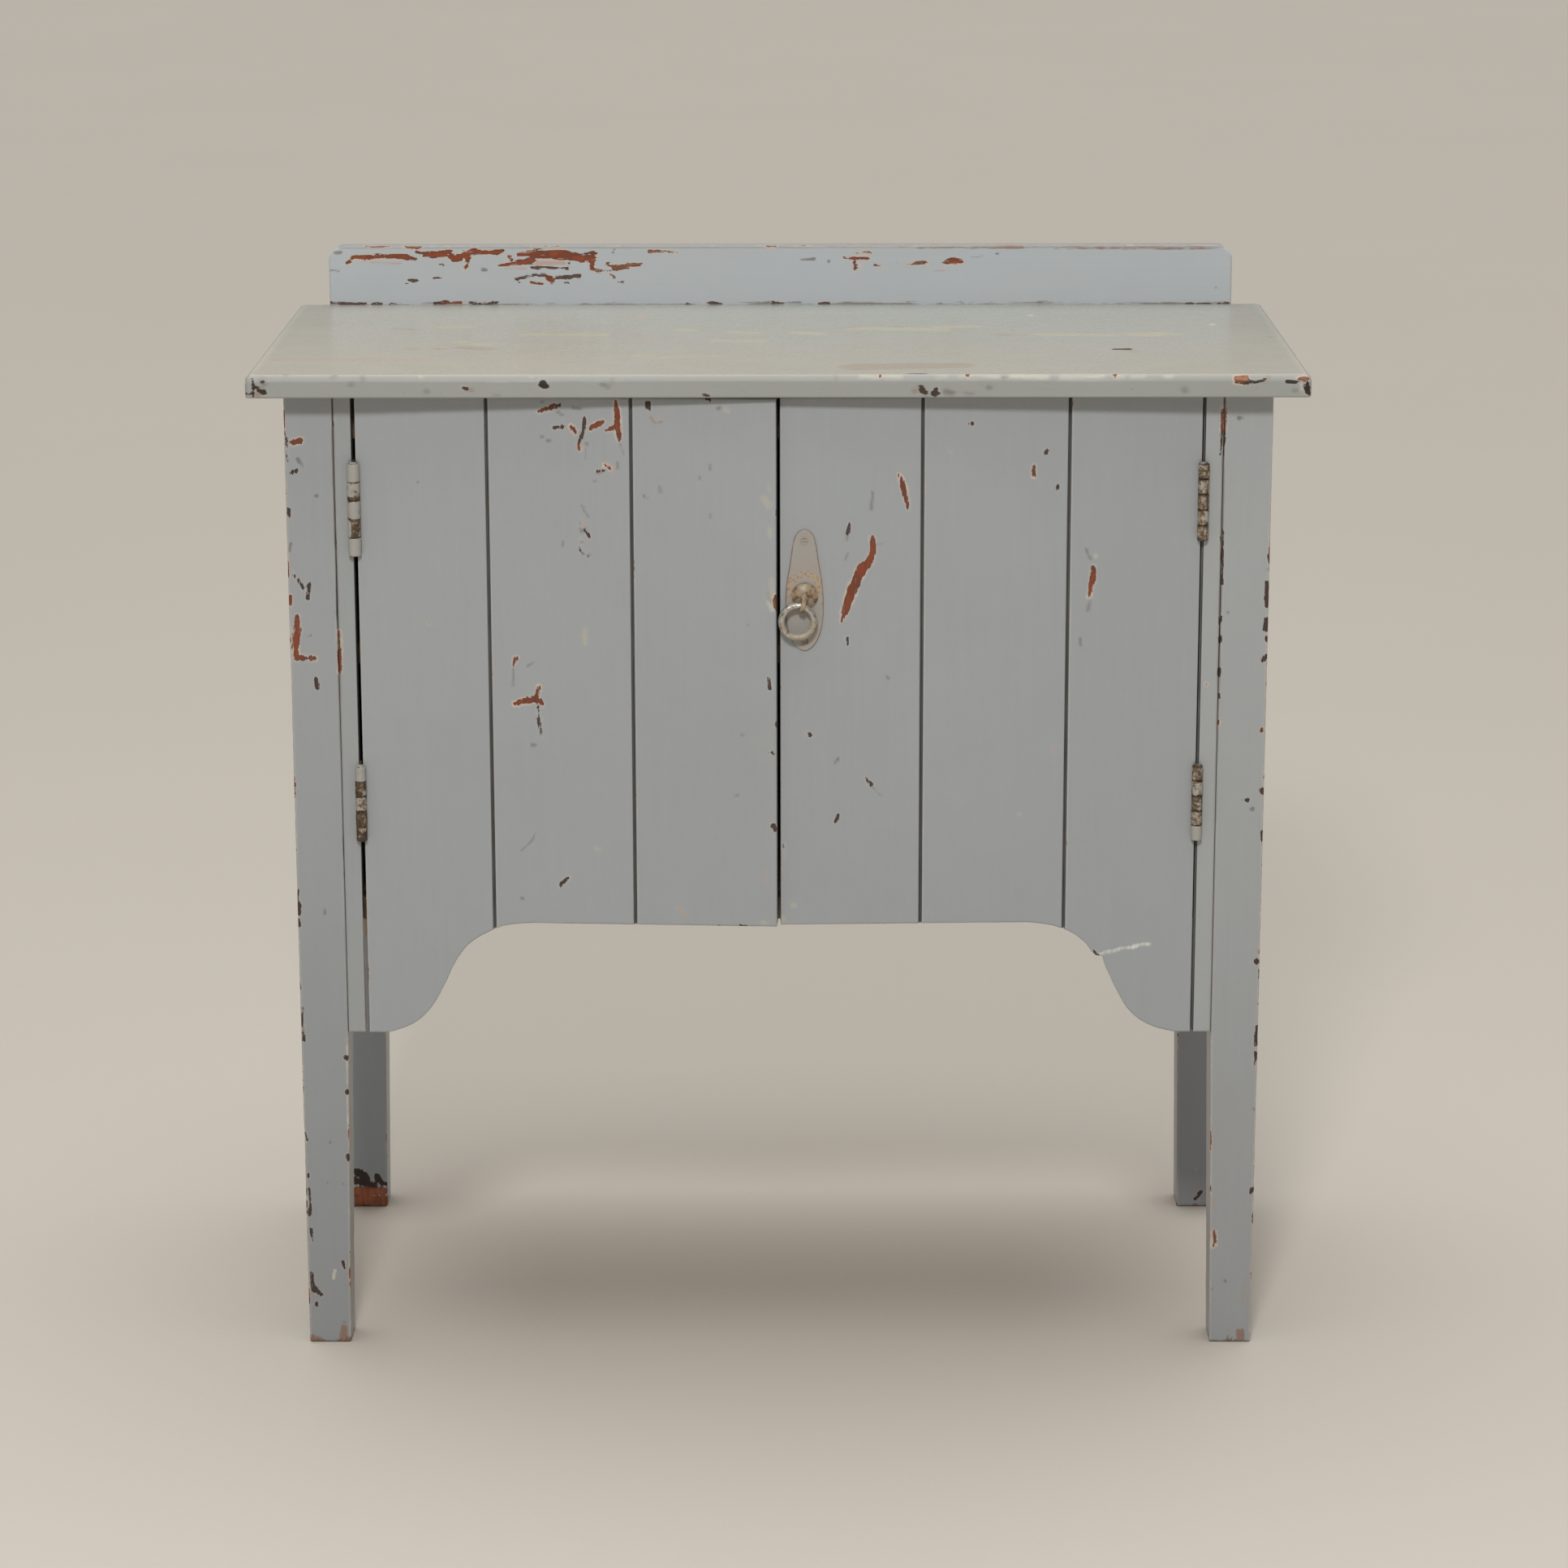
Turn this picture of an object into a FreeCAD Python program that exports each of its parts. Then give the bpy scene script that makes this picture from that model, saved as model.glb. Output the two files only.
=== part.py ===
import FreeCAD, Part
import math
import os

# Painted pine cupboard on four square legs: two board-and-ledge doors under a
# plain top with a low upstand behind it.  Millimetres, +Z up, front towards -Y,
# +X to the right seen from the front, origin at the middle of the footprint on
# the floor.

os.makedirs("parts", exist_ok=True)
V = FreeCAD.Vector

# ---------------------------------------------------------------- dimensions
TOP_W = 860.0          # top board, side to side
TOP_D = 410.0          # top board, front to back
TOP_T = 18.5
TOP_Z = 838.0          # height of the top's upper surface
TOP_NOSE = 5.5         # rounded upper arris of the top, front and sides
TOP_CORNER = 4.0
OVER_FRONT = 28.0      # top's overhang in front of the legs

UP_T = 18.0            # upstand board thickness
UP_H = 890.0           # overall height
UP_BASE = 786.0        # lower edge of the upstand, behind the rear top rail
UP_R = 14.0            # its rounded upper corners

DEPTH = TOP_D + UP_T
Y_FRONT = -DEPTH / 2   # front edge of the top
Y_BACK = Y_FRONT + TOP_D            # rear edge of the top, rear faces of the rear legs
YF = Y_FRONT + OVER_FRONT           # front faces of legs, stiles and doors

CARC_X = 402.5         # outer faces of the legs
LEG = 40.0
LEG_FOOT = 35.5        # leg size at the floor, tapered on the two inner faces
LEG_TAPER_Z = 277.0
LEG_ARRIS = 1.4
UNDER = TOP_Z - TOP_T  # underside of the top, upper ends of legs
LX = CARC_X - LEG      # inner faces of the legs
YFR = YF + LEG         # rear face of the front legs
YRF = Y_BACK - LEG     # front face of the rear legs

DOOR_T = 16.0
DOOR_X = 345.0         # hinge-side edge of each door
DOOR_TOP = 817.5
GAP_L = -1.4           # meeting edges
GAP_R = 1.4
STILE_X = 348.0        # inner edge of the hanging stiles
STILE_T = 17.0
LOBE_Z = 277.0         # lowest line of doors, stiles and side boards
FLAT_L = 374.4         # flat lower edges of the two doors
FLAT_R = 374.0
JOINTS_L = (-237.4, -119.4)
JOINTS_R = (117.6, 237.4)
VEE = 2.0              # chamfer of the V joints on the doors
AJAR_L = 3.2           # the doors stand a little open, degrees about their pins
AJAR_R = 2.0

RAIL_H = 40.0          # top rails
RAIL_TOP0 = UNDER - RAIL_H
FRONT_RAIL_T = 23.0
SIDE_RAIL_T = 24.0
BOARD_T = 12.0         # side and back matchboards
BOTTOM_Z = 374.0       # underside of the bottom board
BOTTOM_T = 16.0
BRAIL_Z0 = 314.0
SHELF_Z = 582.0
SHELF_T = 16.0

PIN_X = 346.5
PIN_Y = YF - 4.0
PIN_R = 1.95
LEAF_T = 1.6

HANDLE_X = 21.45       # axis of the handle's spindle, with the door closed
HANDLE_Z = 654.05
PLATE_T = 2.0
SPINDLE_R = 4.0
TILT = math.radians(17.0)
EYE_OFF = 7.5          # from the spindle's axis to the eye's centre
RING_R = 13.25
RING_r = 2.75
RING_Y = YF - 10.2

BOLT_X = -27.0
BOLT_Y = YF + DOOR_T + 7.5
BOLT_R = 3.5


# ------------------------------------------------------------------- helpers
def box(x0, x1, y0, y1, z0, z1):
    return Part.makeBox(abs(x1 - x0), abs(y1 - y0), abs(z1 - z0),
                        V(min(x0, x1), min(y0, y1), min(z0, z1)))


def cyl(p, d, r, h):
    return Part.makeCylinder(r, h, V(*p), V(*d))


def face_of(pts):
    w = Part.makePolygon([V(*p) for p in pts] + [V(*pts[0])])
    return Part.Face(w)


def prism(pts, vec):
    return face_of(pts).extrude(V(*vec))


def one(shape):
    s = shape.removeSplitter()
    if s.ShapeType == "Compound" and len(s.Solids) == 1:
        return s.Solids[0]
    return s


def round_rect(x0, x1, y0, y1, z, r):
    e = []
    def arc(cx, cy, a0):
        c = [V(cx + r * math.cos(math.radians(a0 + a)), cy + r * math.sin(math.radians(a0 + a)), z)
             for a in (0, 45, 90)]
        return Part.Arc(*c).toShape()
    def seg(a, b):
        return Part.LineSegment(V(*a, z), V(*b, z)).toShape()
    e.append(seg((x0 + r, y0), (x1 - r, y0)))
    e.append(arc(x1 - r, y0 + r, 270))
    e.append(seg((x1, y0 + r), (x1, y1 - r)))
    e.append(arc(x1 - r, y1 - r, 0))
    e.append(seg((x1 - r, y1), (x0 + r, y1)))
    e.append(arc(x0 + r, y1 - r, 90))
    e.append(seg((x0, y1 - r), (x0, y0 + r)))
    e.append(arc(x0 + r, y0 + r, 180))
    return Part.Wire(e)


def matchboards(edges, t, c, ta, tb, tl, end_c, place):
    """Cross-sections of boards side by side.  edges: joint positions along u.
    t: thickness, c: chamfer of the V joints on the face, tongue from ta to tb
    deep and tl long.  place(u, w) gives the point for depth w under the face."""
    out = []
    n = len(edges) - 1
    for i in range(n):
        u0, u1 = edges[i], edges[i + 1]
        cl = c if i > 0 else end_c
        cr = c if i < n - 1 else end_c
        p = [(u0 + cl, 0), (u1 - cr, 0), (u1, cr)]
        if i < n - 1:
            p += [(u1, ta), (u1 + tl, ta), (u1 + tl, tb), (u1, tb)]
        p += [(u1, t), (u0, t)]
        if i > 0:
            p += [(u0, tb), (u0 + tl, tb), (u0 + tl, ta), (u0, ta)]
        p += [(u0, cl)]
        out.append([place(u, w) for u, w in p])
    return out


def csk_screw(p, d, head_r, shank_r, length):
    """Countersunk wood screw, its flat head at p, running along the unit vector d."""
    dv = V(*d)
    hd = head_r - shank_r
    tip = shank_r * 1.6
    s = Part.makeCone(head_r, shank_r, hd, V(*p), dv)
    s = s.fuse(Part.makeCylinder(shank_r, length - hd - tip, V(*p) + dv * hd, dv))
    s = s.fuse(Part.makeCone(shank_r, 0.25, tip, V(*p) + dv * (length - tip), dv))
    return one(s)


def slotted(s, p, d, head_r):
    """Cut the driver slot across the head."""
    dv = V(*d)
    b = Part.makeBox(head_r * 2.4, 0.7, 0.6, V(-head_r * 1.2, -0.35, 0))
    b.Placement = FreeCAD.Placement(V(*p), FreeCAD.Rotation(V(0, 0, 1), dv))
    return one(s.cut(b))


P = {}

# -------------------------------------------------------------------- joints
T_LEN = 20.0


def tenon_x(side, y0, y1, z0, z1):
    """Tenon on a cross rail, into the leg on the given side (-1 left, +1 right)."""
    return box(side * LX, side * (LX + T_LEN), y0, y1, z0, z1)


def tenon_y(side, front, x0, x1, z0, z1):
    if front:
        return box(side * x0, side * x1, YFR - T_LEN, YFR, z0, z1)
    return box(side * x0, side * x1, YRF, YRF + T_LEN, z0, z1)


FR_Y0 = YF + STILE_T                  # front rails stand behind stiles and doors
FR_Y1 = FR_Y0 + FRONT_RAIL_T
RR_Y0 = Y_BACK - 24.0                 # rear rails
SR_X0 = LX                            # side rails
SR_X1 = LX + SIDE_RAIL_T

cuts = {(-1, "f"): [], (1, "f"): [], (-1, "r"): [], (1, "r"): []}


def cross_rail(y0, y1, z0, z1, ty0, ty1, tz0, tz1, where):
    r = box(-LX, LX, y0, y1, z0, z1)
    for s in (-1, 1):
        t = tenon_x(s, ty0, ty1, tz0, tz1)
        cuts[(s, where)].append(t)
        r = r.fuse(t)
    return one(r)


def side_rail(s, z0, z1, tx0, tx1, tz0, tz1):
    r = box(s * SR_X0, s * SR_X1, YFR, YRF, z0, z1)
    for front in (True, False):
        t = tenon_y(s, front, tx0, tx1, tz0, tz1)
        cuts[(s, "f" if front else "r")].append(t)
        r = r.fuse(t)
    return one(r)


P["front_top_rail"] = cross_rail(FR_Y0, FR_Y1, RAIL_TOP0, UNDER,
                                 FR_Y0 + 6, FR_Y0 + 16, UNDER - 20, UNDER - 4, "f")
P["front_bottom_rail"] = cross_rail(FR_Y0, FR_Y1, BOTTOM_Z - 3, BOTTOM_Z + BOTTOM_T,
                                    FR_Y0 + 6, FR_Y0 + 16, BOTTOM_Z + 1, BOTTOM_Z + 12, "f")
P["rear_top_rail"] = cross_rail(RR_Y0, Y_BACK, RAIL_TOP0, UNDER,
                                RR_Y0 + 7, RR_Y0 + 17, UNDER - 20, UNDER - 4, "r")
P["rear_bottom_rail"] = cross_rail(RR_Y0, Y_BACK, BRAIL_Z0, BOTTOM_Z,
                                   RR_Y0 + 7, RR_Y0 + 17, BRAIL_Z0 + 36, BOTTOM_Z - 6, "r")
for s, nm in ((-1, "left"), (1, "right")):
    P["side_top_rail_" + nm] = side_rail(s, RAIL_TOP0, UNDER, LX + 8, LX + 18,
                                         RAIL_TOP0 + 3, UNDER - 23)
    P["side_bottom_rail_" + nm] = side_rail(s, BRAIL_Z0, BOTTOM_Z, LX + 8, LX + 18,
                                            BRAIL_Z0 + 6, BRAIL_Z0 + 32)


# ---------------------------------------------------------------------- legs
def leg(sx, front):
    """Square leg; the two inner faces taper from LEG_TAPER_Z to the floor."""
    xo = sx * CARC_X
    yo = YF if front else Y_BACK
    iy = 1 if front else -1
    ws = []
    for z, w in ((0.0, LEG_FOOT), (LEG_TAPER_Z, LEG), (UNDER, LEG)):
        xi = xo - sx * w
        yi = yo + iy * w
        ws.append(round_rect(min(xo, xi), max(xo, xi), min(yo, yi), max(yo, yi), z, LEG_ARRIS))
    return Part.makeLoft(ws, True, True)


for sx, nx in ((-1, "left"), (1, "right")):
    for fr, nf in ((True, "front"), (False, "rear")):
        L = leg(sx, fr)
        for t in cuts[(sx, "f" if fr else "r")]:
            L = L.cut(t)
        P["leg_%s_%s" % (nf, nx)] = one(L)

# ----------------------------------------------------------------- top board
top = box(-TOP_W / 2, TOP_W / 2, Y_FRONT, Y_BACK, UNDER, TOP_Z)


def edges_at(shape, test):
    return [e for e in shape.Edges if test(e.BoundBox)]


top = top.makeFillet(TOP_CORNER, edges_at(top, lambda b: b.ZLength > 10 and b.YMax < Y_FRONT + 1))
top = top.makeFillet(TOP_NOSE, edges_at(
    top, lambda b: b.ZMin > TOP_Z - 0.01 and not (b.YMin > Y_BACK - 0.01)))
top = top.makeFillet(2.0, edges_at(
    top, lambda b: b.ZMax < UNDER + 0.01 and not (b.YMin > Y_BACK - 0.01)))
P["top_board"] = one(top)

# ------------------------------------------------------------------- upstand
up = box(-CARC_X, CARC_X, Y_BACK, Y_BACK + UP_T, UP_BASE, UP_H)
up = up.makeFillet(UP_R, edges_at(up, lambda b: b.YLength > 10 and b.ZMin > UP_H - 1))
up = up.makeFillet(1.5, edges_at(
    up, lambda b: (b.YLength < 0.01 and b.ZMax > UP_BASE + 60 and b.ZMin > UP_BASE + 60)))
P["backboard"] = one(up)

# --------------------------------------------------------------- back boards
n = 4
zb0, zb1 = LOBE_Z, UP_BASE
edges = [zb0 + (zb1 - zb0) * i / n for i in range(n + 1)]
for i, pts in enumerate(matchboards(edges, BOARD_T, 1.8, 4.0, 8.0, 5.0, 0.8,
                                    lambda u, w: (-CARC_X, Y_BACK + BOARD_T - w, u))):
    P["back_board_%d" % (i + 1)] = prism(pts, (2 * CARC_X, 0, 0))

# --------------------------------------------------------------- side boards
edges = [YFR + (YRF - YFR) * i / 3 for i in range(4)]
for s, nm in ((-1, "left"), (1, "right")):
    secs = matchboards(edges, BOARD_T, 1.8, 4.0, 8.0, 5.0, 0.8,
                       lambda u, w: (s * (SR_X1 + BOARD_T - w), u, LOBE_Z))
    for pts, nn in zip(secs, ("front", "middle", "rear")):
        P["side_board_%s_%s" % (nm, nn)] = prism(pts, (0, 0, UNDER - LOBE_Z))


# ---------------------------------------------------- bottom, shelf and cleats
def notched(y0, z0, t, y1):
    pts = [(-SR_X1, y0, z0), (SR_X1, y0, z0), (SR_X1, YRF, z0), (LX, YRF, z0),
           (LX, y1, z0), (-LX, y1, z0), (-LX, YRF, z0), (-SR_X1, YRF, z0)]
    return prism(pts, (0, 0, t))


P["bottom_board"] = notched(FR_Y1, BOTTOM_Z, BOTTOM_T, Y_BACK)
P["middle_shelf"] = notched(-130.0, SHELF_Z, SHELF_T, Y_BACK - 4)
for s, nm in ((-1, "left"), (1, "right")):
    P["shelf_cleat_" + nm] = box(s * (SR_X1 - 18), s * SR_X1, -130.0, YRF, SHELF_Z - 22, SHELF_Z)

# ------------------------------------------------------------ hanging stiles
for s, nm in ((-1, "left"), (1, "right")):
    P["hinge_stile_" + nm] = box(s * STILE_X, s * LX, YF, YF + STILE_T, LOBE_Z, UNDER)


# --------------------------------------------------------------------- doors
def arch(side):
    """Space under one door: lobe, ogee and flat, as a prism through the door."""
    y0 = YF - 5
    if side < 0:
        knots = [(-332.0, 277.0), (-317.0, 280.8), (-304.0, 287.6), (-291.4, 300.7),
                 (-280.8, 319.4), (-270.6, 340.6), (-259.5, 355.2), (-246.0, 364.4),
                 (-228.0, 371.9), (-206.0, FLAT_L)]
        c = Part.BSplineCurve()
        c.interpolate(Points=[V(x, y0, z) for x, z in knots],
                      InitialTangent=V(1, 0, 0.02), FinalTangent=V(1, 0, 0.02))
        e = [c.toShape()]
        a, b = knots[0], knots[-1]
        pts = [(b[0], b[1]), (GAP_L + 3, FLAT_L), (GAP_L + 3, 150), (-360, 150), (-360, 277.0),
               (a[0], a[1])]
    else:
        up_k = [(204.0, FLAT_R), (226.0, 371.4), (242.8, 365.6), (255.0, 356.6), (266.1, 344.6)]
        lo_k = [(271.5, 343.2), (275.9, 329.1), (283.3, 313.3), (293.0, 297.2), (305.5, 286.4),
                (320.5, 279.9), (336.0, 277.0)]
        c1 = Part.BSplineCurve()
        c1.interpolate(Points=[V(x, y0, z) for x, z in up_k], InitialTangent=V(1, 0, -0.02),
                       FinalTangent=V(0.66, 0, -0.75))
        c2 = Part.BSplineCurve()
        c2.interpolate(Points=[V(x, y0, z) for x, z in lo_k], InitialTangent=V(0.1, 0, -1),
                       FinalTangent=V(1, 0, -0.02))
        e = [c1.toShape(), Part.LineSegment(V(up_k[-1][0], y0, up_k[-1][1]),
                                            V(lo_k[0][0], y0, lo_k[0][1])).toShape(), c2.toShape()]
        pts = [(336.0, 277.0), (360, 277.0), (360, 150), (GAP_R - 3, 150), (GAP_R - 3, FLAT_R),
               (up_k[0][0], FLAT_R)]
    for p, q in zip(pts[:-1], pts[1:]):
        e.append(Part.LineSegment(V(p[0], y0, p[1]), V(q[0], y0, q[1])).toShape())
    w = Part.Wire(Part.__sortEdges__(e))
    return Part.Face(w).extrude(V(0, DOOR_T + 10, 0))


doors = {}
for side, nm, js in ((-1, "left", JOINTS_L), (1, "right", JOINTS_R)):
    if side < 0:
        edges = [-DOOR_X, js[0], js[1], GAP_L]
        names = ("outer", "middle", "inner")
    else:
        edges = [GAP_R, js[0], js[1], DOOR_X]
        names = ("inner", "middle", "outer")
    under = arch(side)
    secs = matchboards(edges, DOOR_T, VEE, 6.0, 10.0, 5.0, 0.8,
                       lambda u, w: (u, YF + w, LOBE_Z))
    for pts, nn in zip(secs, names):
        b = prism(pts, (0, 0, DOOR_TOP - LOBE_Z)).cut(under)
        doors["%s_door_%s_board" % (nm, nn)] = one(b)
    for z0, z1, nn in ((700.0, 765.0, "upper"), (440.0, 505.0, "lower")):
        pts = [(side * 45.0, YF + DOOR_T, z0), (side * 335.0, YF + DOOR_T, z0),
               (side * 335.0, YF + DOOR_T, z1), (side * 45.0, YF + DOOR_T, z1)]
        ld = prism(pts, (0, 16.0, 0))
        ld = ld.makeChamfer(2.5, [e for e in ld.Edges if e.BoundBox.YMin > YF + DOOR_T + 15.9])
        P["%s_door_%s_ledge" % (nm, nn)] = one(ld)

# -------------------------------------------------------------------- hinges
HINGES = {                       # side, z0, height, knuckle radius, front edge of the leaves
    "upper_left": (-1, 686.0, 76.2, 5.2, YF + 2.1),
    "lower_left": (-1, 444.8, 63.5, 4.5, YF + 1.4),
    "upper_right": (1, 698.3, 63.5, 4.5, YF + 1.4),
    "lower_right": (1, 445.2, 63.5, 4.5, YF + 1.4),
}
LEAF_BACK = YF + 15.5
KN_GAP = 0.4
pins = {-1: [], 1: []}
frame_screws = []
door_screws = {-1: [], 1: []}
for nm, (s, z0, h, kr, yfront) in HINGES.items():
    seg = (h - 4 * KN_GAP) / 5
    frame_x = (s * (PIN_X + 0.4), s * (PIN_X + 0.4 + LEAF_T))
    door_x = (s * (PIN_X - 0.4), s * (PIN_X - 0.4 - LEAF_T))
    pin = cyl((s * PIN_X, PIN_Y, z0), (0, 0, 1), PIN_R, h)
    pin = one(pin.fuse(cyl((s * PIN_X, PIN_Y, z0 + h), (0, 0, 1), 3.1, 1.3)))
    leaves = {}
    for which, (xa, xb), own in (("frame", frame_x, (0, 2, 4)), ("door", door_x, (1, 3))):
        lf = box(xa, xb, yfront, LEAF_BACK, z0, z0 + h)
        for k in own:
            za = z0 + k * (seg + KN_GAP)
            lf = lf.fuse(box(xa, xb, PIN_Y, yfront + 0.5, za, za + seg))
            lf = lf.fuse(cyl((s * PIN_X, PIN_Y, za), (0, 0, 1), kr, seg))
        bore = cyl((s * PIN_X, PIN_Y, z0 - 1), (0, 0, 1), PIN_R if which == "frame" else PIN_R + 0.06,
                   h + 2)
        lf = one(lf.cut(bore))
        leaves[which] = lf
    clear = cyl((s * PIN_X, PIN_Y, z0 - 0.6), (0, 0, 1), kr + 0.5, h + 2.6)
    st = "hinge_stile_" + ("left" if s < 0 else "right")
    db = ("left" if s < 0 else "right") + "_door_outer_board"
    P[st] = P[st].cut(clear).cut(leaves["frame"])
    doors[db] = doors[db].cut(clear).cut(leaves["door"])
    for f in (0.13, 0.5, 0.87):
        z = z0 + h * f
        y = (yfront + LEAF_BACK) / 2
        pf = (frame_x[0], y, z)
        sc = csk_screw(pf, (s, 0, 0), 3.0, 1.6, 12.5)
        leaves["frame"] = leaves["frame"].cut(sc)
        P[st] = P[st].cut(sc)
        frame_screws.append(slotted(sc, pf, (s, 0, 0), 3.0))
        pd = (door_x[0], y, z)
        sc = csk_screw(pd, (-s, 0, 0), 3.0, 1.6, 20.0)
        leaves["door"] = leaves["door"].cut(sc)
        doors[db] = doors[db].cut(sc)
        door_screws[s].append(slotted(sc, pd, (-s, 0, 0), 3.0))
    P[nm + "_hinge_frame_leaf"] = one(leaves["frame"])
    P[nm + "_hinge_door_leaf"] = one(leaves["door"])
    pins[s].append(pin)
for s, nm in ((-1, "left"), (1, "right")):
    P["hinge_stile_" + nm] = one(P["hinge_stile_" + nm])
    P[nm + "_hinge_pins"] = Part.makeCompound(pins[s])
    P[nm + "_door_hinge_screws"] = Part.makeCompound(door_screws[s])
P["frame_hinge_screws"] = Part.makeCompound(frame_screws)

# ------------------------------------------------------- ring handle and latch
# back plate: long, narrow at the top, wide round the spindle
half = [(608.1, 0.0), (609.9, 5.2), (614.1, 9.2), (620.8, 12.6), (629.3, 14.7), (639.3, 15.6),
        (650.3, 15.6), (659.3, 15.2), (668.3, 14.1), (677.8, 12.5), (687.3, 11.0), (695.3, 9.9),
        (701.3, 8.6), (705.9, 6.0), (708.5, 2.8), (709.2, 0.0)]
PX = 21.25
loop = [V(PX + w, YF, z) for z, w in half[1:-1]]
other = [V(PX - w, YF, z) for z, w in reversed(half[1:-1])]
bs = Part.BSplineCurve()
bs.interpolate(Points=[V(PX, YF, half[0][0])] + loop + [V(PX, YF, half[-1][0])] + other,
               PeriodicFlag=True)
plate = Part.Face(Part.Wire([bs.toShape()])).extrude(V(0, -PLATE_T, 0))
spin_hole = cyl((HANDLE_X, YF + DOOR_T + 1, HANDLE_Z), (0, -1, 0), SPINDLE_R + 0.06, DOOR_T + 6)
plate = plate.cut(spin_hole)
ib = "right_door_inner_board"
doors[ib] = doors[ib].cut(spin_hole)
plate_screws = []
for zz in (698.8, 615.7):
    p = (PX, YF - PLATE_T, zz)
    sc = csk_screw(p, (0, 1, 0), 3.0, 1.5, 14.0)
    plate = plate.cut(sc)
    doors[ib] = doors[ib].cut(sc)
    plate_screws.append(slotted(sc, p, (0, 1, 0), 3.0))
P["handle_plate"] = one(plate)
P["handle_plate_screws"] = Part.makeCompound(plate_screws)

# spindle with a domed boss, an eye below it and a squared inner end
dvec = V(-math.sin(TILT), 0, -math.cos(TILT))      # from the spindle to the eye
evec = V(math.cos(TILT), 0, -math.sin(TILT))       # the eye's axis
C0 = V(HANDLE_X, 0, HANDLE_Z)


def loc(s, t, e=0.0):
    """Point s along dvec from the spindle, t out from the door's face, e along the eye's axis."""
    q = C0 + dvec * s + evec * e
    return V(q.x, YF - t, q.z)


BOSS_T0 = PLATE_T + 0.35
cap_h, cap_r = 3.6, 11.0
R = (cap_r ** 2 + cap_h ** 2) / (2 * cap_h)
dome = Part.makeSphere(R, V(HANDLE_X, YF - (BOSS_T0 + 0.8 + cap_h - R), HANDLE_Z))
dome = dome.common(Part.makeCylinder(cap_r, 20, V(HANDLE_X, YF - BOSS_T0 - 0.8, HANDLE_Z), V(0, -1, 0)))
boss = dome.fuse(Part.makeCylinder(cap_r, 0.8, V(HANDLE_X, YF - BOSS_T0, HANDLE_Z), V(0, -1, 0)))
tP = YF - RING_Y
neck = face_of([tuple(loc(s, t, -2.0)) for s, t in
                ((-4.5, 3.6), (-4.0, 6.4), (-1.0, 9.4), (4.6, tP + 4.2), (7.5, tP + 3), (9.5, tP - 4.4), (5.0, 3.6))])
neck = neck.extrude(evec * 4.0)
eye = Part.makeCylinder(5.2, 4.0, loc(EYE_OFF, tP, -2.0), evec)
boss = boss.fuse(neck).fuse(eye)
boss = boss.cut(Part.makeCylinder(RING_r + 0.55, 12.0, loc(EYE_OFF, tP, -6.0), evec))
BAR_Y0 = YF + DOOR_T + 0.5
BAR_T = 4.0
shaft = cyl((HANDLE_X, YF - BOSS_T0 - 0.2, HANDLE_Z), (0, 1, 0), SPINDLE_R, BOSS_T0 + 0.2 + DOOR_T + 0.4)
sq = 2.8
tail = box(HANDLE_X - sq, HANDLE_X + sq, YF + DOOR_T - 2, BAR_Y0 + BAR_T + 1, HANDLE_Z - sq, HANDLE_Z + sq)
shaft = shaft.fuse(tail)
shaft = shaft.fuse(cyl((HANDLE_X, BAR_Y0 + BAR_T, HANDLE_Z), (0, 1, 0), 5.0, 1.5))
P["handle_spindle"] = one(boss.fuse(shaft))

# latch bar: stands upright when released, turns 90 degrees behind the left door
bar = box(HANDLE_X - 5.5, HANDLE_X + 5.5, BAR_Y0, BAR_Y0 + BAR_T, HANDLE_Z, HANDLE_Z + 31.0)
bar = bar.fuse(cyl((HANDLE_X, BAR_Y0, HANDLE_Z), (0, 1, 0), 8.0, BAR_T))
bar = bar.fuse(cyl((HANDLE_X, BAR_Y0, HANDLE_Z + 31.0), (0, 1, 0), 5.5, BAR_T))
bar = bar.cut(box(HANDLE_X - sq, HANDLE_X + sq, BAR_Y0 - 1, BAR_Y0 + BAR_T + 1,
                  HANDLE_Z - sq, HANDLE_Z + sq))
P["latch_bar"] = one(bar)

# ring through the eye, hanging a little clear of the plate
rc = loc(EYE_OFF + RING_R, tP)
P["pull_ring"] = Part.makeTorus(RING_R, RING_r, rc, V(0, 1, 0))

# ---------------------------------------------------------------- door bolt
bp = box(BOLT_X - 9, BOLT_X + 9, YF + DOOR_T, YF + DOOR_T + 2, 702.0, 772.0)
for z in (706.0, 756.0):
    bp = bp.fuse(box(BOLT_X - 6.5, BOLT_X + 6.5, YF + DOOR_T + 1, BOLT_Y + 6.0, z, z + 10.0))
bp = bp.cut(cyl((BOLT_X, BOLT_Y, 700.0), (0, 0, 1), BOLT_R + 0.06, 80))
P["bolt_plate"] = one(bp)
rod = cyl((BOLT_X, BOLT_Y, 703.5), (0, 0, 1), BOLT_R, 74.0)
rod = rod.fuse(cyl((BOLT_X, BOLT_Y, 728.0), (0, 1, 0), 2.3, 13.0))
rod = rod.fuse(Part.makeSphere(3.8, V(BOLT_X, BOLT_Y + 14.0, 728.0)))
P["bolt_rod"] = one(rod)
P["front_top_rail"] = one(P["front_top_rail"].cut(
    cyl((BOLT_X, BOLT_Y, RAIL_TOP0 - 1), (0, 0, 1), BOLT_R + 0.1, 17.0)))

P.update({k: one(v) for k, v in doors.items()})

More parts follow.
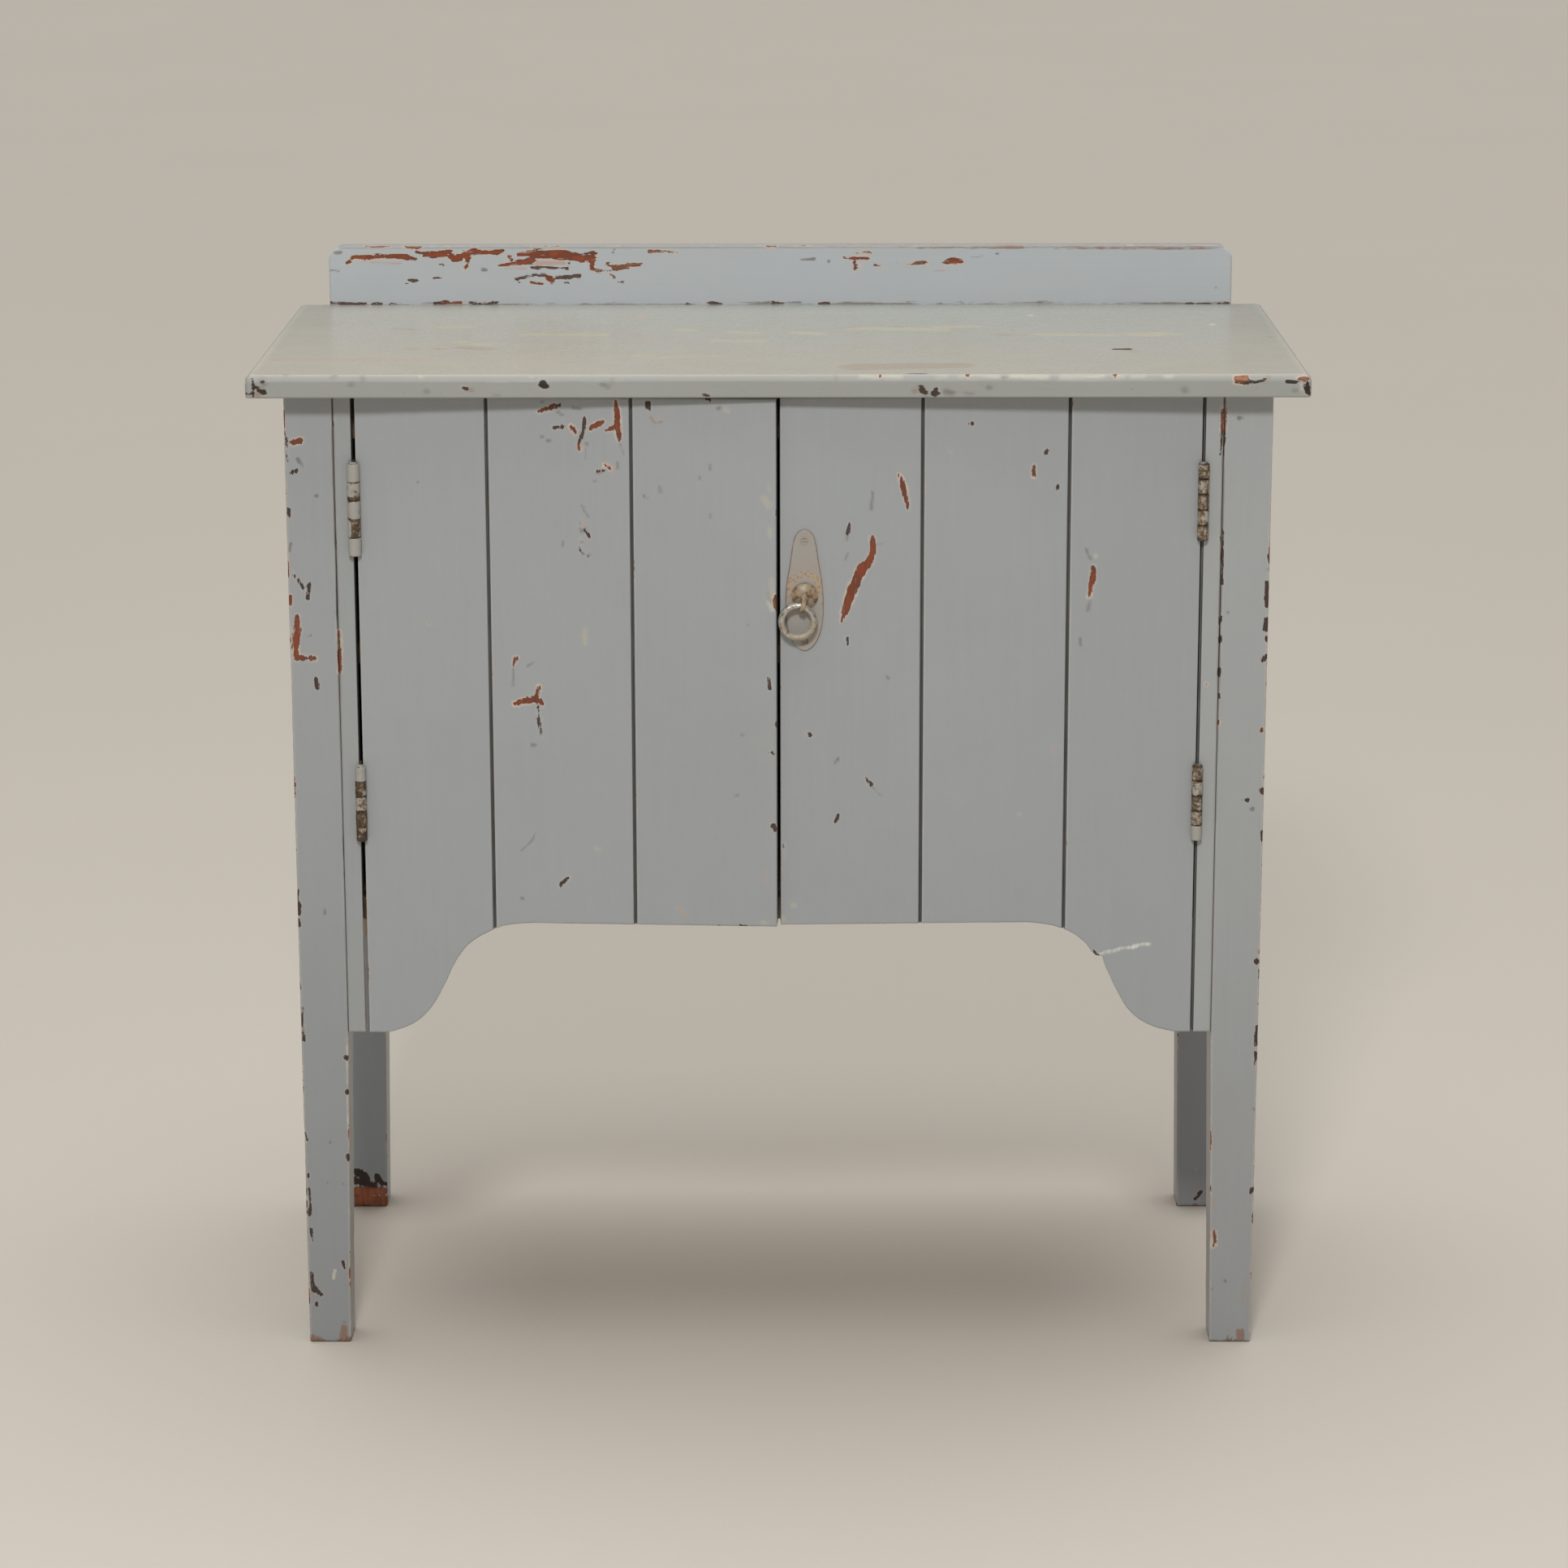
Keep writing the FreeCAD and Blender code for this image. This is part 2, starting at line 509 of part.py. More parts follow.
# ------------------------------------------------ doors turned a little open
for name, shp in P.items():
    if name.startswith(("left_door_", "bolt_")) or name in ("upper_left_hinge_door_leaf",
                                                            "lower_left_hinge_door_leaf"):
        shp.rotate(V(-PIN_X, PIN_Y, 0), V(0, 0, 1), -AJAR_L)
    elif name.startswith(("right_door_", "handle_", "latch_", "pull_")) or name in (
            "upper_right_hinge_door_leaf", "lower_right_hinge_door_leaf"):
        shp.rotate(V(PIN_X, PIN_Y, 0), V(0, 0, 1), AJAR_R)

# --------------------------------------------------------------------- export
for name in sorted(P):
    shp = P[name]
    if not shp.isValid():
        print("not valid:", name)
    ns = len(shp.Solids)
    bb = shp.BoundBox
    print("%-32s %d  x %.1f %.1f  y %.1f %.1f  z %.1f %.1f" % (
        name, ns, bb.XMin, bb.XMax, bb.YMin, bb.YMax, bb.ZMin, bb.ZMax))
    shp.exportStep("parts/%s.step" % name)
print(len(P), "nodes")
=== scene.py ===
import bpy
import math
import numpy as np
from mathutils import Matrix, Vector


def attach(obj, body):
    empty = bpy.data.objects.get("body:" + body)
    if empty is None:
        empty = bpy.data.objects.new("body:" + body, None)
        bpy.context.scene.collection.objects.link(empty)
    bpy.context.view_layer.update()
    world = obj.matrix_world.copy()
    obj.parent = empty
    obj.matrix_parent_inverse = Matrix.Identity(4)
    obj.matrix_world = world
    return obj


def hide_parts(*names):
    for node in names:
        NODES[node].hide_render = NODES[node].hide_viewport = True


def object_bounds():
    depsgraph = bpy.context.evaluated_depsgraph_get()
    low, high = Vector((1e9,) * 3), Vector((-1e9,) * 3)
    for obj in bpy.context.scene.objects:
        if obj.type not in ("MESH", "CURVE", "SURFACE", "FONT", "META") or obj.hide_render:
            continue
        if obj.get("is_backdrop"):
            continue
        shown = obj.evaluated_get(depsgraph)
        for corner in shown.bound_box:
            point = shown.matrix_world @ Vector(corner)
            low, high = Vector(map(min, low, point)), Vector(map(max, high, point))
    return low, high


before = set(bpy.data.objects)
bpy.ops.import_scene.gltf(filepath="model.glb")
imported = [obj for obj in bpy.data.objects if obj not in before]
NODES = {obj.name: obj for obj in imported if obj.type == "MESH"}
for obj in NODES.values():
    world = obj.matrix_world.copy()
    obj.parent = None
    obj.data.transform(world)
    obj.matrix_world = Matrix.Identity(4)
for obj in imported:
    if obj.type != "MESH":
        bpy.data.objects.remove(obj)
cad_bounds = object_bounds()

MM = 0.001
# ------------------------------------------------------------ sizes, mm, as in the CAD
TOP_W, TOP_D, TOP_T, TOP_Z = 860.0, 410.0, 18.5, 838.0
UNDER = TOP_Z - TOP_T
Y_FRONT, Y_BACK, YF = -214.0, 196.0, -186.0
CARC_X, LEG, LEG_FOOT, TAPER_Z = 402.5, 40.0, 35.5, 277.0
LX = CARC_X - LEG
YFR, YRF = YF + LEG, Y_BACK - LEG
DOOR_T, DOOR_X, DOOR_TOP = 16.0, 345.0, 817.5
GAP_L, GAP_R = -1.4, 1.4
FLAT_L, FLAT_R = 374.4, 374.0
JL, JR = (-237.4, -119.4), (117.6, 237.4)
LOBE_Z = 277.0
STILE_X, STILE_T = 348.0, 17.0
PIN_X, PIN_Y = 346.5, -190.0
AJAR = {-1: math.radians(-3.2), 1: math.radians(2.0)}
HINGES = {  # side, z0, height, knuckle radius, front edge of the leaves, paint left per knuckle (bottom up)
    "upper_left": (-1, 686.0, 76.2, 5.2, YF + 2.1, (0.82, 0.26, 0.72, 0.66, 0.80)),
    "lower_left": (-1, 444.8, 63.5, 4.5, YF + 1.4, (0.22, 0.18, 0.48, 0.22, 0.85)),
    "upper_right": (1, 698.3, 63.5, 4.5, YF + 1.4, (0.38, 0.46, 0.34, 0.46, 0.40)),
    "lower_right": (1, 445.2, 63.5, 4.5, YF + 1.4, (0.82, 0.42, 0.34, 0.48, 0.36)),
}
HANDLE_X, HANDLE_Z, PX = 21.45, 654.05, 21.25
TILT = math.radians(17.0)


def lin(r, g, b, k=0.886):
    """Surface colour, linear, of something seen as r, g, b in the light that falls on the doors."""
    def f(c):
        c = c / 255.0
        return (c / 12.92 if c <= 0.04045 else ((c + 0.055) / 1.055) ** 2.4)
    return tuple(min(0.95, f(c) / k) for c in (r, g, b))


# colour of each kind of wear mark, and how far it covers the paint; Q is painted shade along chip rims, and C on the
# top's nose is a painted highlight
CHIP = {"R": lin(138, 64, 32), "D": lin(50, 39, 33), "O": lin(158, 106, 68), "F": lin(170, 101, 65), "E": lin(30, 25, 22),
        "H": lin(222, 158, 112), "Q": lin(88, 43, 26)}
STAIN = {"G": (lin(108, 107, 104), 0.85), "C": (lin(190, 186, 170), 0.75), "Y": (lin(178, 172, 134), 0.42),
         "N": (lin(176, 146, 130), 0.42), "P": (lin(182, 146, 132), 0.8), "B": (lin(150, 138, 118), 0.55), "W": (lin(170, 166, 148), 0.55),
         "K": (lin(204, 204, 197), 0.9),
         "S": (lin(128, 96, 78), 0.8)}

# Wear marks by face: x1, z1, x2, z2, half widths at the two ends, kind.  On the top surface y stands
# for z.  R red-brown undercoat, Q painted shade along its rims, D dark, E darker, F bare foot, O and H bare ochre wood,
# G grey scuff, C cream (along the top's nose a painted highlight on worn paint), Y yellowed, N and P pinkish, B
# brownish.
MARKS = {
    "backboard": [
        (-385.8, 876, -379.9, 879.6, 1.4, 1.8, "R"), (-379.9, 879.6, -366.2, 880.3, 1.8, 2.2, "R"),
        (-366.2, 880.3, -335.1, 881, 2.2, 2.5, "R"), (-335.1, 881, -325, 878.8, 2.5, 1.1, "R"),
        (-364.1, 875.2, -337.4, 875.2, 1.1, 1.1, "P"), (-333.4, 890.4, -320.4, 889, 1.4, 1.4, "O"),
        (-324.1, 886.1, -317.7, 882.4, 1.1, 2.2, "R"), (-317.7, 882.4, -298.8, 883.1, 2.5, 3.3, "R"),
        (-298.8, 883.1, -293, 885.3, 2.9, 1.4, "R"), (-295.2, 883.9, -290.3, 878.1, 2.2, 2.9, "R"),
        (-290.3, 878.1, -281.5, 882.4, 2.9, 2.9, "R"), (-281.5, 883.1, -272.1, 884.6, 3.3, 2.9, "R"),
        (-272.1, 884.6, -252.5, 884.5, 2.9, 2.2, "R"), (-252.5, 884.5, -246.7, 886, 2.2, 1.1, "R"),
        (-279.4, 880.9, -278, 875.2, 2.9, 2.2, "R"), (-278, 875.2, -281, 869.4, 1.8, 0.7, "R"),
        (-303.4, 873.7, -300.5, 873, 1.1, 1.1, "D"), (-241.8, 880.9, -239.6, 878, 1.4, 1.8, "R"),
        (-249.8, 872.9, -232.4, 875.1, 1.1, 2.2, "R"), (-232.4, 875.1, -221.5, 878, 2.5, 3.6, "R"),
        (-232.3, 883.1, -221.5, 883.8, 1.8, 3.6, "R"), (-220.8, 882.7, -191.8, 882.7, 4.7, 4.7, "R"),
        (-191.8, 882.3, -177.4, 878.7, 4.7, 3.6, "R"), (-177.4, 878.7, -168.7, 880.1, 2.9, 2.5, "R"),
        (-173, 883, -163.6, 883, 1.8, 1.4, "R"), (-167.3, 882.3, -167.4, 870.7, 3.6, 2.5, "R"),
        (-167.4, 870.7, -164.5, 867.8, 2.2, 0.7, "R"), (-218, 875.1, -192.7, 875.1, 2.2, 2.2, "P"),
        (-221.7, 870.7, -189.1, 870.7, 0.9, 1.1, "D"), (-245.6, 870, -226.7, 870, 0.9, 0.9, "P"),
        (-188.3, 877.2, -188.4, 870.7, 1.1, 0.7, "D"), (-163.8, 867.8, -151.5, 867, 1.1, 1.1, "O"),
        (-154.3, 874.3, -145.7, 870.7, 1.8, 2.2, "O"), (-147.9, 870.7, -134.8, 872.8, 2.2, 2.2, "O"),
        (-134.8, 872.8, -124, 873.5, 1.8, 0.7, "O"), (-151.5, 865.6, -147.9, 862, 1.4, 1.1, "O"),
        (-149.4, 859.1, -140, 858.3, 1.1, 1.4, "D"), (-234.8, 860.6, -232.7, 857.7, 1.4, 1.4, "D"),
        (-232.7, 861.3, -225.4, 863.5, 1.4, 1.4, "D"), (-225.4, 863.5, -209.5, 864.2, 1.4, 1.4, "D"),
        (-209.5, 863.5, -203.7, 859.1, 1.8, 2.9, "R"), (-221.9, 857.7, -212.5, 856.9, 1.1, 1.1, "R"),
        (-199.3, 862, -179.1, 862.7, 1.4, 1.8, "D"), (-194.3, 856.9, -189.3, 856.9, 0.9, 0.9, "D"),
        (-334.1, 858.5, -323.9, 859.2, 1.4, 1.1, "D"), (-309.4, 862.1, -301.4, 862.1, 1.1, 1.8, "D"),
        (-397.2, 884.7, -391.4, 884.7, 1.4, 1.4, "G"), (-400.5, 868.8, -393.3, 868, 1.4, 1.1, "G"),
        (-147.7, 886.6, -149.2, 884.4, 1.4, 1.4, "G"), (-265.8, 868.6, -262.2, 868.6, 1.8, 1.8, "G"),
        (18.5, 877.7, 30.1, 878.4, 1.1, 1.4, "G"), (43.1, 876.3, 43.1, 875.5, 1.8, 1.8, "G"),
        (56.8, 879.1, 62.6, 878.4, 0.9, 1.1, "R"), (61.9, 878.4, 77.1, 879.1, 1.8, 1.8, "R"),
        (66.2, 879.1, 66.3, 867.5, 1.8, 0.7, "R"), (66.3, 872.6, 71.3, 871.9, 1.1, 0.9, "R"),
        (67.7, 884.9, 80, 884.2, 0.9, 0.7, "O"), (84.3, 872.6, 94.5, 871.8, 1.1, 1.1, "R"),
        (103.1, 874.7, 103.8, 874.7, 1.4, 1.4, "G"), (113.3, 873.3, 131.3, 874.7, 1.1, 1.4, "R"),
        (145.8, 874, 152.3, 876.1, 1.1, 3.3, "R"), (152.3, 876.1, 160.9, 876.1, 3.3, 2.3, "R"),
        (136.4, 867.5, 146.5, 868.2, 0.7, 0.7, "P"), (168.9, 879.7, 179.7, 880.4, 0.9, 0.9, "G"),
        (192.7, 882.6, 193.4, 882.6, 1.1, 1.1, "G"), (121.8, 888.5, 215.7, 888.4, 0.7, 0.9, "S"),
        (244.6, 887.6, 389.1, 887.5, 0.7, 0.9, "S"), (-116.6, 885.1, -91.3, 884.4, 0.9, 0.7, "O"),
        (-11.8, 890.1, -4.6, 890.1, 1.1, 1.1, "O"), (-369.5, 890.5, -347.9, 890.4, 0.9, 0.7, "O"),
        (-403.5, 839, -370.8, 838.9, 1.4, 1.7, "D"), (-363.6, 838.6, -356.3, 838.6, 1.6, 1.4, "D"),
        (-349.1, 838.6, -339.6, 838.5, 1.3, 1.4, "D"), (-308.5, 838.5, -301.9, 838.5, 1.3, 1.3, "D"),
        (-300.4, 839.6, -285.9, 839.6, 1.3, 1.2, "R"), (-276.5, 839.2, -252.6, 839.2, 1.1, 1.3, "D"),
        (-149.6, 839.4, -140.2, 839.4, 0.9, 0.9, "G"), (-83, 838.3, -79.3, 838.3, 1.2, 1.2, "D"),
        (-66.3, 839.3, -53.2, 837.9, 0.7, 1.6, "D"), (-19.2, 839.3, -8.3, 839.3, 1, 1, "G"),
        (-6.1, 838.6, 2.6, 838.6, 1.9, 1.6, "D"), (2.6, 839.3, 18.5, 839.3, 0.9, 0.7, "G"),
        (35.2, 838.9, 42.4, 838.1, 1.3, 1.6, "D"), (133, 838.4, 143.9, 838.4, 0.9, 0.9, "G"),
        (160.5, 839.1, 164.1, 838.4, 1, 0.9, "G"), (321.3, 838.6, 346.7, 838.6, 0.6, 0.6, "G"),
        (363.4, 837.8, 382.9, 837.8, 1.4, 1.3, "D"), (391.6, 837.8, 400.3, 837.8, 1, 1.4, "D"),
    ],
    "top_front": [
        (-189.2, 830.7, -187.2, 830, 3.6, 3.3, "E"), (-359.7, 836.8, -356.4, 837.4, 1.3, 1.3, "G"),
        (-334.9, 836.1, -334.2, 835.4, 1.6, 1.6, "G"), (-344.1, 830.8, -343.5, 830.8, 1.3, 1.3, "G"),
        (-60.5, 822, -55.9, 822, 1.6, 1.6, "D"), (46.7, 835.7, 46.7, 835.1, 1.3, 1.3, "G"),
        # The C marks along the nose, z 836.4 to 836.7, are painted highlights where the rounded arris catches the
        # light, on worn paler paint.
        (327, 826.2, 328.3, 826.2, 1.6, 1.6, "G"), (66.3, 836.7, 78.1, 836.7, 0.8, 1, "C"),
        (87.2, 836.7, 99, 836.6, 1.2, 1.2, "C"), (128.4, 836.6, 135.6, 836, 1, 0.9, "C"),
        (146.6, 836.6, 177.3, 836.6, 1, 1.2, "C"), (188.4, 836.6, 216.5, 836.5, 1.2, 1.2, "C"),
        (228.3, 836.5, 262.2, 836.5, 1.2, 1.2, "C"), (273.9, 836.5, 277.9, 836.5, 1, 1, "C"),
        (285, 836.5, 294.8, 836.5, 0.9, 0.9, "C"), (312.5, 836.4, 317, 836.4, 0.9, 0.9, "C"),
        (82, 837, 82.7, 837, 1, 1, "O"), (152.5, 837.6, 153.2, 836.9, 1.3, 1.3, "O"),
        (271.3, 837.5, 272, 836.8, 1.4, 1.4, "O"), (-287.7, 838.7, -287.1, 837.4, 1, 1, "O"),
        (-397.5, 839.5, -396.3, 838.1, 1.3, 1.3, "G"), (-423.3, 835.2, -422.7, 829.6, 1.37, 1.5, "D"),
        (-422.7, 829.6, -423.5, 822.3, 1.18, 1.7, "E"), (-428.1, 823.3, -422.9, 821.7, 1.05, 1.44, "E"),
        (-422.7, 829.9, -417.5, 826, 1.5, 1.7, "E"), (-418.2, 826, -414.3, 824.6, 1.7, 2.48, "E"),
        (-416.3, 833.5, -413.4, 832.9, 1.96, 2.09, "G"), (-415.7, 833.5, -413.7, 833.2, 1.37, 1.5, "D"),
        (-414.8, 831.6, -414.9, 827.6, 1.05, 1.18, "G"), (-422.2, 824, -418.9, 822.7, 1.57, 1.57, "S"),
        (-359.7, 836.8, -356.4, 837.4, 1.31, 1.31, "G"), (-283.4, 825.5, -282.8, 825.2, 1.57, 1.57, "G"),
        (-253.3, 828.1, -250.1, 827.1, 1.44, 1.31, "D"), (-249.4, 826.5, -246.8, 825.8, 1.05, 0.92, "S"),
        (-228.6, 822.1, -224.6, 822.1, 1.05, 1.05, "G"), (-140.8, 830.3, -136.9, 828, 1.31, 1.18, "G"),
        (-133.6, 834.9, -132.9, 834.6, 0.85, 0.85, "S"), (109.5, 825.8, 110.2, 824.8, 1.18, 1.18, "S"),
        (114.7, 828.1, 116.7, 825.8, 1.96, 2.74, "D"), (116.7, 825.8, 119.3, 823.1, 2.75, 1.7, "D"),
        (114.4, 827.8, 119.3, 822.5, 3.01, 2.48, "G"), (127.1, 827.1, 127.2, 823.8, 2.35, 3.27, "D"),
        (124.5, 822.8, 130.4, 822.8, 1.57, 1.57, "D"), (135.6, 824.4, 140.2, 823.1, 2.61, 2.22, "G"),
        (136.9, 825.1, 138.9, 823.8, 1.57, 1.44, "G"), (151.3, 822.4, 156.6, 822.4, 1.57, 1.57, "G"),
        (169.9, 828.4, 170.6, 827.7, 1.7, 1.7, "G"), (169.9, 827.7, 170.2, 827.4, 0.78, 0.78, "S"),
        (149.3, 831.7, 150.6, 830.4, 1.18, 1.18, "N"), (181.3, 835.3, 181.9, 834.9, 0.98, 0.98, "S"),
        (369, 835, 377.1, 835, 2.16, 2.09, "H"), (367.7, 832.2, 373.3, 831.8, 0.91, 1.05, "R"),
        (372.6, 831.8, 378.5, 831.8, 1.05, 1.24, "D"), (377.2, 832, 385.7, 832.2, 1.44, 1.57, "E"),
        (385, 832.4, 392.2, 834.1, 1.37, 1.24, "D"), (391.5, 834.1, 394.7, 835.7, 0.85, 0.98, "S"),
        (409.2, 832.7, 417.6, 832.7, 1.31, 1.37, "E"), (418.9, 834.3, 426.1, 834.7, 1.31, 1.83, "O"),
        (423.6, 828.8, 427, 824.2, 1.31, 2.22, "E"), (425.8, 831.4, 427.7, 823.5, 1.57, 2.09, "E"),
        (416.3, 825.2, 416.9, 825.2, 1.96, 1.96, "G"), (421.4, 829.1, 421.5, 826.8, 1.18, 1.18, "K"),
    ],
    "top_surface": [
        (-291.1, 56.8, -266.6, 56.6, 7, 5.6, "Y"), (-270.1, -28.6, -267.3, -28.6, 8.2, 6.9, "Y"),
        (-256.1, -42.5, -242.4, -42.6, 6.8, 5.5, "Y"), (-215, 13.2, -152.6, 12.8, 8.3, 8.3, "Y"),
        (-115.1, -106.8, -109.7, -106.8, 9.4, 8.1, "Y"), (-93.3, -115.8, -53.2, -111.6, 6.7, 5.4, "Y"),
        (-54.8, -25.4, -17.1, -25.7, 6.9, 9.6, "Y"), (-38.4, 26.2, -21, 21.3, 8.3, 7, "Y"),
        (-84, 40.9, -76.9, 36, 8.4, 7, "Y"), (17.2, 21.1, 34.5, 16.2, 9.7, 8.3, "Y"),
        (62.5, 44.6, 97.5, 44.4, 9.8, 11.2, "Y"), (104.4, 44.3, 139.2, 39.3, 11.2, 9.8, "Y"),
        (139.6, 53.7, 167.8, 58.4, 9.8, 8.4, "Y"), (190.2, 10.4, 193.5, 5.6, 6.9, 6.9, "B"),
        (221.4, 10.2, 283.3, 5, 8.3, 8.3, "Y"), (303, 9.6, 318.2, 9.5, 11.1, 13.8, "Y"),
        (325.4, 14.2, 338.9, 9.3, 9.7, 6.9, "Y"), (48.6, 49.5, 61.2, 49.5, 4.2, 5.6, "B"),
        (101.2, 58.8, 104.5, 49.1, 5.6, 5.6, "B"), (66.9, -169.3, 146.4, -161.1, 19.8, 15.9, "B"),
        (282.1, -73.5, 291.6, -73.6, 4.7, 4.7, "D"), (291.3, -78.1, 297.4, -87.2, 4.1, 4.1, "B"),
        (-121.8, 124.4, -120.6, 109.4, 4.3, 4.3, "N"), (-121.2, 7.8, -110.5, -1.7, 6.2, 6.2, "N"),
        (-414.3, 9.8, -409.9, -4.3, 3.5, 3.5, "N"), (-414, -126.9, -360.4, -127.3, 6, 6, "N"),
        (-360.4, -127.3, -347, -127.4, 8, 8, "N"), (-347, -127.4, -286.8, -127.8, 5.3, 4, "N"),
        (407.3, 110.6, 412.3, 110.5, 5, 5, "N"), (384.3, 13.8, 387.3, 9, 3.5, 3.5, "N"),
        (-265, -60.8, -244, -70, 8.2, 8.2, "B"), (-284.7, -69.7, -283.3, -69.7, 6.8, 5.4, "B"),
        (-308.5, -69.6, -305.1, -69.6, 5.4, 5.4, "B"), (-328.8, 47.4, -314.5, 42.5, 7, 5.6, "B"),
        (346.3, -192.4, 349.9, -196.7, 3.9, 3.9, "N"), (417, -5.3, 417.2, -10, 3.4, 3.4, "B"),
        (220.2, 126.9, 219.9, 121.9, 2.9, 2.9, "C"), (374.1, 71.5, 373.9, 61.7, 2.8, 2.8, "C"),
        (96.9, -156.5, 110.7, -160.9, 4, 3.3, "B"), (105.7, -207.9, 118.7, -207.9, 3.3, 3.3, "D"),
        (171, -208.3, 184.1, -208.4, 2.6, 2.6, "B"),
    ],
    "leg_fl": [
        (-395.1, 779.1, -389.1, 780.5, 2, 2.3, "R"), (-390.9, 765.1, -387.7, 759.7, 2, 2, "G"),
        (-397.8, 753.7, -392.5, 755.7, 1.17, 2.07, "D"), (-378.4, 734.8, -375.8, 734.8, 1.3, 1.3, "G"),
        (-400.3, 782.5, -399.9, 774.4, 0.9, 0.9, "D"), (-400.6, 771.8, -400.2, 763.7, 0.9, 0.9, "D"),
        (-400.6, 724.1, -400.1, 719.4, 1.8, 2.07, "D"), (-399.5, 695.1, -401, 688.3, 1.7, 1.3, "G"),
        (-399.5, 671.4, -397.6, 668, 1.17, 1.53, "D"), (-394.3, 665.3, -390.5, 658.5, 1.17, 1.53, "D"),
        (-385.1, 661.2, -386.1, 649.6, 1.8, 1.8, "D"), (-401.4, 651, -401.6, 644.2, 1.3, 1.3, "R"),
        (-395.8, 634, -396.1, 623.8, 2, 3, "R"), (-396.1, 623.8, -397.9, 608.7, 3.3, 3, "R"),
        (-397.9, 608.7, -397.5, 598.5, 2.3, 2, "R"), (-396.8, 599.1, -382.1, 599.1, 2.3, 2.1, "R"),
        (-389, 616.9, -384.9, 618.3, 1, 1, "G"), (-381.2, 581.3, -380.8, 573.8, 1.53, 1.8, "D"),
        (-401.8, 492.3, -401.2, 490.2, 1.8, 1.8, "D"), (-401.7, 400.8, -401.9, 391.6, 0.9, 1.08, "D"),
        (-401.3, 390.2, -401.6, 380.4, 1.53, 1.53, "D"), (-401.7, 374.7, -401.2, 370.5, 1.53, 1.53, "D"),
        (-379.8, 383.9, -379.9, 380.4, 1.2, 1.2, "G"), (-403.2, 321, -402, 315.3, 1.53, 1.26, "D"),
        (-401.1, 298.2, -400.5, 269.7, 1.35, 1.26, "D"), (-401.4, 188.5, -400.2, 181.3, 1.26, 0.99, "D"),
        (-399.7, 150.9, -399.7, 148.7, 1.62, 1.62, "D"), (-399.4, 137.8, -399, 126.9, 1.26, 1.35, "D"),
        (-399, 124, -399.3, 113.8, 1.53, 1.26, "D"), (-398.3, 101.4, -397.9, 90.5, 1.53, 1.26, "D"),
        (-399.3, 62.6, -397, 46.5, 1.35, 2.16, "D"), (-397, 46.5, -391.5, 42.8, 2.16, 1.98, "D"),
        (-395.9, 34.7, -395.9, 34, 2.16, 2.16, "D"), (-379.2, 64.8, -380.8, 57.5, 1.68, 1.68, "C"),
        (-372.1, 72.2, -371.5, 66.3, 1.53, 1.26, "D"), (-364.7, 254.7, -364.7, 254, 1.89, 1.89, "D"),
        (-365.5, 224.5, -365.5, 223.8, 1.71, 1.71, "D"), (-365.5, 166.8, -364.9, 164.7, 2.43, 2.34, "D"),
        (-370.3, 142.2, -370.3, 142.2, 1.4, 1.4, "G"), (-383.4, 143.6, -383.4, 142.9, 1.2, 1.2, "G"),
        (-380.3, 179.9, -380.4, 179.1, 1.2, 1.2, "G"), (-403, 4.5, -391.3, 0, 2.8, 3.5, "S"),
        (-372.9, 12.6, -373.2, 0.8, 3, 4.2, "S"), (-372.1, 17.7, -372.1, 17, 1.4, 1.4, "G"),
        (-361.5, 621.7, -361.2, 606.6, 1, 1.7, "R"), (-361.2, 606.6, -361.7, 587.5, 2, 1.3, "R"),
        (-364.1, 264, -364.9, 231.7, 0.8, 0.8, "C"), (-364.9, 220.9, -365.1, 184.9, 0.8, 0.8, "C"),
    ],
    "leg_fr": [
        (369.1, 637.5, 369.1, 636.8, 1.6, 1.6, "G"), (374.1, 798.4, 377.4, 798.4, 1.3, 1.3, "G"),
        (401.2, 684.3, 402.7, 679.5, 2, 2, "D"), (401.5, 674.1, 401.5, 672.1, 1.3, 1.3, "G"),
        (400.5, 661.9, 400.7, 650.4, 2.3, 2.3, "D"), (400.7, 650.4, 400.3, 642.2, 3, 2, "D"),
        (401.2, 631.3, 400.7, 623.2, 2, 3, "D"), (401.6, 615.6, 401.6, 614.3, 1.9, 1.9, "D"),
        (399.4, 597.2, 402.6, 600.6, 2, 2, "D"), (399.5, 538.1, 399.5, 537.4, 1.5, 1.5, "R"),
        (400.7, 486.2, 400.8, 484.9, 2.8, 2.8, "D"), (386.8, 477.9, 388.8, 477.9, 2, 2, "D"),
        (392.3, 470.3, 393.7, 470.3, 1.6, 1.6, "G"), (402.3, 450.1, 402.4, 444.5, 1.8, 1.8, "D"),
        (399.5, 338.4, 400.9, 338.4, 2.7, 2.7, "D"), (401.7, 331.3, 401.9, 324.2, 1, 1, "D"),
        (401.6, 281.5, 402, 265.1, 2.2, 1.7, "D"), (401.5, 258, 400.3, 248, 1.7, 1.7, "D"),
        (399.9, 209.2, 400.6, 208.5, 1.5, 1.5, "G"), (400.9, 137.7, 398.9, 134, 1.8, 1.4, "D"),
        (368.1, 128.2, 368.9, 119.5, 1.5, 1.5, "B"), (369.4, 99.8, 369, 86.7, 1.47, 1.82, "O"),
        (368.4, 47.9, 368.4, 47.1, 1.4, 1.4, "G"), (396, 51.5, 395.6, 39, 1.5, 1.8, "B"),
        (393.5, 9, 394.4, 2, 3.6, 3.5, "S"), (379.3, 55.2, 380, 54.5, 1.4, 1.4, "G"),
        (363.3, 807.1, 363.1, 788.4, 0.7, 1.5, "R"), (363.1, 788.4, 362.2, 768.4, 1.6, 1.1, "D"),
        (362.9, 707.9, 363.9, 660.6, 0.8, 0.8, "D"), (363.8, 633.4, 363.3, 626.6, 1.2, 1.2, "D"),
        (362.9, 616.4, 362.3, 611.6, 1.5, 1.5, "D"), (363.5, 589, 363.6, 584.2, 1.5, 1.5, "D"),
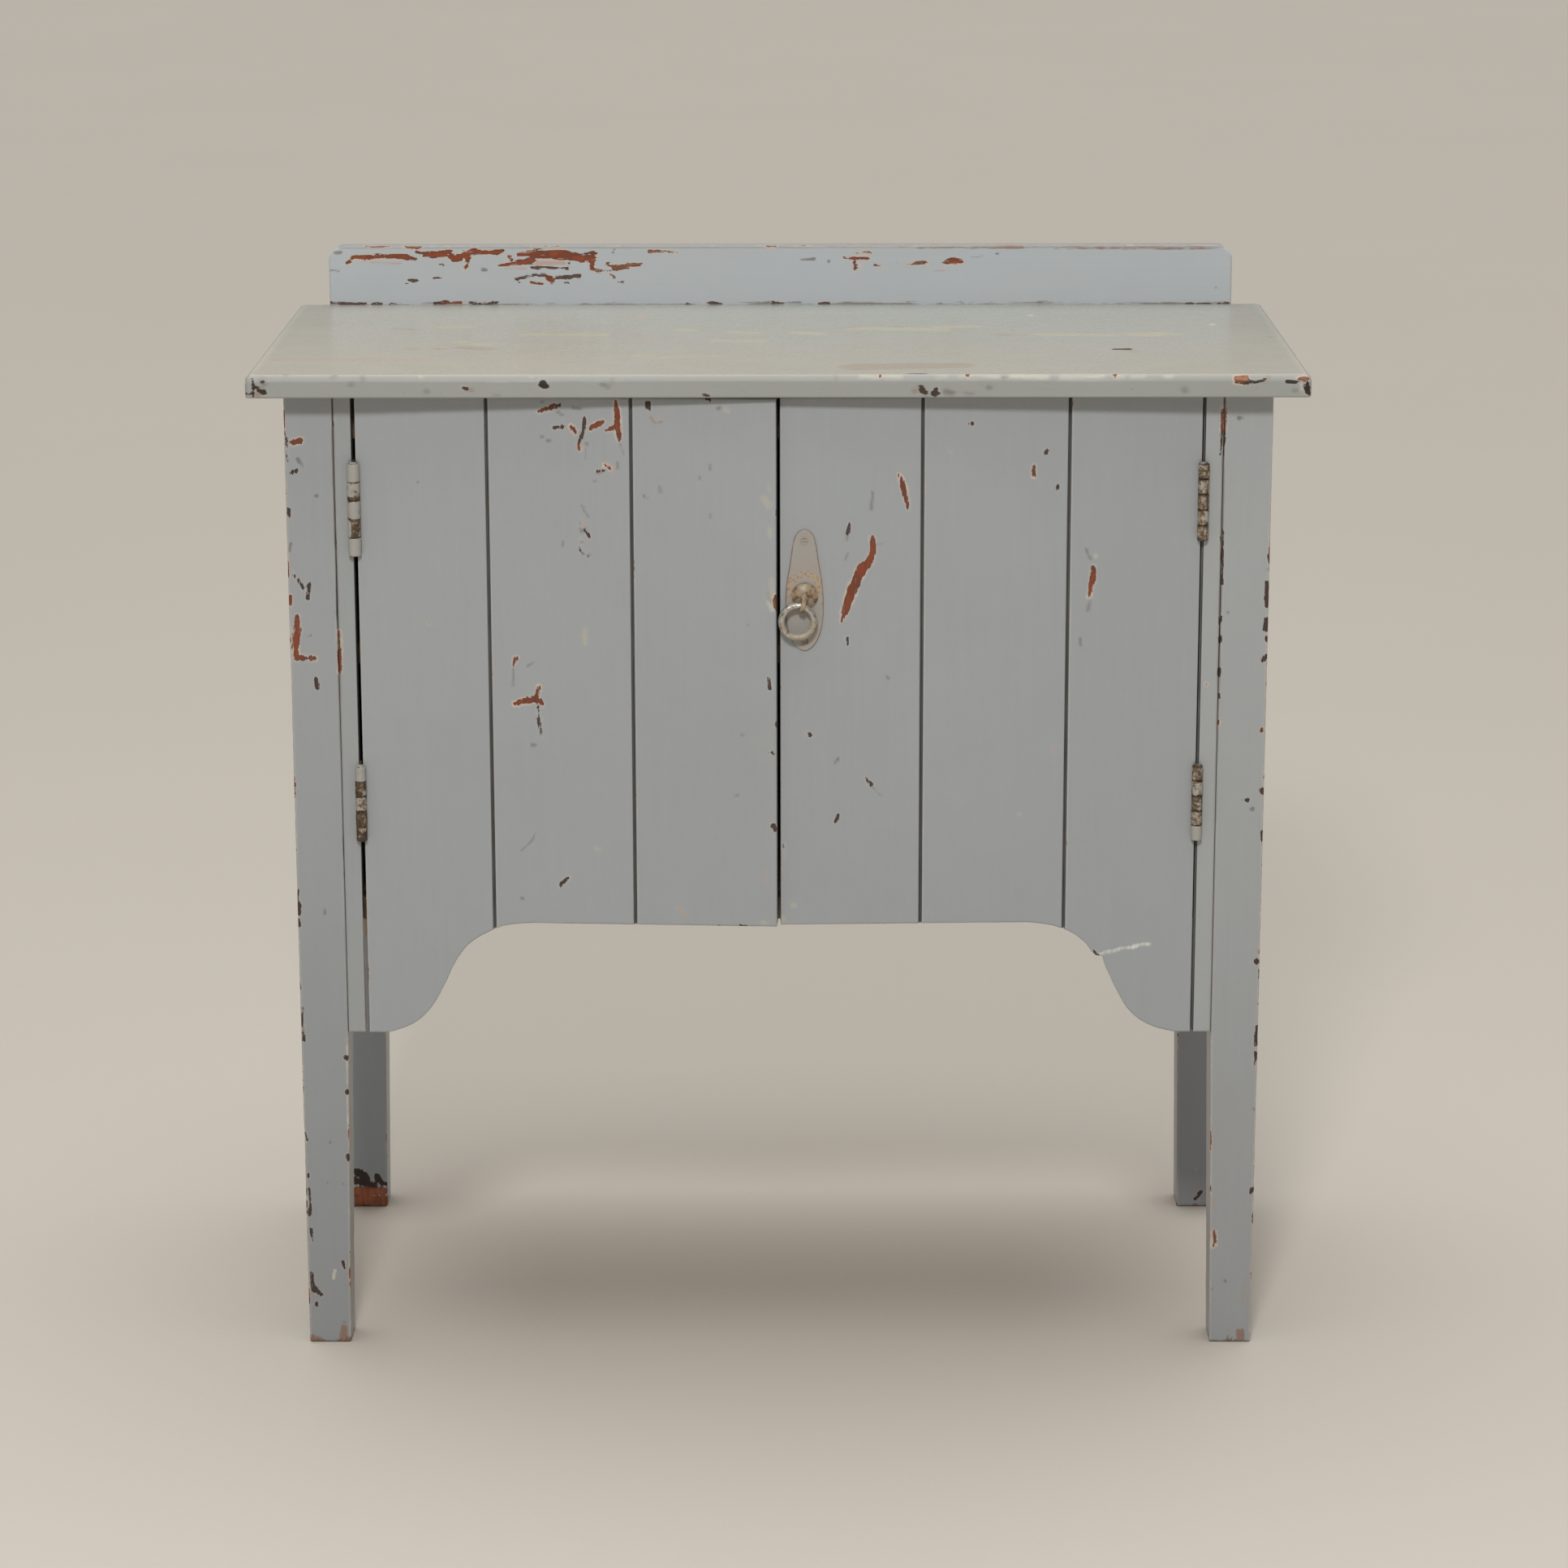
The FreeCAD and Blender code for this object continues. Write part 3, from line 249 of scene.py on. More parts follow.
        (363.3, 568.4, 363.3, 565, 1.1, 1.1, "D"), (363.1, 545, 363.1, 543, 1, 1, "R"),
        (377.7, 0.7, 391.7, -1.5, 1, 1, "G"),
    ],
    "stile_r": [
        (361.3, 807.1, 361.1, 788.4, 0.7, 1.5, "R"), (361.1, 788.4, 360.2, 768.4, 1.6, 1.1, "D"),
        (362.2, 707.9, 362.9, 660.6, 0.5, 0.5, "D"), (362.5, 633.4, 362, 626.6, 0.8, 0.8, "D"),
        (362.2, 616.4, 361.7, 611.6, 1.1, 1.1, "D"), (362.8, 589, 362.9, 584.2, 1.1, 1.1, "D"),
        (352.4, 576.7, 352.4, 576, 1.1, 1.1, "O"), (351.7, 320.7, 351.7, 320, 1, 1, "N"),
    ],
    "stile_l": [
        (-361.5, 621.7, -361.2, 606.6, 1, 1.7, "R"), (-361.2, 606.6, -361.7, 587.5, 2, 1.3, "R"),
        (-362.4, 715.3, -362.6, 681.5, 0.5, 0.5, "D"), (-361.5, 799.1, -361.7, 792.5, 0.9, 0.9, "D"),
    ],
    "dL_outer": [
        (-287, 629.8, -286.7, 629.2, 1.3, 1.3, "D"),
    ],
    "dL_middle": [
        (-194.6, 805.7, -186.6, 808.4, 1.3, 2.3, "R"), (-186.6, 808.4, -181.3, 811.1, 2, 1.3, "R"),
        (-181.3, 808.5, -177.3, 811.1, 1, 2, "D"), (-191.8, 813.7, -190.5, 813.7, 1.3, 1.3, "G"),
        (-176.1, 803.2, -174.8, 803.2, 1, 1, "G"), (-182.2, 792.5, -174.9, 793.2, 1.3, 1.7, "D"),
        (-167.6, 793.3, -163.7, 788.7, 1.7, 1.7, "R"), (-157, 800.7, -157.1, 790.7, 1, 1.7, "D"),
        (-157.1, 790.7, -161.2, 780.7, 1.7, 1.3, "D"), (-161.2, 780.7, -162.6, 776, 1.3, 0.7, "G"),
        (-155.9, 779.4, -154.6, 779.4, 1, 1, "G"), (-156.6, 775.4, -156.7, 767.4, 0.8, 0.7, "G"),
        (-151.8, 792.1, -147.1, 794.8, 1.3, 2.3, "R"), (-147.1, 794.8, -141.8, 797.5, 2.3, 1.7, "R"),
        (-131.1, 814.2, -130.5, 807.5, 1, 2.3, "R"), (-130.5, 807.5, -130, 790.9, 2.8, 2.8, "R"),
        (-130, 790.9, -128.7, 783, 2.7, 1.7, "R"), (-128.7, 783, -125.6, 771, 1.2, 0.5, "G"),
        (-138.6, 790.9, -132.6, 793.6, 1.3, 2, "R"), (-146.9, 756.8, -140.9, 757.5, 1, 1.3, "D"),
        (-140.9, 762.2, -136.9, 759.5, 1, 1.5, "R"), (-130.9, 763.6, -130.3, 759.6, 0.9, 0.9, "G"),
        (-192.9, 785.1, -191.6, 785.1, 1.3, 1.3, "G"), (-187, 781.8, -185, 781.8, 1.5, 1.5, "G"),
        (-149.7, 748.7, -148.3, 748.7, 1.2, 1.2, "G"), (-160.5, 728.5, -157.9, 726.5, 1, 0.8, "G"),
        (-156.6, 722.5, -154, 719.2, 1, 1.3, "G"), (-161.4, 713.7, -160, 713.7, 0.8, 0.8, "G"),
        (-161.5, 707, -158.8, 707.7, 1, 1, "G"), (-158.1, 708.4, -154.2, 703, 1, 1.5, "D"),
        (-160.9, 698.2, -159.6, 698.3, 1.2, 1.2, "G"), (-163, 692.8, -159.7, 688.1, 0.9, 0.9, "G"),
        (-155.7, 687.5, -154.4, 687.5, 1.5, 1.5, "G"), (-176.2, 698.8, -176.3, 694.7, 1.1, 0.9, "G"),
        (-215.8, 600.6, -217.9, 594.5, 1.7, 1, "R"), (-217.9, 594.5, -218.8, 577.3, 1, 1.3, "G"),
        (-206.5, 593.9, -201, 597.4, 1, 1.2, "G"), (-217, 562.3, -210.3, 564.4, 2, 2.7, "R"),
        (-210.3, 564.4, -200.2, 565.9, 2.7, 3.3, "R"), (-200.2, 565.9, -197.3, 576.9, 2.7, 1.3, "R"),
        (-197.5, 565.2, -194.2, 561.9, 2, 0.8, "R"), (-198.2, 560.4, -197.7, 550.1, 1, 1.3, "D"),
        (-197.7, 550.1, -197.1, 544.6, 2.3, 2.3, "D"), (-197.1, 544.6, -195.9, 534.3, 1.7, 0.7, "D"),
        (-203.5, 527.3, -201.4, 527.4, 1.7, 1.7, "G"), (-158.5, 625.8, -158.6, 614.2, 1.81, 2.2, "Y"),
        (-159.2, 619.7, -158.6, 618.3, 2.7, 2.7, "W"), (-213.6, 437, -205.4, 445.5, 0.9, 1.2, "G"),
        (-205.4, 445.5, -201.2, 453.2, 1, 0.7, "G"), (-181.5, 408.1, -176, 413.8, 1.7, 2.3, "D"),
        (-215, 395.7, -213.6, 395.7, 1.3, 1.3, "G"), (-151.3, 440, -149.3, 439.3, 1.81, 1.81, "Y"),
        (-159.2, 784, -162.5, 779.3, 1, 0.87, "S"), (-162.5, 779.3, -160.6, 775, 0.87, 0.74, "R"),
        (-159.9, 774.7, -156.6, 778.1, 0.67, 0.67, "P"), (-156.6, 780.1, -155.6, 778.1, 0.87, 0.87, "S"),
        (-166.1, 808.6, -158.9, 808, 1.34, 1.07, "G"), (-179.4, 805.2, -177.4, 805.2, 1.34, 1.34, "G"),
        (-134.9, 763.6, -132.6, 758.9, 0.67, 0.67, "P"), (-132.6, 758.9, -134.3, 754.2, 0.67, 0.6, "P"),
        (-138.9, 764.2, -135.6, 761.6, 0.67, 0.67, "P"), (-130.6, 764.3, -130, 759.6, 1.21, 1.07, "G"),
        (-141.6, 757.5, -146.3, 755.8, 1.07, 1.07, "S"), (-158.6, 725.2, -154, 719.2, 0.87, 1, "G"),
        (-162.1, 709.3, -159.1, 706.7, 1, 1, "G"), (-159.1, 706.7, -156.8, 709.7, 0.87, 1, "G"),
        (-160.9, 700.9, -160.2, 696.9, 0.74, 0.67, "D"), (-162.9, 694.9, -161.6, 691.5, 0.67, 0.67, "D"),
        (-161.6, 691.5, -158.4, 687.8, 0.67, 0.74, "D"), (-156.7, 688.9, -155.4, 686.2, 1, 0.94, "D"),
        (-160, 716.4, -159.4, 711.7, 1.07, 1.07, "N"),
    ],
    "dL_inner": [
        (-103.4, 804.5, -98.9, 798.5, 1, 1.1, "N"), (-98.9, 798.5, -92.3, 799.9, 1.1, 1, "N"),
        (-92.3, 799.9, -88.3, 805.9, 0.8, 0.5, "N"), (-96, 744.5, -95.4, 740.5, 1.2, 1.2, "G"),
        (-109.3, 737, -106.7, 735.1, 1.1, 1.1, "G"), (-54.9, 762.9, -54.9, 759.6, 1.1, 1.1, "G"),
        (-24.6, 764.6, -23.9, 761.9, 1.3, 1.3, "N"), (-11.4, 735.3, -7.5, 730.6, 3.3, 3.3, "W"),
        (-8.8, 748.7, -6.8, 742, 1.1, 1.1, "Y"), (-6.9, 710.5, -6.2, 705.2, 2.3, 2, "W"),
        (-0.9, 725.3, -0.9, 722.7, 1.2, 1.2, "D"), (-57.9, 817.4, -54.6, 816.1, 1.3, 1.3, "D"),
        (-48.7, 809.5, -47.4, 809.6, 1.3, 1.3, "G"), (-42.2, 808.3, -40.8, 807.6, 2, 2, "W"),
        (-5, 668.2, -4.4, 654.7, 2.4, 2.9, "W"), (-3.2, 653, -1.4, 645.2, 1.1, 1.7, "O"),
        (-1, 650, -0.4, 643.2, 1, 1.3, "D"), (-7.8, 586, -6.5, 577.8, 1.2, 1.7, "D"),
        (-6, 523.7, -4, 522.3, 1.5, 1.5, "D"), (-30.1, 538.5, -29.4, 537.8, 1.2, 1.2, "G"),
        (-35, 486.7, -33.6, 486.8, 1.2, 1.2, "G"), (-1.3, 549.2, -1.3, 545, 0.9, 0.9, "D"),
        (-4.1, 460.8, -2.8, 458.1, 2.1, 2.1, "D"), (-10.3, 421.1, -10.3, 412.1, 1.3, 1.3, "N"),
        (-31.4, 375.3, -26, 374, 1.3, 1.7, "D"), (-55.1, 373.6, -48.3, 373.7, 1, 1, "D"),
        (-21.2, 374.1, -19.9, 374.1, 1.2, 1.2, "D"), (-13.1, 377.7, -10.4, 377.1, 2.3, 2.3, "W"),
        (-63.6, 752.9, -63.6, 751.5, 1.1, 1.1, "G"), (-55.1, 722.1, -55.2, 719.5, 0.9, 0.9, "G"),
        (-84.1, 390, -77.4, 384.5, 2, 2, "N"), (-105.6, 812.7, -105.4, 809.4, 3.08, 2.95, "E"),
        (-102.8, 802.5, -100.2, 798.2, 0.94, 1.14, "S"), (-100.2, 798.2, -96.9, 797.5, 1.14, 0.87, "S"),
        (-96.9, 797.5, -92.3, 799.9, 0.8, 0.8, "S"), (-92.3, 799.9, -89.3, 803.9, 0.8, 0.67, "B"),
        (-8.3, 657.3, -5.7, 649.9, 2.01, 2.14, "B"), (-7, 649.9, -5, 643.1, 1.88, 1.61, "C"),
        # The Q mark here is painted shade along a chip's rim.
        (-3, 652.4, -2.4, 648.6, 1.3, 1.6, "O"), (-1.7, 655.5, -1.5, 651.5, 0.9, 0.9, "Q"),
        (-1.6, 647.5, -1.4, 644.6, 1.1, 0.9, "E"),
    ],
    "dR_inner": [
        (98.5, 753.4, 101.8, 743.4, 1, 2.7, "R"), (101.8, 743.4, 105.2, 729.9, 2.7, 1.7, "R"),
        (105.2, 729.9, 105.9, 725.2, 1.7, 0.7, "R"), (58.2, 713.5, 56.3, 705.4, 1, 1.7, "D"),
        (56.3, 705.4, 56.3, 700, 1.7, 1, "G"), (56.9, 688.6, 54.3, 683.2, 1, 1, "G"),
        (76.7, 738.9, 75.4, 725.5, 1.5, 1.5, "G"), (76.8, 701.2, 77.5, 689.8, 2, 2.7, "R"),
        (78.8, 695.2, 84.8, 696.5, 1, 0.7, "G"), (77.5, 689.8, 74.9, 681.7, 2.8, 3.3, "R"),
        (74.9, 681.7, 68.3, 676.3, 3.3, 4.2, "R"), (68.3, 676.3, 60.3, 658.1, 4.3, 4.4, "R"),
        (60.3, 658.1, 55.7, 642.6, 4.3, 3.3, "R"), (55.7, 642.6, 51.7, 632.4, 3, 1, "R"),
        (56.4, 618.1, 57.1, 612.6, 1.3, 1.3, "D"), (23.7, 538.3, 26.4, 536.2, 1.3, 1.9, "D"),
        (48.5, 516, 46.5, 512.6, 1.5, 1.5, "G"), (72.1, 499.9, 76.1, 493.7, 1.5, 1.9, "D"),
        (76.1, 493.7, 83.5, 484.6, 1.3, 0.8, "G"), (49.3, 467.6, 47.3, 462.7, 1.6, 1.5, "D"),
        (89.2, 585.1, 90.5, 583.7, 1.3, 1.3, "G"), (11.5, 391.2, 13.5, 390.5, 2.3, 2.3, "W"),
        (3.4, 380.8, 4.1, 377.9, 2.7, 2.7, "W"), (4.2, 443.7, 4.1, 429.7, 0.5, 0.5, "D"),
        # The Q marks are painted shade along the left rims of the red chips.
        (16.4, 550.7, 17.1, 550.1, 1.3, 1.3, "N"), (70.2, 681.7, 54.7, 651.4, 0.67, 0.87, "Q"),
        (54.7, 651.4, 52.4, 639.2, 0.87, 1.07, "Q"), (75.9, 701.2, 77.1, 688.4, 1.34, 0.87, "Q"),
        (69.7, 672.3, 64.3, 657.4, 0.67, 0.67, "Q"), (64.3, 657.4, 57.4, 643.2, 0.67, 0.6, "Q"),
        (76.5, 684.4, 72.9, 678.3, 0.87, 0.8, "Q"), (99.8, 750.8, 102.5, 739.3, 1.07, 1.61, "Q"),
        (103.8, 734, 105.2, 726.6, 1.07, 0.8, "Q"), (79.5, 695.8, 84.1, 696.5, 1.14, 0.74, "S"),
    ],
    "dR_middle": [
        (156.3, 795.1, 157.6, 795.1, 1.9, 1.9, "D"), (208.2, 760, 208.3, 752, 1.5, 1.6, "R"),
        (218.6, 772.6, 218, 770.6, 1.9, 1.9, "D"), (228.3, 743.8, 228.3, 741.1, 1.5, 1.5, "D"),
        (219.7, 690.7, 220.3, 690.7, 1.3, 1.3, "N"), (138.6, 772.5, 139.3, 771.9, 1.5, 1.5, "W"),
        (227.8, 522.7, 227.9, 519.9, 1.2, 1.2, "N"),
    ],
    "dR_outer": [
        (252.2, 690.5, 255, 683, 1.3, 1.6, "G"), (257.8, 675.5, 257.3, 664.7, 1.7, 2.7, "R"),
        (257.3, 664.7, 254.8, 651.2, 2.7, 1.3, "R"), (254.9, 647.1, 253.7, 639.6, 1.3, 1.7, "G"),
        (248, 615.8, 248.7, 610.4, 1.5, 1.5, "G"), (278.3, 312.9, 279, 312.2, 1.1, 1.1, "W"),
        (263.4, 348.5, 268.9, 342.7, 1, 1.2, "D"),
    ],
    "leg_rl": [
        (-395.6, 34.5, -388.9, 30.6, 3.8, 4.9, "E"), (-388.9, 30.6, -385.3, 24.2, 4.9, 4.5, "E"),
        (-376.1, 29.8, -374.7, 25.8, 3, 3.8, "E"), (-374.7, 25.8, -368, 21.8, 2.6, 2.4, "E"),
        (-397.3, 25.8, -379.3, 21, 3.8, 3.8, "E"), (-394.5, 14.7, -366.4, 15.2, 5.2, 3.6, "F"),
        (-394.7, 5.7, -364.6, 5.2, 6.8, 6.2, "F"), (-385.5, 12.7, -385.7, 6.7, 6, 6, "F"),
        (-362.1, 48.8, -362.1, 46.4, 1.5, 1.5, "D"),
    ],
    "leg_rr": [
        (384.3, 7.4, 390.2, 14.5, 1.9, 2.4, "D"), (384.4, 36.7, 385.2, 36, 1.5, 1.5, "Y"),
    ],
}

# ------------------------------------------------------------------ mesh helpers
def make_mesh(name, V, quads=None, tris=None, floats=None, colors=None, mats=(), mat_index=None,
              angle=40.0):
    me = bpy.data.meshes.new(name)
    V = np.asarray(V, np.float64)
    q = np.asarray(quads if quads is not None and len(quads) else np.zeros((0, 4)), np.int32).reshape(-1, 4)
    t = np.asarray(tris if tris is not None and len(tris) else np.zeros((0, 3)), np.int32).reshape(-1, 3)
    me.vertices.add(len(V))
    me.vertices.foreach_set("co", (V * MM).astype(np.float32).ravel())
    loops = np.concatenate([q.ravel(), t.ravel()])
    me.loops.add(len(loops))
    me.loops.foreach_set("vertex_index", loops)
    me.polygons.add(len(q) + len(t))
    starts = np.concatenate([np.arange(len(q)) * 4, len(q) * 4 + np.arange(len(t)) * 3]).astype(np.int32)
    me.polygons.foreach_set("loop_start", starts)
    if mat_index is not None:
        me.polygons.foreach_set("material_index", np.asarray(mat_index, np.int32))
    me.update(calc_edges=True)
    for k, a in (floats or {}).items():
        at = me.attributes.new(k, "FLOAT", "POINT")
        at.data.foreach_set("value", np.asarray(a, np.float32).ravel())
    for k, a in (colors or {}).items():
        at = me.attributes.new(k, "FLOAT_COLOR", "POINT")
        at.data.foreach_set("color", np.asarray(a, np.float32).ravel())
    for m in mats:
        me.materials.append(m)
    me.polygons.foreach_set("use_smooth", np.ones(len(me.polygons), bool))
    me.set_sharp_from_angle(angle=math.radians(angle))
    ob = bpy.data.objects.new(name, me)
    bpy.context.scene.collection.objects.link(ob)
    return ob


def door_matrix(side):
    p = Vector((side * PIN_X * MM, PIN_Y * MM, 0.0))
    return Matrix.Translation(p) @ Matrix.Rotation(AJAR[side], 4, "Z") @ Matrix.Translation(-p)


def place_piece(ob, body, replaces=(), door=0):
    if door:
        ob.matrix_world = door_matrix(door)
    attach(ob, body)
    if replaces:
        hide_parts(*replaces)
    return ob


def zipper(A, B, ta, tb):
    """Triangles between two chains of vertices that run the same way."""
    out, i, j = [], 0, 0
    na, nb = len(A) - 1, len(B) - 1
    while i < na or j < nb:
        if j == nb or (i < na and ta[i + 1] <= tb[j + 1]):
            t = (A[i], A[i + 1], B[j])
            i += 1
        else:
            t = (A[i], B[j + 1], B[j])
            j += 1
        if len(set(t)) == 3:
            out.append(t)
    return out


def smooth_noise(x, y, seed, n=7, lo=0.004, hi=0.03):
    """Smooth, repeatable unevenness from -1 to 1 over mm coordinates."""
    rng = np.random.RandomState(seed)
    out = np.zeros(np.broadcast(x, y).shape)
    for i in range(n):
        f = lo * (hi / lo) ** (i / max(1, n - 1))
        a = rng.uniform(0, 2 * math.pi)
        out = out + np.sin((x * math.cos(a) + y * math.sin(a)) * f * 2 * math.pi + rng.uniform(0, 7)) / (i + 1)
    return out / 2.2


def mark_fields(U, W, marks, reach=5.0):
    """Nearness to the marks at points U, W: reach minus the distance to their outline, and colours."""
    n = U.size
    U, W = U.ravel(), W.ravel()
    chip, stain = np.zeros(n), np.zeros(n)
    cc, sc = np.zeros((n, 4)), np.zeros((n, 4))
    cc[:, :3], cc[:, 3] = CHIP["R"], 1.0
    sc[:, :3] = STAIN["G"][0]
    for x1, z1, x2, z2, r1, r2, kind in marks:
        pad = max(r1, r2) + reach
        sel = np.nonzero((U > min(x1, x2) - pad) & (U < max(x1, x2) + pad)
                         & (W > min(z1, z2) - pad) & (W < max(z1, z2) + pad))[0]
        if not len(sel):
            continue
        bx, bz = x2 - x1, z2 - z1
        ll = max(1e-6, bx * bx + bz * bz)
        px, pz = U[sel] - x1, W[sel] - z1
        h = np.clip((px * bx + pz * bz) / ll, 0, 1)
        d = np.hypot(px - bx * h, pz - bz * h) - (0.9 * (r1 + (r2 - r1) * h) - {"D": 0.15, "E": 0.1, "G": 0.22}.get(kind, 0.0))
        m = np.clip(reach - d, 0, None)
        if kind in CHIP:
            hit = m > chip[sel]
            chip[sel[hit]] = m[hit]
            cc[sel[hit], :3] = CHIP[kind]
            cc[sel[hit], 3] = 0.7 if kind in "DE" else 1.0
        else:
            col, alpha = STAIN[kind]
            hit = m > stain[sel]
            stain[sel[hit]] = m[hit]
            sc[sel[hit], :3] = col
            sc[sel[hit], 3] = alpha
    return chip, cc, stain, sc


VEE_SIDE = [(0.0, 1.0), (0.0, 0.32), (0.18, 0.29), (0.18, None, 3.0), (0.75, None, 2.65), (1.1, None, 2.0),
            (1.3, None, 1.15), (1.5, None, 0.45), (1.8, None, 0.13), (2.4, None, 0.0), (3.1, None, 0.0)]
LIP_SIDE = [(0.0, 1.0), (0.0, None, 8.0), (0.0, None, 3.8), (0.25, None, 3.3), (1.2, None, 3.0), (1.55, None, 2.4),
            (1.62, None, 1.3), (1.72, None, 0.6), (1.95, None, 0.2), (2.4, None, 0.0), (3.1, None, 0.0)]
END_SIDE = [(0.0, 1.0), (0.0, None, 6.0), (0.0, None, 2.4), (0.0, None, 1.3), (0.1, None, 0.75), (0.3, None, 0.36),
            (0.65, None, 0.1), (1.2, None, 0.0), (2.0, None, 0.0)]
SOFT_SIDE = [(0.0, 1.0), (0.0, None, 6.0), (0.0, None, 3.0), (0.05, None, 2.0), (0.35, None, 1.15),
             (0.85, None, 0.5), (1.5, None, 0.12), (2.3, None, 0.0), (3.2, None, 0.0)]


def side_points(kind, t):
    return [(p[0], p[1] * t if p[1] is not None else p[2]) for p in kind]


def panel(u0, u1, t, left, right, zb, zt, du, dv, wavy=0.12, seed=1, notch=None, marks=None,
          ends=((0.0, 1.0), (0.35, 0.42), (0.9, 0.1), (1.8, 0.0)), rows=None, shift=0.0,
          top_ends=None, mark_u=None):
    """A board as a closed mesh: fine grid over its face and side arrises, coarse back.
    u across, w depth under the face, v along.  Returns u, w, v, quads, tris and fields."""
    L = side_points(left, t)
    R = side_points(right, t)
    ui, uj = u0 + L[-1][0], u1 - R[-1][0]
    k = max(2, int(round((uj - ui) / du)))
    mid = np.linspace(ui, uj, k + 1)[1:-1]
    cu = np.concatenate([[u0 + p[0] for p in L], mid, [u1 - p[0] for p in reversed(R)]])
    cw = np.concatenate([[p[1] for p in L], np.zeros(len(mid)), [p[1] for p in reversed(R)]])
    n = len(cu)
    # nearness to the side arrises, and depth into the grooves
    path = np.concatenate([[0], np.cumsum(np.hypot(np.diff(cu), np.diff(cw)))])
    def arris(side, prof, sign):
        best = min(range(len(prof)), key=lambda i: abs(prof[i][1] - (0.2 if side in "LR" else 0.45)))
        idx = best if sign > 0 else n - 1 - best
        return np.abs(path - path[idx])
    gl, gr = left in (VEE_SIDE, LIP_SIDE), right in (VEE_SIDE, LIP_SIDE)
    dl, dr = arris("L" if gl else "l", L, 1), arris("R" if gr else "r", R, -1)
    wl = 0.85 if gl else 1.0
    wr = 0.6 if gr else 1.0
    e_c = np.maximum(wl * np.exp(-dl / 1.3), wr * np.exp(-dr / 1.3))
    g_c = np.zeros(n)
    if gl:
        g_c = np.maximum(g_c, np.where(np.arange(n) < len(L), np.clip((cw - 0.1) / 1.2, 0, 1), 0))
    if gr:
        g_c = np.maximum(g_c, np.where(np.arange(n) >= n - len(R), np.clip((cw - 0.1) / 1.2, 0, 1), 0))
    # rows
    te = ends if top_ends is None else top_ends
    eb, ett = ends[-1][0], te[-1][0]
    zbc = np.array([zb(u) for u in cu])
    ztc = np.array([zt(u) for u in cu])
    if rows is None:
        m = max(2, int(round((float(np.max(ztc - zbc)) - eb - ett) / dv)))
        tau = np.linspace(0, 1, m + 1)[1:-1]
    else:
        tau = rows
    V_rows, dw = [], []
    for a, w in ends:
        V_rows.append(zbc + a)
        dw.append(w)
    for x in tau:
        V_rows.append(zbc + eb + (ztc - zbc - eb - ett) * x)
        dw.append(0.0)
    for a, w in reversed(te):
        V_rows.append(ztc - a)
        dw.append(w)
    v = np.array(V_rows)
    dw = np.array(dw)
    m = len(v)
    u = np.broadcast_to(cu, (m, n)).copy()
    w = np.maximum(cw[None, :], dw[:, None] * (cw[None, :] < t - 0.01))
    face = np.clip(1 - cw / 3.0, 0, 1)[None, :]
    w = w + wavy * face * smooth_noise(u, v * 0.35, seed) + shift * face
    w = np.clip(w, 0.0, t)
    de = np.minimum(v - v[0][None, :], v[-1][None, :] - v)
    e = np.maximum(e_c[None, :], np.exp(-de / 1.2) * (cw[None, :] < t * 0.9))
    g = np.broadcast_to(g_c, (m, n)).copy()
    if notch is not None:
        u, w = notch(u, w, v)
    idx = np.arange(m * n).reshape(m, n)
    quads = np.stack([idx[:-1, :-1], idx[:-1, 1:], idx[1:, 1:], idx[1:, :-1]], -1).reshape(-1, 4)
    # back
    nb = max(1, int((u1 - u0) / 9.0))
    bu = np.linspace(u0, u1, nb + 2)[1:-1]
    mb = max(2, int(float(np.max(ztc - zbc)) / 22.0))
    bt = np.linspace(0, 1, mb + 1)
    bzb = np.array([zb(x) for x in bu])
    bzt = np.array([zt(x) for x in bu])
    bv = bzb[None, :] + (bzt - bzb)[None, :] * bt[:, None]
    BU = np.broadcast_to(bu, bv.shape)
    base = m * n
    bidx = base + np.arange(bv.size).reshape(bv.shape)
    bq = np.stack([bidx[:-1, :-1], bidx[1:, :-1], bidx[1:, 1:], bidx[:-1, 1:]], -1).reshape(-1, 4)
    quads = np.concatenate([quads, bq]) if nb > 1 else quads
    tris = []
    def rel(col):
        return (col - col[0]) / (col[-1] - col[0])
    tris += zipper(list(idx[:, 0]), list(bidx[:, 0]), rel(v[:, 0]), rel(bv[:, 0]))
    tris += zipper(list(bidx[:, -1]), list(idx[:, -1]), rel(bv[:, -1]), rel(v[:, -1]))
    order = np.arange(n) * 1e-6
    for r, rb, flip in ((m - 1, -1, False), (0, 0, True)):
        A = list(idx[r])
        B = [idx[r, 0]] + list(bidx[rb]) + [idx[r, -1]]
        ta = np.maximum.accumulate(cu) + order
        tb = np.concatenate([[u0], bu, [u1 + 1.0]])
        ts = zipper(A, B, ta, tb)
        tris += [(a, c, b) for a, b, c in ts] if flip else ts
    U = np.concatenate([u.ravel(), BU.ravel()])
    W = np.concatenate([w.ravel(), np.full(bv.size, t)])
    Vv = np.concatenate([v.ravel(), bv.ravel()])
    floats = {"edge": np.concatenate([e.ravel(), np.zeros(bv.size)]),
              "groove": np.concatenate([g.ravel(), np.zeros(bv.size)])}
    colors = {}
    if marks:
        MU = U if mark_u is None else mark_u(U, W)
        chip, cc, stain, sc = mark_fields(MU, Vv, marks)
        keep = np.clip((5.0 - W) / 1.5, 0, 1)
        floats["chip"], floats["stain"] = chip * keep, stain * keep
        colors["chipc"], colors["stainc"] = cc, sc
    return U, W, Vv, quads, tris, floats, colors


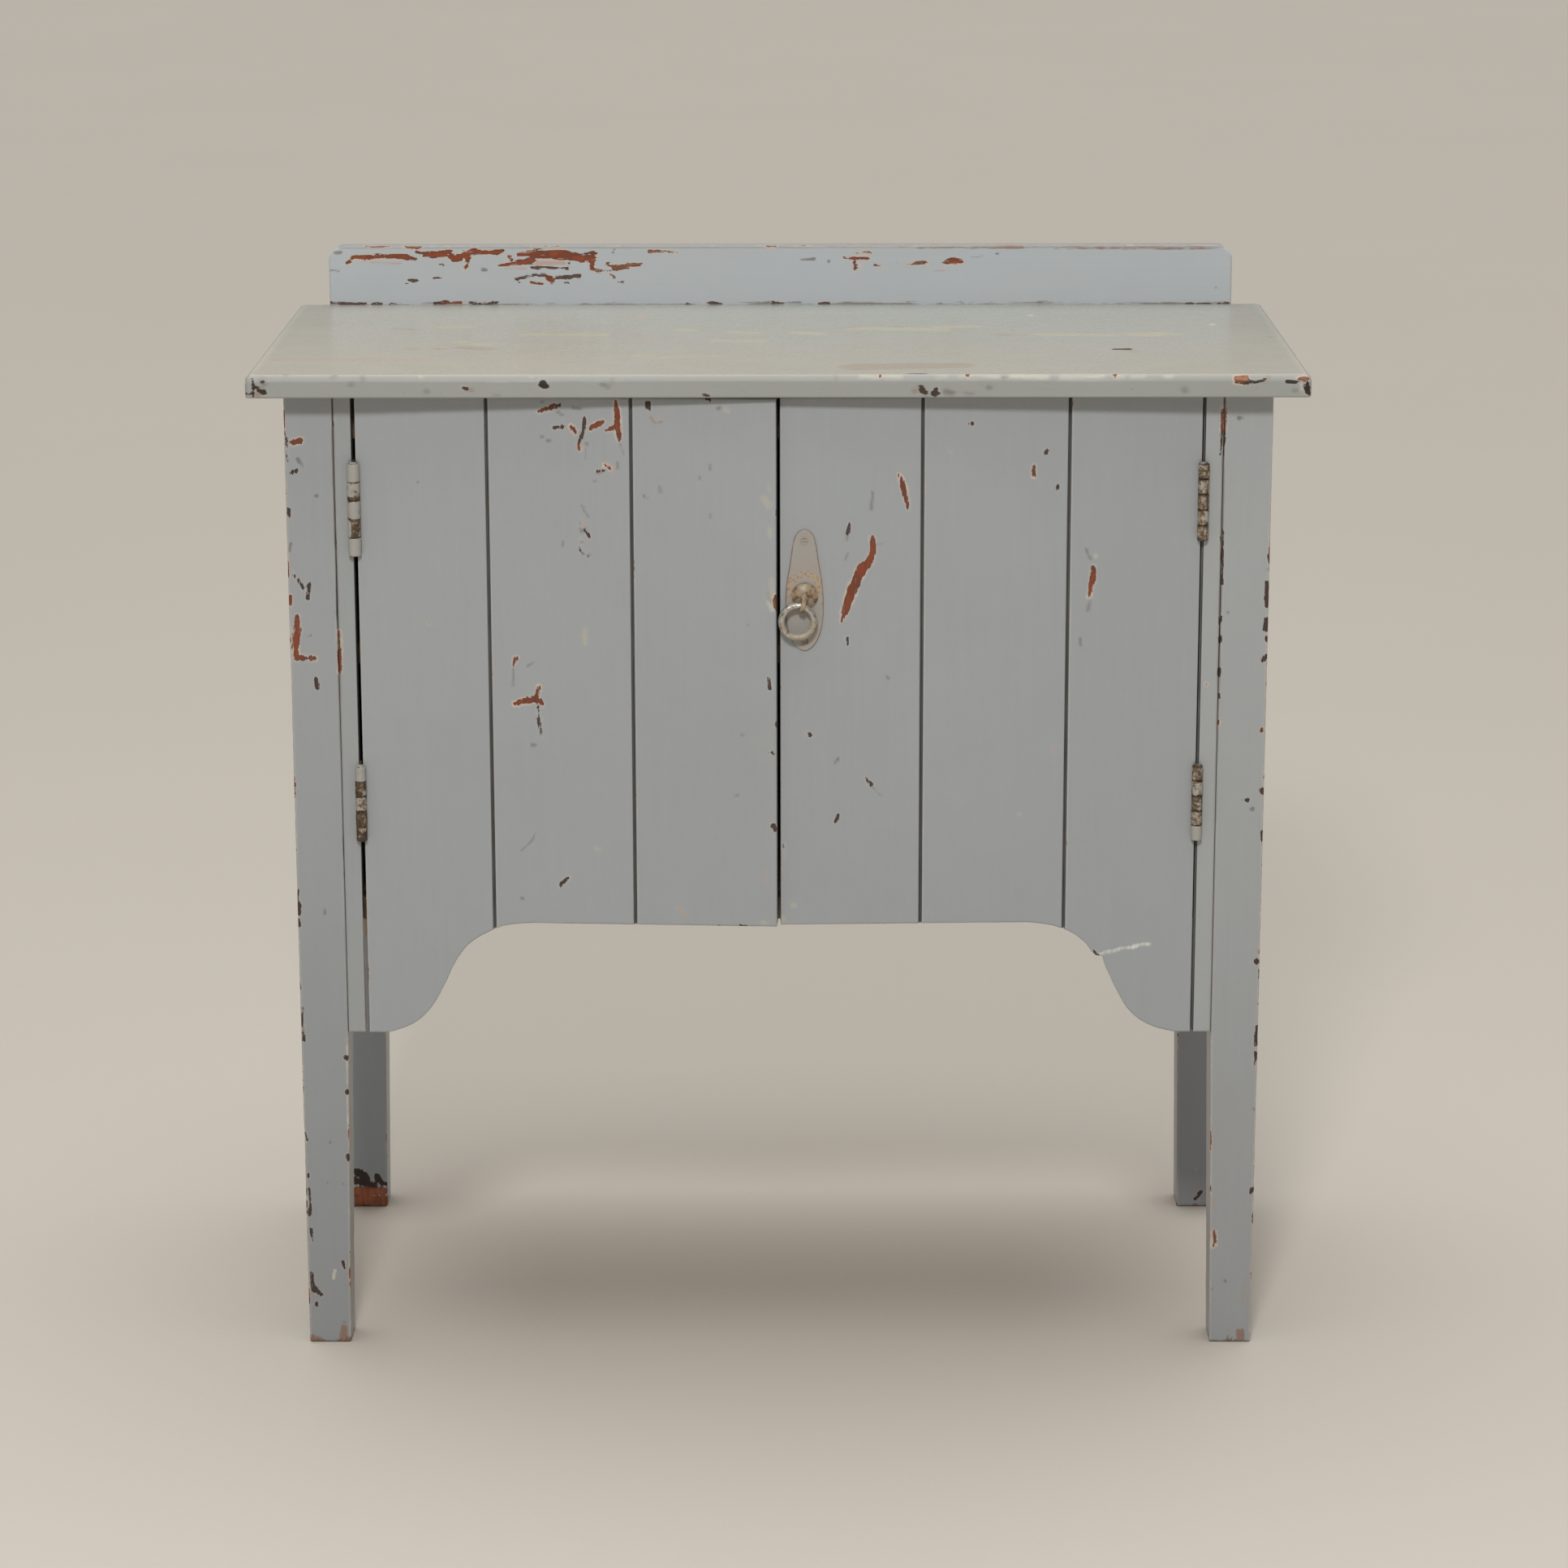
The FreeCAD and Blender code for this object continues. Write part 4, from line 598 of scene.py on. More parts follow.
def lathe(profile, seg=48, axis="Z", center=(0, 0, 0), closed=True):
    """Turned shape: profile of (r, h) from one end to the other; ends on the axis are closed."""
    P = list(profile)
    a = np.linspace(0, 2 * math.pi, seg, endpoint=False)
    verts, quads, tris = [], [], []
    ring = []
    for r, h in P:
        if r < 1e-6:
            ring.append([len(verts)] * seg)
            verts.append((0.0, 0.0, h))
        else:
            ring.append(list(range(len(verts), len(verts) + seg)))
            verts += [(r * math.cos(x), r * math.sin(x), h) for x in a]
    for i in range(len(P) - 1):
        for j in range(seg):
            k = (j + 1) % seg
            f = [ring[i][j], ring[i][k], ring[i + 1][k], ring[i + 1][j]]
            g = list(dict.fromkeys(f))
            if len(g) == 4:
                quads.append(g)
            elif len(g) == 3:
                tris.append(g)
    V = np.array(verts, float)
    if axis == "Y":      # the axis runs towards -Y
        V = np.stack([V[:, 0], -V[:, 2], V[:, 1]], -1)
    elif axis == "X":
        V = np.stack([V[:, 2], V[:, 0], V[:, 1]], -1)
    V = V + np.array(center)
    return V, np.array(quads).reshape(-1, 4), np.array(tris).reshape(-1, 3)


def join(parts):
    V, Q, T, n = [], [], [], 0
    for v, q, t in parts:
        V.append(np.asarray(v, float))
        Q.append(np.asarray(q, int).reshape(-1, 4) + n)
        T.append(np.asarray(t, int).reshape(-1, 3) + n)
        n += len(v)
    return np.concatenate(V), np.concatenate(Q), np.concatenate(T)


def rounded_box(x0, x1, y0, y1, z0, z1, r=0.5, k=2, cells=(1, 1, 1)):
    """Box with rounded edges as one closed mesh of quads."""
    def line(a, b, c):
        ins = [a + r * (1 - math.cos(math.pi / 2 * i / k)) for i in range(k)]
        core = list(np.linspace(a + r, b - r, c + 1))
        return np.array([a + (q - a) for q in ins] + core + [b - (q - a) for q in reversed(ins)])
    xs, ys, zs = line(x0, x1, cells[0]), line(y0, y1, cells[1]), line(z0, z1, cells[2])
    pts, index, quads = [], {}, []
    lo, hi = np.array([x0, y0, z0]) + r, np.array([x1, y1, z1]) - r
    def vid(i, j, l):
        key = (i, j, l)
        if key not in index:
            p = np.array([xs[i], ys[j], zs[l]])
            q = np.clip(p, lo, hi)
            d = p - q
            nrm = np.linalg.norm(d)
            if nrm > 1e-9:
                p = q + d / nrm * r
            index[key] = len(pts)
            pts.append(p)
        return index[key]
    nx, ny, nz = len(xs) - 1, len(ys) - 1, len(zs) - 1
    for i in range(nx):
        for j in range(ny):
            quads.append([vid(i, j, 0), vid(i, j + 1, 0), vid(i + 1, j + 1, 0), vid(i + 1, j, 0)])
            quads.append([vid(i, j, nz), vid(i + 1, j, nz), vid(i + 1, j + 1, nz), vid(i, j + 1, nz)])
    for i in range(nx):
        for l in range(nz):
            quads.append([vid(i, 0, l), vid(i + 1, 0, l), vid(i + 1, 0, l + 1), vid(i, 0, l + 1)])
            quads.append([vid(i, ny, l), vid(i, ny, l + 1), vid(i + 1, ny, l + 1), vid(i + 1, ny, l)])
    for j in range(ny):
        for l in range(nz):
            quads.append([vid(0, j, l), vid(0, j, l + 1), vid(0, j + 1, l + 1), vid(0, j + 1, l)])
            quads.append([vid(nx, j, l), vid(nx, j + 1, l), vid(nx, j + 1, l + 1), vid(nx, j, l + 1)])
    return np.array(pts), np.array(quads), np.zeros((0, 3), int)


# ------------------------------------------------------------------ materials
class Tree:
    """Small helper for building a node tree."""

    def __init__(self, name):
        self.mat = bpy.data.materials.new(name)
        self.mat.use_nodes = True
        self.nt = self.mat.node_tree
        self.nt.nodes.clear()
        self.out = self.nt.nodes.new("ShaderNodeOutputMaterial")
        self.bsdf = self.nt.nodes.new("ShaderNodeBsdfPrincipled")
        self.nt.links.new(self.bsdf.outputs["BSDF"], self.out.inputs["Surface"])
        self.co = self.nt.nodes.new("ShaderNodeTexCoord").outputs["Object"]

    def link(self, a, b):
        self.nt.links.new(a, b)

    def put(self, sock, val):
        if hasattr(val, "is_linked") or isinstance(val, bpy.types.NodeSocket):
            self.link(val, sock)
        elif isinstance(val, (tuple, list)) and len(val) == 3 and sock.type == "RGBA":
            sock.default_value = (*val, 1.0)
        else:
            sock.default_value = val

    def math(self, op, a, b=None, c=None, clamp=False):
        n = self.nt.nodes.new("ShaderNodeMath")
        n.operation = op
        n.use_clamp = clamp
        for i, v in enumerate((a, b, c)):
            if v is not None:
                self.put(n.inputs[i], v)
        return n.outputs[0]

    def add(self, a, b):
        return self.math("ADD", a, b)

    def mul(self, a, b):
        return self.math("MULTIPLY", a, b)

    def sub(self, a, b):
        return self.math("SUBTRACT", a, b)

    def mad(self, a, b, c, clamp=False):
        return self.math("MULTIPLY_ADD", a, b, c, clamp)

    def scaled(self, vec, s):
        n = self.nt.nodes.new("ShaderNodeVectorMath")
        n.operation = "MULTIPLY"
        self.put(n.inputs[0], vec)
        n.inputs[1].default_value = s if isinstance(s, (tuple, list)) else (s, s, s)
        return n.outputs[0]

    def shifted(self, vec, s):
        n = self.nt.nodes.new("ShaderNodeVectorMath")
        n.operation = "ADD"
        self.put(n.inputs[0], vec)
        self.put(n.inputs[1], s)
        return n.outputs[0]

    def noise(self, scale, detail=2.0, rough=0.5, vec=None, dist=0.0):
        """scale: features per metre, one number or one per axis."""
        n = self.nt.nodes.new("ShaderNodeTexNoise")
        v = self.scaled(vec or self.co, scale)
        self.link(v, n.inputs["Vector"])
        n.inputs["Scale"].default_value = 1.0
        n.inputs["Detail"].default_value = detail
        n.inputs["Roughness"].default_value = rough
        n.inputs["Distortion"].default_value = dist
        return n.outputs["Fac"]

    def voronoi(self, scale, vec=None, feature="F1", rand=1.0):
        n = self.nt.nodes.new("ShaderNodeTexVoronoi")
        n.feature = feature
        v = self.scaled(vec or self.co, scale)
        self.link(v, n.inputs["Vector"])
        n.inputs["Scale"].default_value = 1.0
        n.inputs["Randomness"].default_value = rand
        return n

    def step(self, x, a, b, lo=0.0, hi=1.0):
        """Smooth step of x from a to b."""
        n = self.nt.nodes.new("ShaderNodeMapRange")
        n.interpolation_type = "SMOOTHSTEP"
        self.put(n.inputs["Value"], x)
        n.inputs["From Min"].default_value = a
        n.inputs["From Max"].default_value = b
        n.inputs["To Min"].default_value = lo
        n.inputs["To Max"].default_value = hi
        return n.outputs["Result"]

    def mix(self, f, a, b, mode="MIX"):
        n = self.nt.nodes.new("ShaderNodeMix")
        n.data_type = "RGBA"
        n.blend_type = mode
        n.clamp_factor = True
        self.put(n.inputs[0], f)
        self.put(n.inputs[6], a)
        self.put(n.inputs[7], b)
        return n.outputs[2]

    def attr(self, name):
        n = self.nt.nodes.new("ShaderNodeAttribute")
        n.attribute_type = "GEOMETRY"
        n.attribute_name = name
        return n

    def axis(self, which, vec=None):
        n = self.nt.nodes.new("ShaderNodeSeparateXYZ")
        self.link(vec or self.co, n.inputs[0])
        return n.outputs["XYZ".index(which)]

    def gray(self, val):
        n = self.nt.nodes.new("ShaderNodeCombineColor")
        for i in range(3):
            self.put(n.inputs[i], val)
        return n.outputs[0]

    def bump(self, height, strength=1.0, distance=0.001, normal=None):
        n = self.nt.nodes.new("ShaderNodeBump")
        n.inputs["Strength"].default_value = strength
        n.inputs["Distance"].default_value = distance
        self.link(height, n.inputs["Height"])
        if normal is not None:
            self.link(normal, n.inputs["Normal"])
        return n.outputs["Normal"]


# the paint's own colour: a cool grey-blue that has gone slightly warm with age
PAINT = tuple(a * b for a, b in zip(lin(149.5, 153.0, 154.5), (0.955, 0.965, 0.99)))
GRAIN = {"Z": (210.0, 210.0, 9.0), "X": (9.0, 210.0, 210.0), "Y": (210.0, 9.0, 210.0)}


def painted(name, grain="Z", base=PAINT, wear=0.5, foot=False, gloss=0.33, rag=1.5, soft=0.7,
            grime=0.5, spots=0.5, seed=0.0, halo=0.55, top_light_and_yellowing=None, relief=1.0,
            rub_and_light_k=1.0, upstand=False, streaky=1.0, pink=0.25, rub_and_light_c=lin(184, 180, 168), smeared=1.6,
            painted_light_by_quarter=None, umber=0.25, grit=1.0, groove_dark_c=lin(78, 76, 72), joint=None,
            red_k=0.8):
    """Old gloss paint on pine: brush marks, uneven colour, worn arrises, and chips down to the
    undercoat where the mesh's chip field says, with a pale rim where the paint layers show.
    Where asked it also paints light and shade in: tints by quarter, a lighter top face, darker
    feet, a dark band inside chip rims and paler arrises as highlights."""
    T = Tree(name)
    co = T.shifted(T.co, (seed, seed * 0.7, seed * 0.3)) if seed else T.co
    g = GRAIN[grain]
    streak = T.noise(g, 3.0, 0.6, co)
    strokes = T.noise(tuple(v * 3.4 if v > 100 else v * 1.6 for v in g), 2.0, 0.55, co)
    broad = T.noise(4.5, 3.0, 0.55, co)
    mid = T.noise(28.0, 3.0, 0.6, co)
    fine = T.noise(700.0, 2.0, 0.6, co)
    rag_n = T.noise(tuple(v * 1.9 if v > 100 else v * 9.0 for v in g), 4.0, 0.62, co)
    rag_f = T.noise(900.0, 2.0, 0.6, co)

    # paint colour
    tone = T.mad(broad, 0.10, 0.95)
    tone = T.add(tone, T.mad(mid, 0.05, -0.025))
    tone = T.add(tone, T.mad(streak, 0.06 * streaky, -0.03 * streaky))
    tone = T.add(tone, T.mad(fine, 0.03 * grit, -0.015 * grit))
    col = T.mix(1.0, base, T.gray(tone), "MULTIPLY")
    cool = T.step(T.noise(9.0, 3.0, 0.6, co), 0.42, 0.66)
    col = T.mix(T.mul(cool, 0.35), col, T.mix(1.0, col, (0.985, 1.0, 1.03), "MULTIPLY"))
    warm = T.step(T.noise(13.0, 4.0, 0.65, T.shifted(co, (3.1, 1.7, 0.4))), 0.54, 0.74)
    col = T.mix(T.mul(warm, 0.35 * grime), col, T.mix(1.0, col, (1.04, 1.0, 0.91), "MULTIPLY"))
    # On the top board: the upward face is painted lighter than its nose, ends and underside, and lighter again towards
    # the front and over the left half: painted light; the warm cast and the peach and lemon streaks are yellowed paint.
    if top_light_and_yellowing is not None:
        tinted = T.mix(1.0, col, T.mix(T.step(T.axis("Y"), -0.20, 0.16), *top_light_and_yellowing), "MULTIPLY")
        left = T.step(T.axis("X"), 0.10, -0.36)
        tinted = T.mix(left, tinted, T.mix(1.0, tinted, (1.07, 1.05, 1.03), "MULTIPLY"))
        peach = T.step(T.noise((4.2, 34.0, 34.0), 3.0, 0.6, T.shifted(co, (8.1, 0.3, 0.0))), 0.50, 0.72)
        tinted = T.mix(T.mul(peach, 0.55), tinted, T.mix(1.0, tinted, (1.05, 0.985, 0.935), "MULTIPLY"))
        lemon = T.step(T.noise((5.5, 46.0, 46.0), 3.0, 0.6, T.shifted(co, (1.9, 6.6, 0.0))), 0.54, 0.74)
        tinted = T.mix(T.mul(lemon, 0.55), tinted, T.mix(1.0, tinted, (1.02, 1.015, 0.90), "MULTIPLY"))
        col = T.mix(1.0, col, (0.960, 0.934, 0.862), "MULTIPLY")
        col = T.mix(T.step(T.axis("Z"), 0.8370, 0.8378), col, tinted)
    if upstand:
        z = T.axis("Z")
        # The top face of the upstand is darkened: painted shade against the light from above, with brown flecks of wear
        # on it.
        band = T.step(z, 0.8872, 0.8890)
        col = T.mix(T.mul(band, 0.85), col, T.mix(1.0, col, (0.60, 0.56, 0.51), "MULTIPLY"))
        fleck = T.step(T.noise((44.0, 300.0, 300.0), 4.0, 0.7, T.shifted(co, (3.7, 0.0, 0.0))), 0.50, 0.60)
        col = T.mix(T.mul(T.mul(fleck, band), T.mad(T.step(T.axis("X"), -0.05, 0.15), 0.40, 0.20)), col, lin(140, 104, 86))
        seam = T.add(T.mad(z, -1000.0, 841.0), T.mad(T.noise((26.0, 400.0, 400.0), 4.0, 0.7, co), 17.0, -10.9))
        here = T.mul(T.step(z, 0.8365, 0.8375), T.step(T.axis("Y"), 0.1995, 0.1975))
        col = T.mix(T.mul(T.mul(T.step(seam, 0.0, 1.2), here), 0.75), col, lin(112, 98, 84))
    # Lighter or darker by quarter, in front of or behind the middle and left or right of it: painted light where the
    # light falls unevenly over the legs and stiles.
    if painted_light_by_quarter is not None:
        x, y = T.axis("X"), T.axis("Y")
        ahead = T.mix(T.step(x, -0.02, 0.02), painted_light_by_quarter[0], painted_light_by_quarter[1])
        behind = T.mix(T.step(x, -0.02, 0.02), painted_light_by_quarter[2], (1.0, 1.0, 1.05))
        col = T.mix(1.0, col, T.mix(T.step(y, -0.02, 0.02), ahead, behind), "MULTIPLY")
    # Darker towards the foot: painted shade, the light falling off towards the floor.
    if foot:
        low = T.step(T.axis("Z"), 0.62, 0.0)
        col = T.mix(1.0, col, T.mix(low, (1.0, 1.0, 1.0), (0.86, 0.85, 0.85)), "MULTIPLY")

    # darker in the grooves, from the mesh's groove field
    groove = T.attr("groove").outputs["Fac"]
    dirt = T.step(T.add(groove, T.mad(mid, 0.5, -0.25)), 0.20, 1.15)
    col = T.mix(T.mul(dirt, 0.88), col, groove_dark_c)

    if joint is not None:
        off = T.math("ABSOLUTE", T.sub(T.math("ABSOLUTE", T.axis("X")), joint[0]))
        open_ = T.add(T.mul(off, -1000.0), T.mad(T.noise((60.0, 60.0, 22.0), 3.0, 0.65, co), 2.6, -1.3 + joint[1]))
        beside = T.mul(T.step(off, 0.0050, 0.0035), T.step(T.axis("Z"), 0.272, 0.278))
        beside = T.mul(beside, T.step(T.axis("Y"), -0.170, -0.178))
        open_ = T.mul(T.step(open_, 0.0, 0.7), T.step(T.axis("Z"), 0.45, 0.66, 0.35, 1.0))
        open_ = T.mul(open_, T.mul(T.step(T.axis("Z"), 0.272, 0.278), T.step(T.axis("Y"), -0.170, -0.178)))
    # sparse small spots: dark specks and old drips
    if spots > 0:
        vor = T.voronoi(38.0, co)
        big = T.noise(11.0, 1.0, 0.5, T.shifted(co, (7.3, 2.2, 5.1)))
        speck = T.step(vor.outputs["Distance"], 0.055, 0.035)
        speck = T.mul(speck, T.step(big, 0.60, 0.66))
        col = T.mix(T.mul(speck, 0.75 * spots), col, lin(108, 96, 84))
        vor2 = T.voronoi(21.0, T.shifted(co, (1.3, 4.2, 9.9)))
        pale = T.mul(T.step(vor2.outputs["Distance"], 0.06, 0.03), T.step(big, 0.40, 0.34))
        col = T.mix(T.mul(pale, 0.5 * spots), col, lin(196, 192, 176))

    # soft stains
    st = T.attr("stain")
    sc = T.attr("stainc")
    smear = T.noise(tuple(v * 0.75 if v > 100 else v * 2.4 for v in g), 4.0, 0.66, T.shifted(co, (5.7, 0.9, 3.8)))
    s_m = T.add(st.outputs["Fac"], T.mad(rag_n, 3.0 * rag, -1.5 * rag))
    s_m = T.add(s_m, T.mad(smear, 2.0 * smeared, -1.06 * smeared))
    s_mask = T.step(s_m, 5.0 - soft * 1.2, 5.0 + soft * 1.2)
    s_mask = T.mul(s_mask, sc.outputs["Alpha"])
    s_mask = T.mul(s_mask, T.mad(mid, 0.5, 0.75, True))
    col = T.mix(s_mask, col, sc.outputs["Color"])

    # chips from the mesh's field
    ch = T.attr("chip")
    cc = T.attr("chipc")
    jag = T.add(T.mad(rag_n, 5.2 * rag, -2.6 * rag), T.mad(rag_f, 1.8, -0.9))
    c_m = T.add(ch.outputs["Fac"], jag)
    chip = T.mul(T.step(c_m, 4.80, 5.15), T.step(ch.outputs["Fac"], 3.6, 4.0))
    # rim: a darker band just inside the chip's outline, painted shade where the paint edge shadows the undercoat.
    rim = T.mul(chip, T.step(c_m, 6.5, 5.3))
    is_red = T.step(T.attr("chipc").outputs["Alpha"], 0.72, 0.98)
    lip = T.step(T.noise(45.0, 2.0, 0.5, T.shifted(co, (4.4, 1.2, 8.1))), 0.40, 0.60)
    near = T.mul(T.step(c_m, 2.5, 4.4), T.mul(T.step(ch.outputs["Fac"], 2.3, 3.8), T.mad(lip, 0.6, 0.4)))
    near = T.mul(near, T.mad(is_red, 0.75, 0.25))
    # worn arrises
    edge = T.attr("edge").outputs["Fac"]
    wn = T.noise(26.0, 4.0, 0.68, co)
    wf = T.noise(260.0, 3.0, 0.6, co)
    e_m = T.add(T.mul(edge, 0.42), T.mad(wn, 1.25, T.mad(wf, 0.34, -0.17)))
    if top_light_and_yellowing is not None:
        calm = T.mul(T.step(T.axis("Y"), -0.200, -0.206), T.step(T.math("ABSOLUTE", T.axis("X")), 0.418, 0.405))
        e_m = T.add(e_m, T.mul(calm, -0.20))
    if joint is not None:
        e_m = T.add(e_m, T.mul(beside, -0.22))
    level = 1.29 - 0.33 * wear
    e_chip = T.step(e_m, level, level + 0.05)
    e_halo = T.step(e_m, level - 0.09, level)
    # the arris is rubbed thin and paler all along; where a material raises it (the doors) it is also a painted
    # highlight, and where it darkens its colour (the top) a painted shade on the arris
    rub_and_painted_light = T.mul(T.step(edge, 0.35, 0.85), T.mad(wf, 0.7, 0.15, True))
    col = T.mix(T.mul(rub_and_painted_light, (0.30 + 0.25 * wear) * rub_and_light_k), col, rub_and_light_c)
    if joint is not None:
        col = T.mix(T.mul(open_, 0.62), col, lin(92, 87, 84))
    halo_c = T.mix(T.noise(160.0, 2.0, 0.5, co), lin(186, 150, 136), lin(206, 196, 176))
    halo_m = T.mul(T.math("MAXIMUM", near, T.mul(e_halo, T.step(edge, 0.05, 0.4))), halo)
    col = T.mix(halo_m, col, halo_c)
    blot = T.step(T.noise(tuple(v * 1.1 if v > 100 else v * 5.0 for v in g), 3.0, 0.65, co), 0.50, 0.66)
    deep = T.mix(T.mul(blot, T.mad(is_red, 0.42, 0.18)), cc.outputs["Color"], lin(92, 56, 44))
    deep = T.mix(T.mul(T.step(rag_f, 0.55, 0.75), T.mad(is_red, 0.20, 0.10)), deep, lin(166, 100, 70))
    scorch = T.step(T.noise(tuple(v * 0.30 if v > 100 else v * 4.6 for v in g), 2.0, 0.6, T.shifted(co, (9.4, 5.5, 1.1))), 0.44, 0.60)
    deep = T.mix(T.mul(T.mul(scorch, is_red), 0.50), deep, lin(92, 50, 34))
    thin = T.step(T.noise(tuple(v * 4.0 if v > 100 else v * 6.0 for v in g), 2.0, 0.5, T.shifted(co, (2.4, 7.5, 6.1))), 0.50, 0.62)
    deep = T.mix(T.mul(T.mul(thin, is_red), 0.30), deep, lin(100, 50, 32))
    deep = T.mix(T.mul(T.sub(1.0, is_red), umber), deep, lin(104, 74, 66))
    deep = T.mix(is_red, deep, T.mix(1.0, deep, (red_k, red_k * 0.97, red_k * 0.97), "MULTIPLY"))
    left_on = T.step(T.noise(tuple(v * 1.5 if v > 100 else v * 7.0 for v in g), 4.0, 0.6,
                             T.shifted(co, (6.1, 3.3, 2.7))), 0.60, 0.66)
    deep = T.mix(T.mul(T.mul(left_on, is_red), pink), deep, lin(172, 148, 138))
    # Painted shade along the chip's rim.
    deep = T.mix(T.mul(rim, 0.68), deep, T.mix(is_red, lin(54, 42, 36), lin(84, 54, 42)))
    col = T.mix(chip, col, deep)
    e_col = T.mix(T.step(T.noise(60.0, 2.0, 0.5, T.shifted(co, (2.0, 5.0, 1.0))), 0.46, 0.6),
                  lin(64, 48, 40), lin(140, 78, 50))
    col = T.mix(e_chip, col, e_col)
    allchip = T.math("MAXIMUM", chip, e_chip)
    if foot:
        z = T.axis("Z")
        f_m = T.add(T.mul(z, -1000.0), T.mad(T.noise((160.0, 160.0, 60.0), 4.0, 0.6, co), 34.0, -17.0))
        f_d = T.step(f_m, -2.0, 1.5)
        f_o = T.step(f_m, 0.5, 3.5)
        col = T.mix(T.mul(f_d, 0.85), col, lin(104, 84, 70))
        col = T.mix(f_o, col, T.mix(blot, lin(146, 108, 80), lin(104, 72, 54)))
        allchip = T.math("MAXIMUM", allchip, f_d)
    T.link(col, T.bsdf.inputs["Base Color"])
    rough = T.mad(mid, 0.10, gloss - 0.05)
    rough = T.add(rough, T.mul(T.step(streak, 0.35, 0.75), 0.05 * streaky))
    if top_light_and_yellowing is not None:
        rough = T.add(rough, T.mul(T.step(edge, 0.20, 0.6), 0.28))
    if upstand:
        rough = T.add(rough, T.mul(T.step(T.axis("Z"), 0.8860, 0.8885), 0.35))
    rough = T.mix(allchip, T.gray(rough), (0.72, 0.72, 0.72))
    T.link(rough, T.bsdf.inputs["Roughness"])
    h = T.mul(strokes, 0.05 * relief)
    h = T.add(h, T.mul(streak, 0.03 * relief))
    h = T.add(h, T.mul(fine, 0.006 * min(1.0, relief * 1.5) * grit))
    h = T.add(h, T.mul(allchip, -0.13))
    h = T.add(h, T.mul(T.mul(near, T.sub(1.0, allchip)), 0.02))
    T.link(T.bump(h, 1.0, 0.001), T.bsdf.inputs["Normal"])
    T.bsdf.inputs["IOR"].default_value = 1.5
    return T.mat


def pine(name, grain="X", tint=(1, 1, 1), seed=0.0):
    """Bare aged pine: growth lines, a few knots, dirt and rubbed edges."""
    T = Tree(name)
    co = T.shifted(T.co, (seed, seed * 1.3, seed * 0.6)) if seed else T.co
    s = {"X": (1.2, 16.0, 16.0), "Y": (16.0, 1.2, 16.0), "Z": (16.0, 16.0, 1.2)}[grain]
    warp = T.noise(tuple(v * 0.45 for v in s), 2.0, 0.5, co)
    n = T.nt.nodes.new("ShaderNodeTexWave")
    n.wave_type = "BANDS"
    n.bands_direction = "Y" if grain != "Y" else "X"
    v = T.shifted(T.scaled(co, tuple(a * 3.4 for a in s)), T.gray(T.mul(warp, 9.0)))
    T.link(v, n.inputs["Vector"])
    n.inputs["Scale"].default_value = 0.42
    n.inputs["Distortion"].default_value = 3.2
    n.inputs["Detail"].default_value = 2.5
    n.inputs["Detail Scale"].default_value = 1.2
    lines = n.outputs["Fac"]
    fib = T.noise(tuple(a * 60 if a > 5 else a * 14 for a in s), 3.0, 0.6, co)
    blot = T.noise(6.0, 4.0, 0.6, co)
    light, dark = (0.50, 0.335, 0.19), (0.33, 0.195, 0.095)
    col = T.mix(T.mul(lines, 0.65), light, dark)
    col = T.mix(T.mul(T.step(fib, 0.45, 0.75), 0.35), col, (0.26, 0.15, 0.075))
    col = T.mix(T.mul(T.step(blot, 0.5, 0.75), 0.5), col, (0.27, 0.18, 0.11))
    col = T.mix(1.0, col, tint, "MULTIPLY")
    vor = T.voronoi(tuple(v2 * 0.32 for v2 in s), co)
    knot = T.step(vor.outputs["Distance"], 0.10, 0.05)
    col = T.mix(T.mul(knot, 0.8), col, (0.12, 0.06, 0.03))
    e = T.attr("edge").outputs["Fac"]
    col = T.mix(T.mul(e, 0.25), col, (0.42, 0.30, 0.2))
    T.link(col, T.bsdf.inputs["Base Color"])
    T.link(T.mad(fib, 0.15, 0.56), T.bsdf.inputs["Roughness"])
    h = T.add(T.mul(lines, 0.04), T.mul(fib, 0.05))
    T.link(T.bump(h, 1.0, 0.001), T.bsdf.inputs["Normal"])
    return T.mat


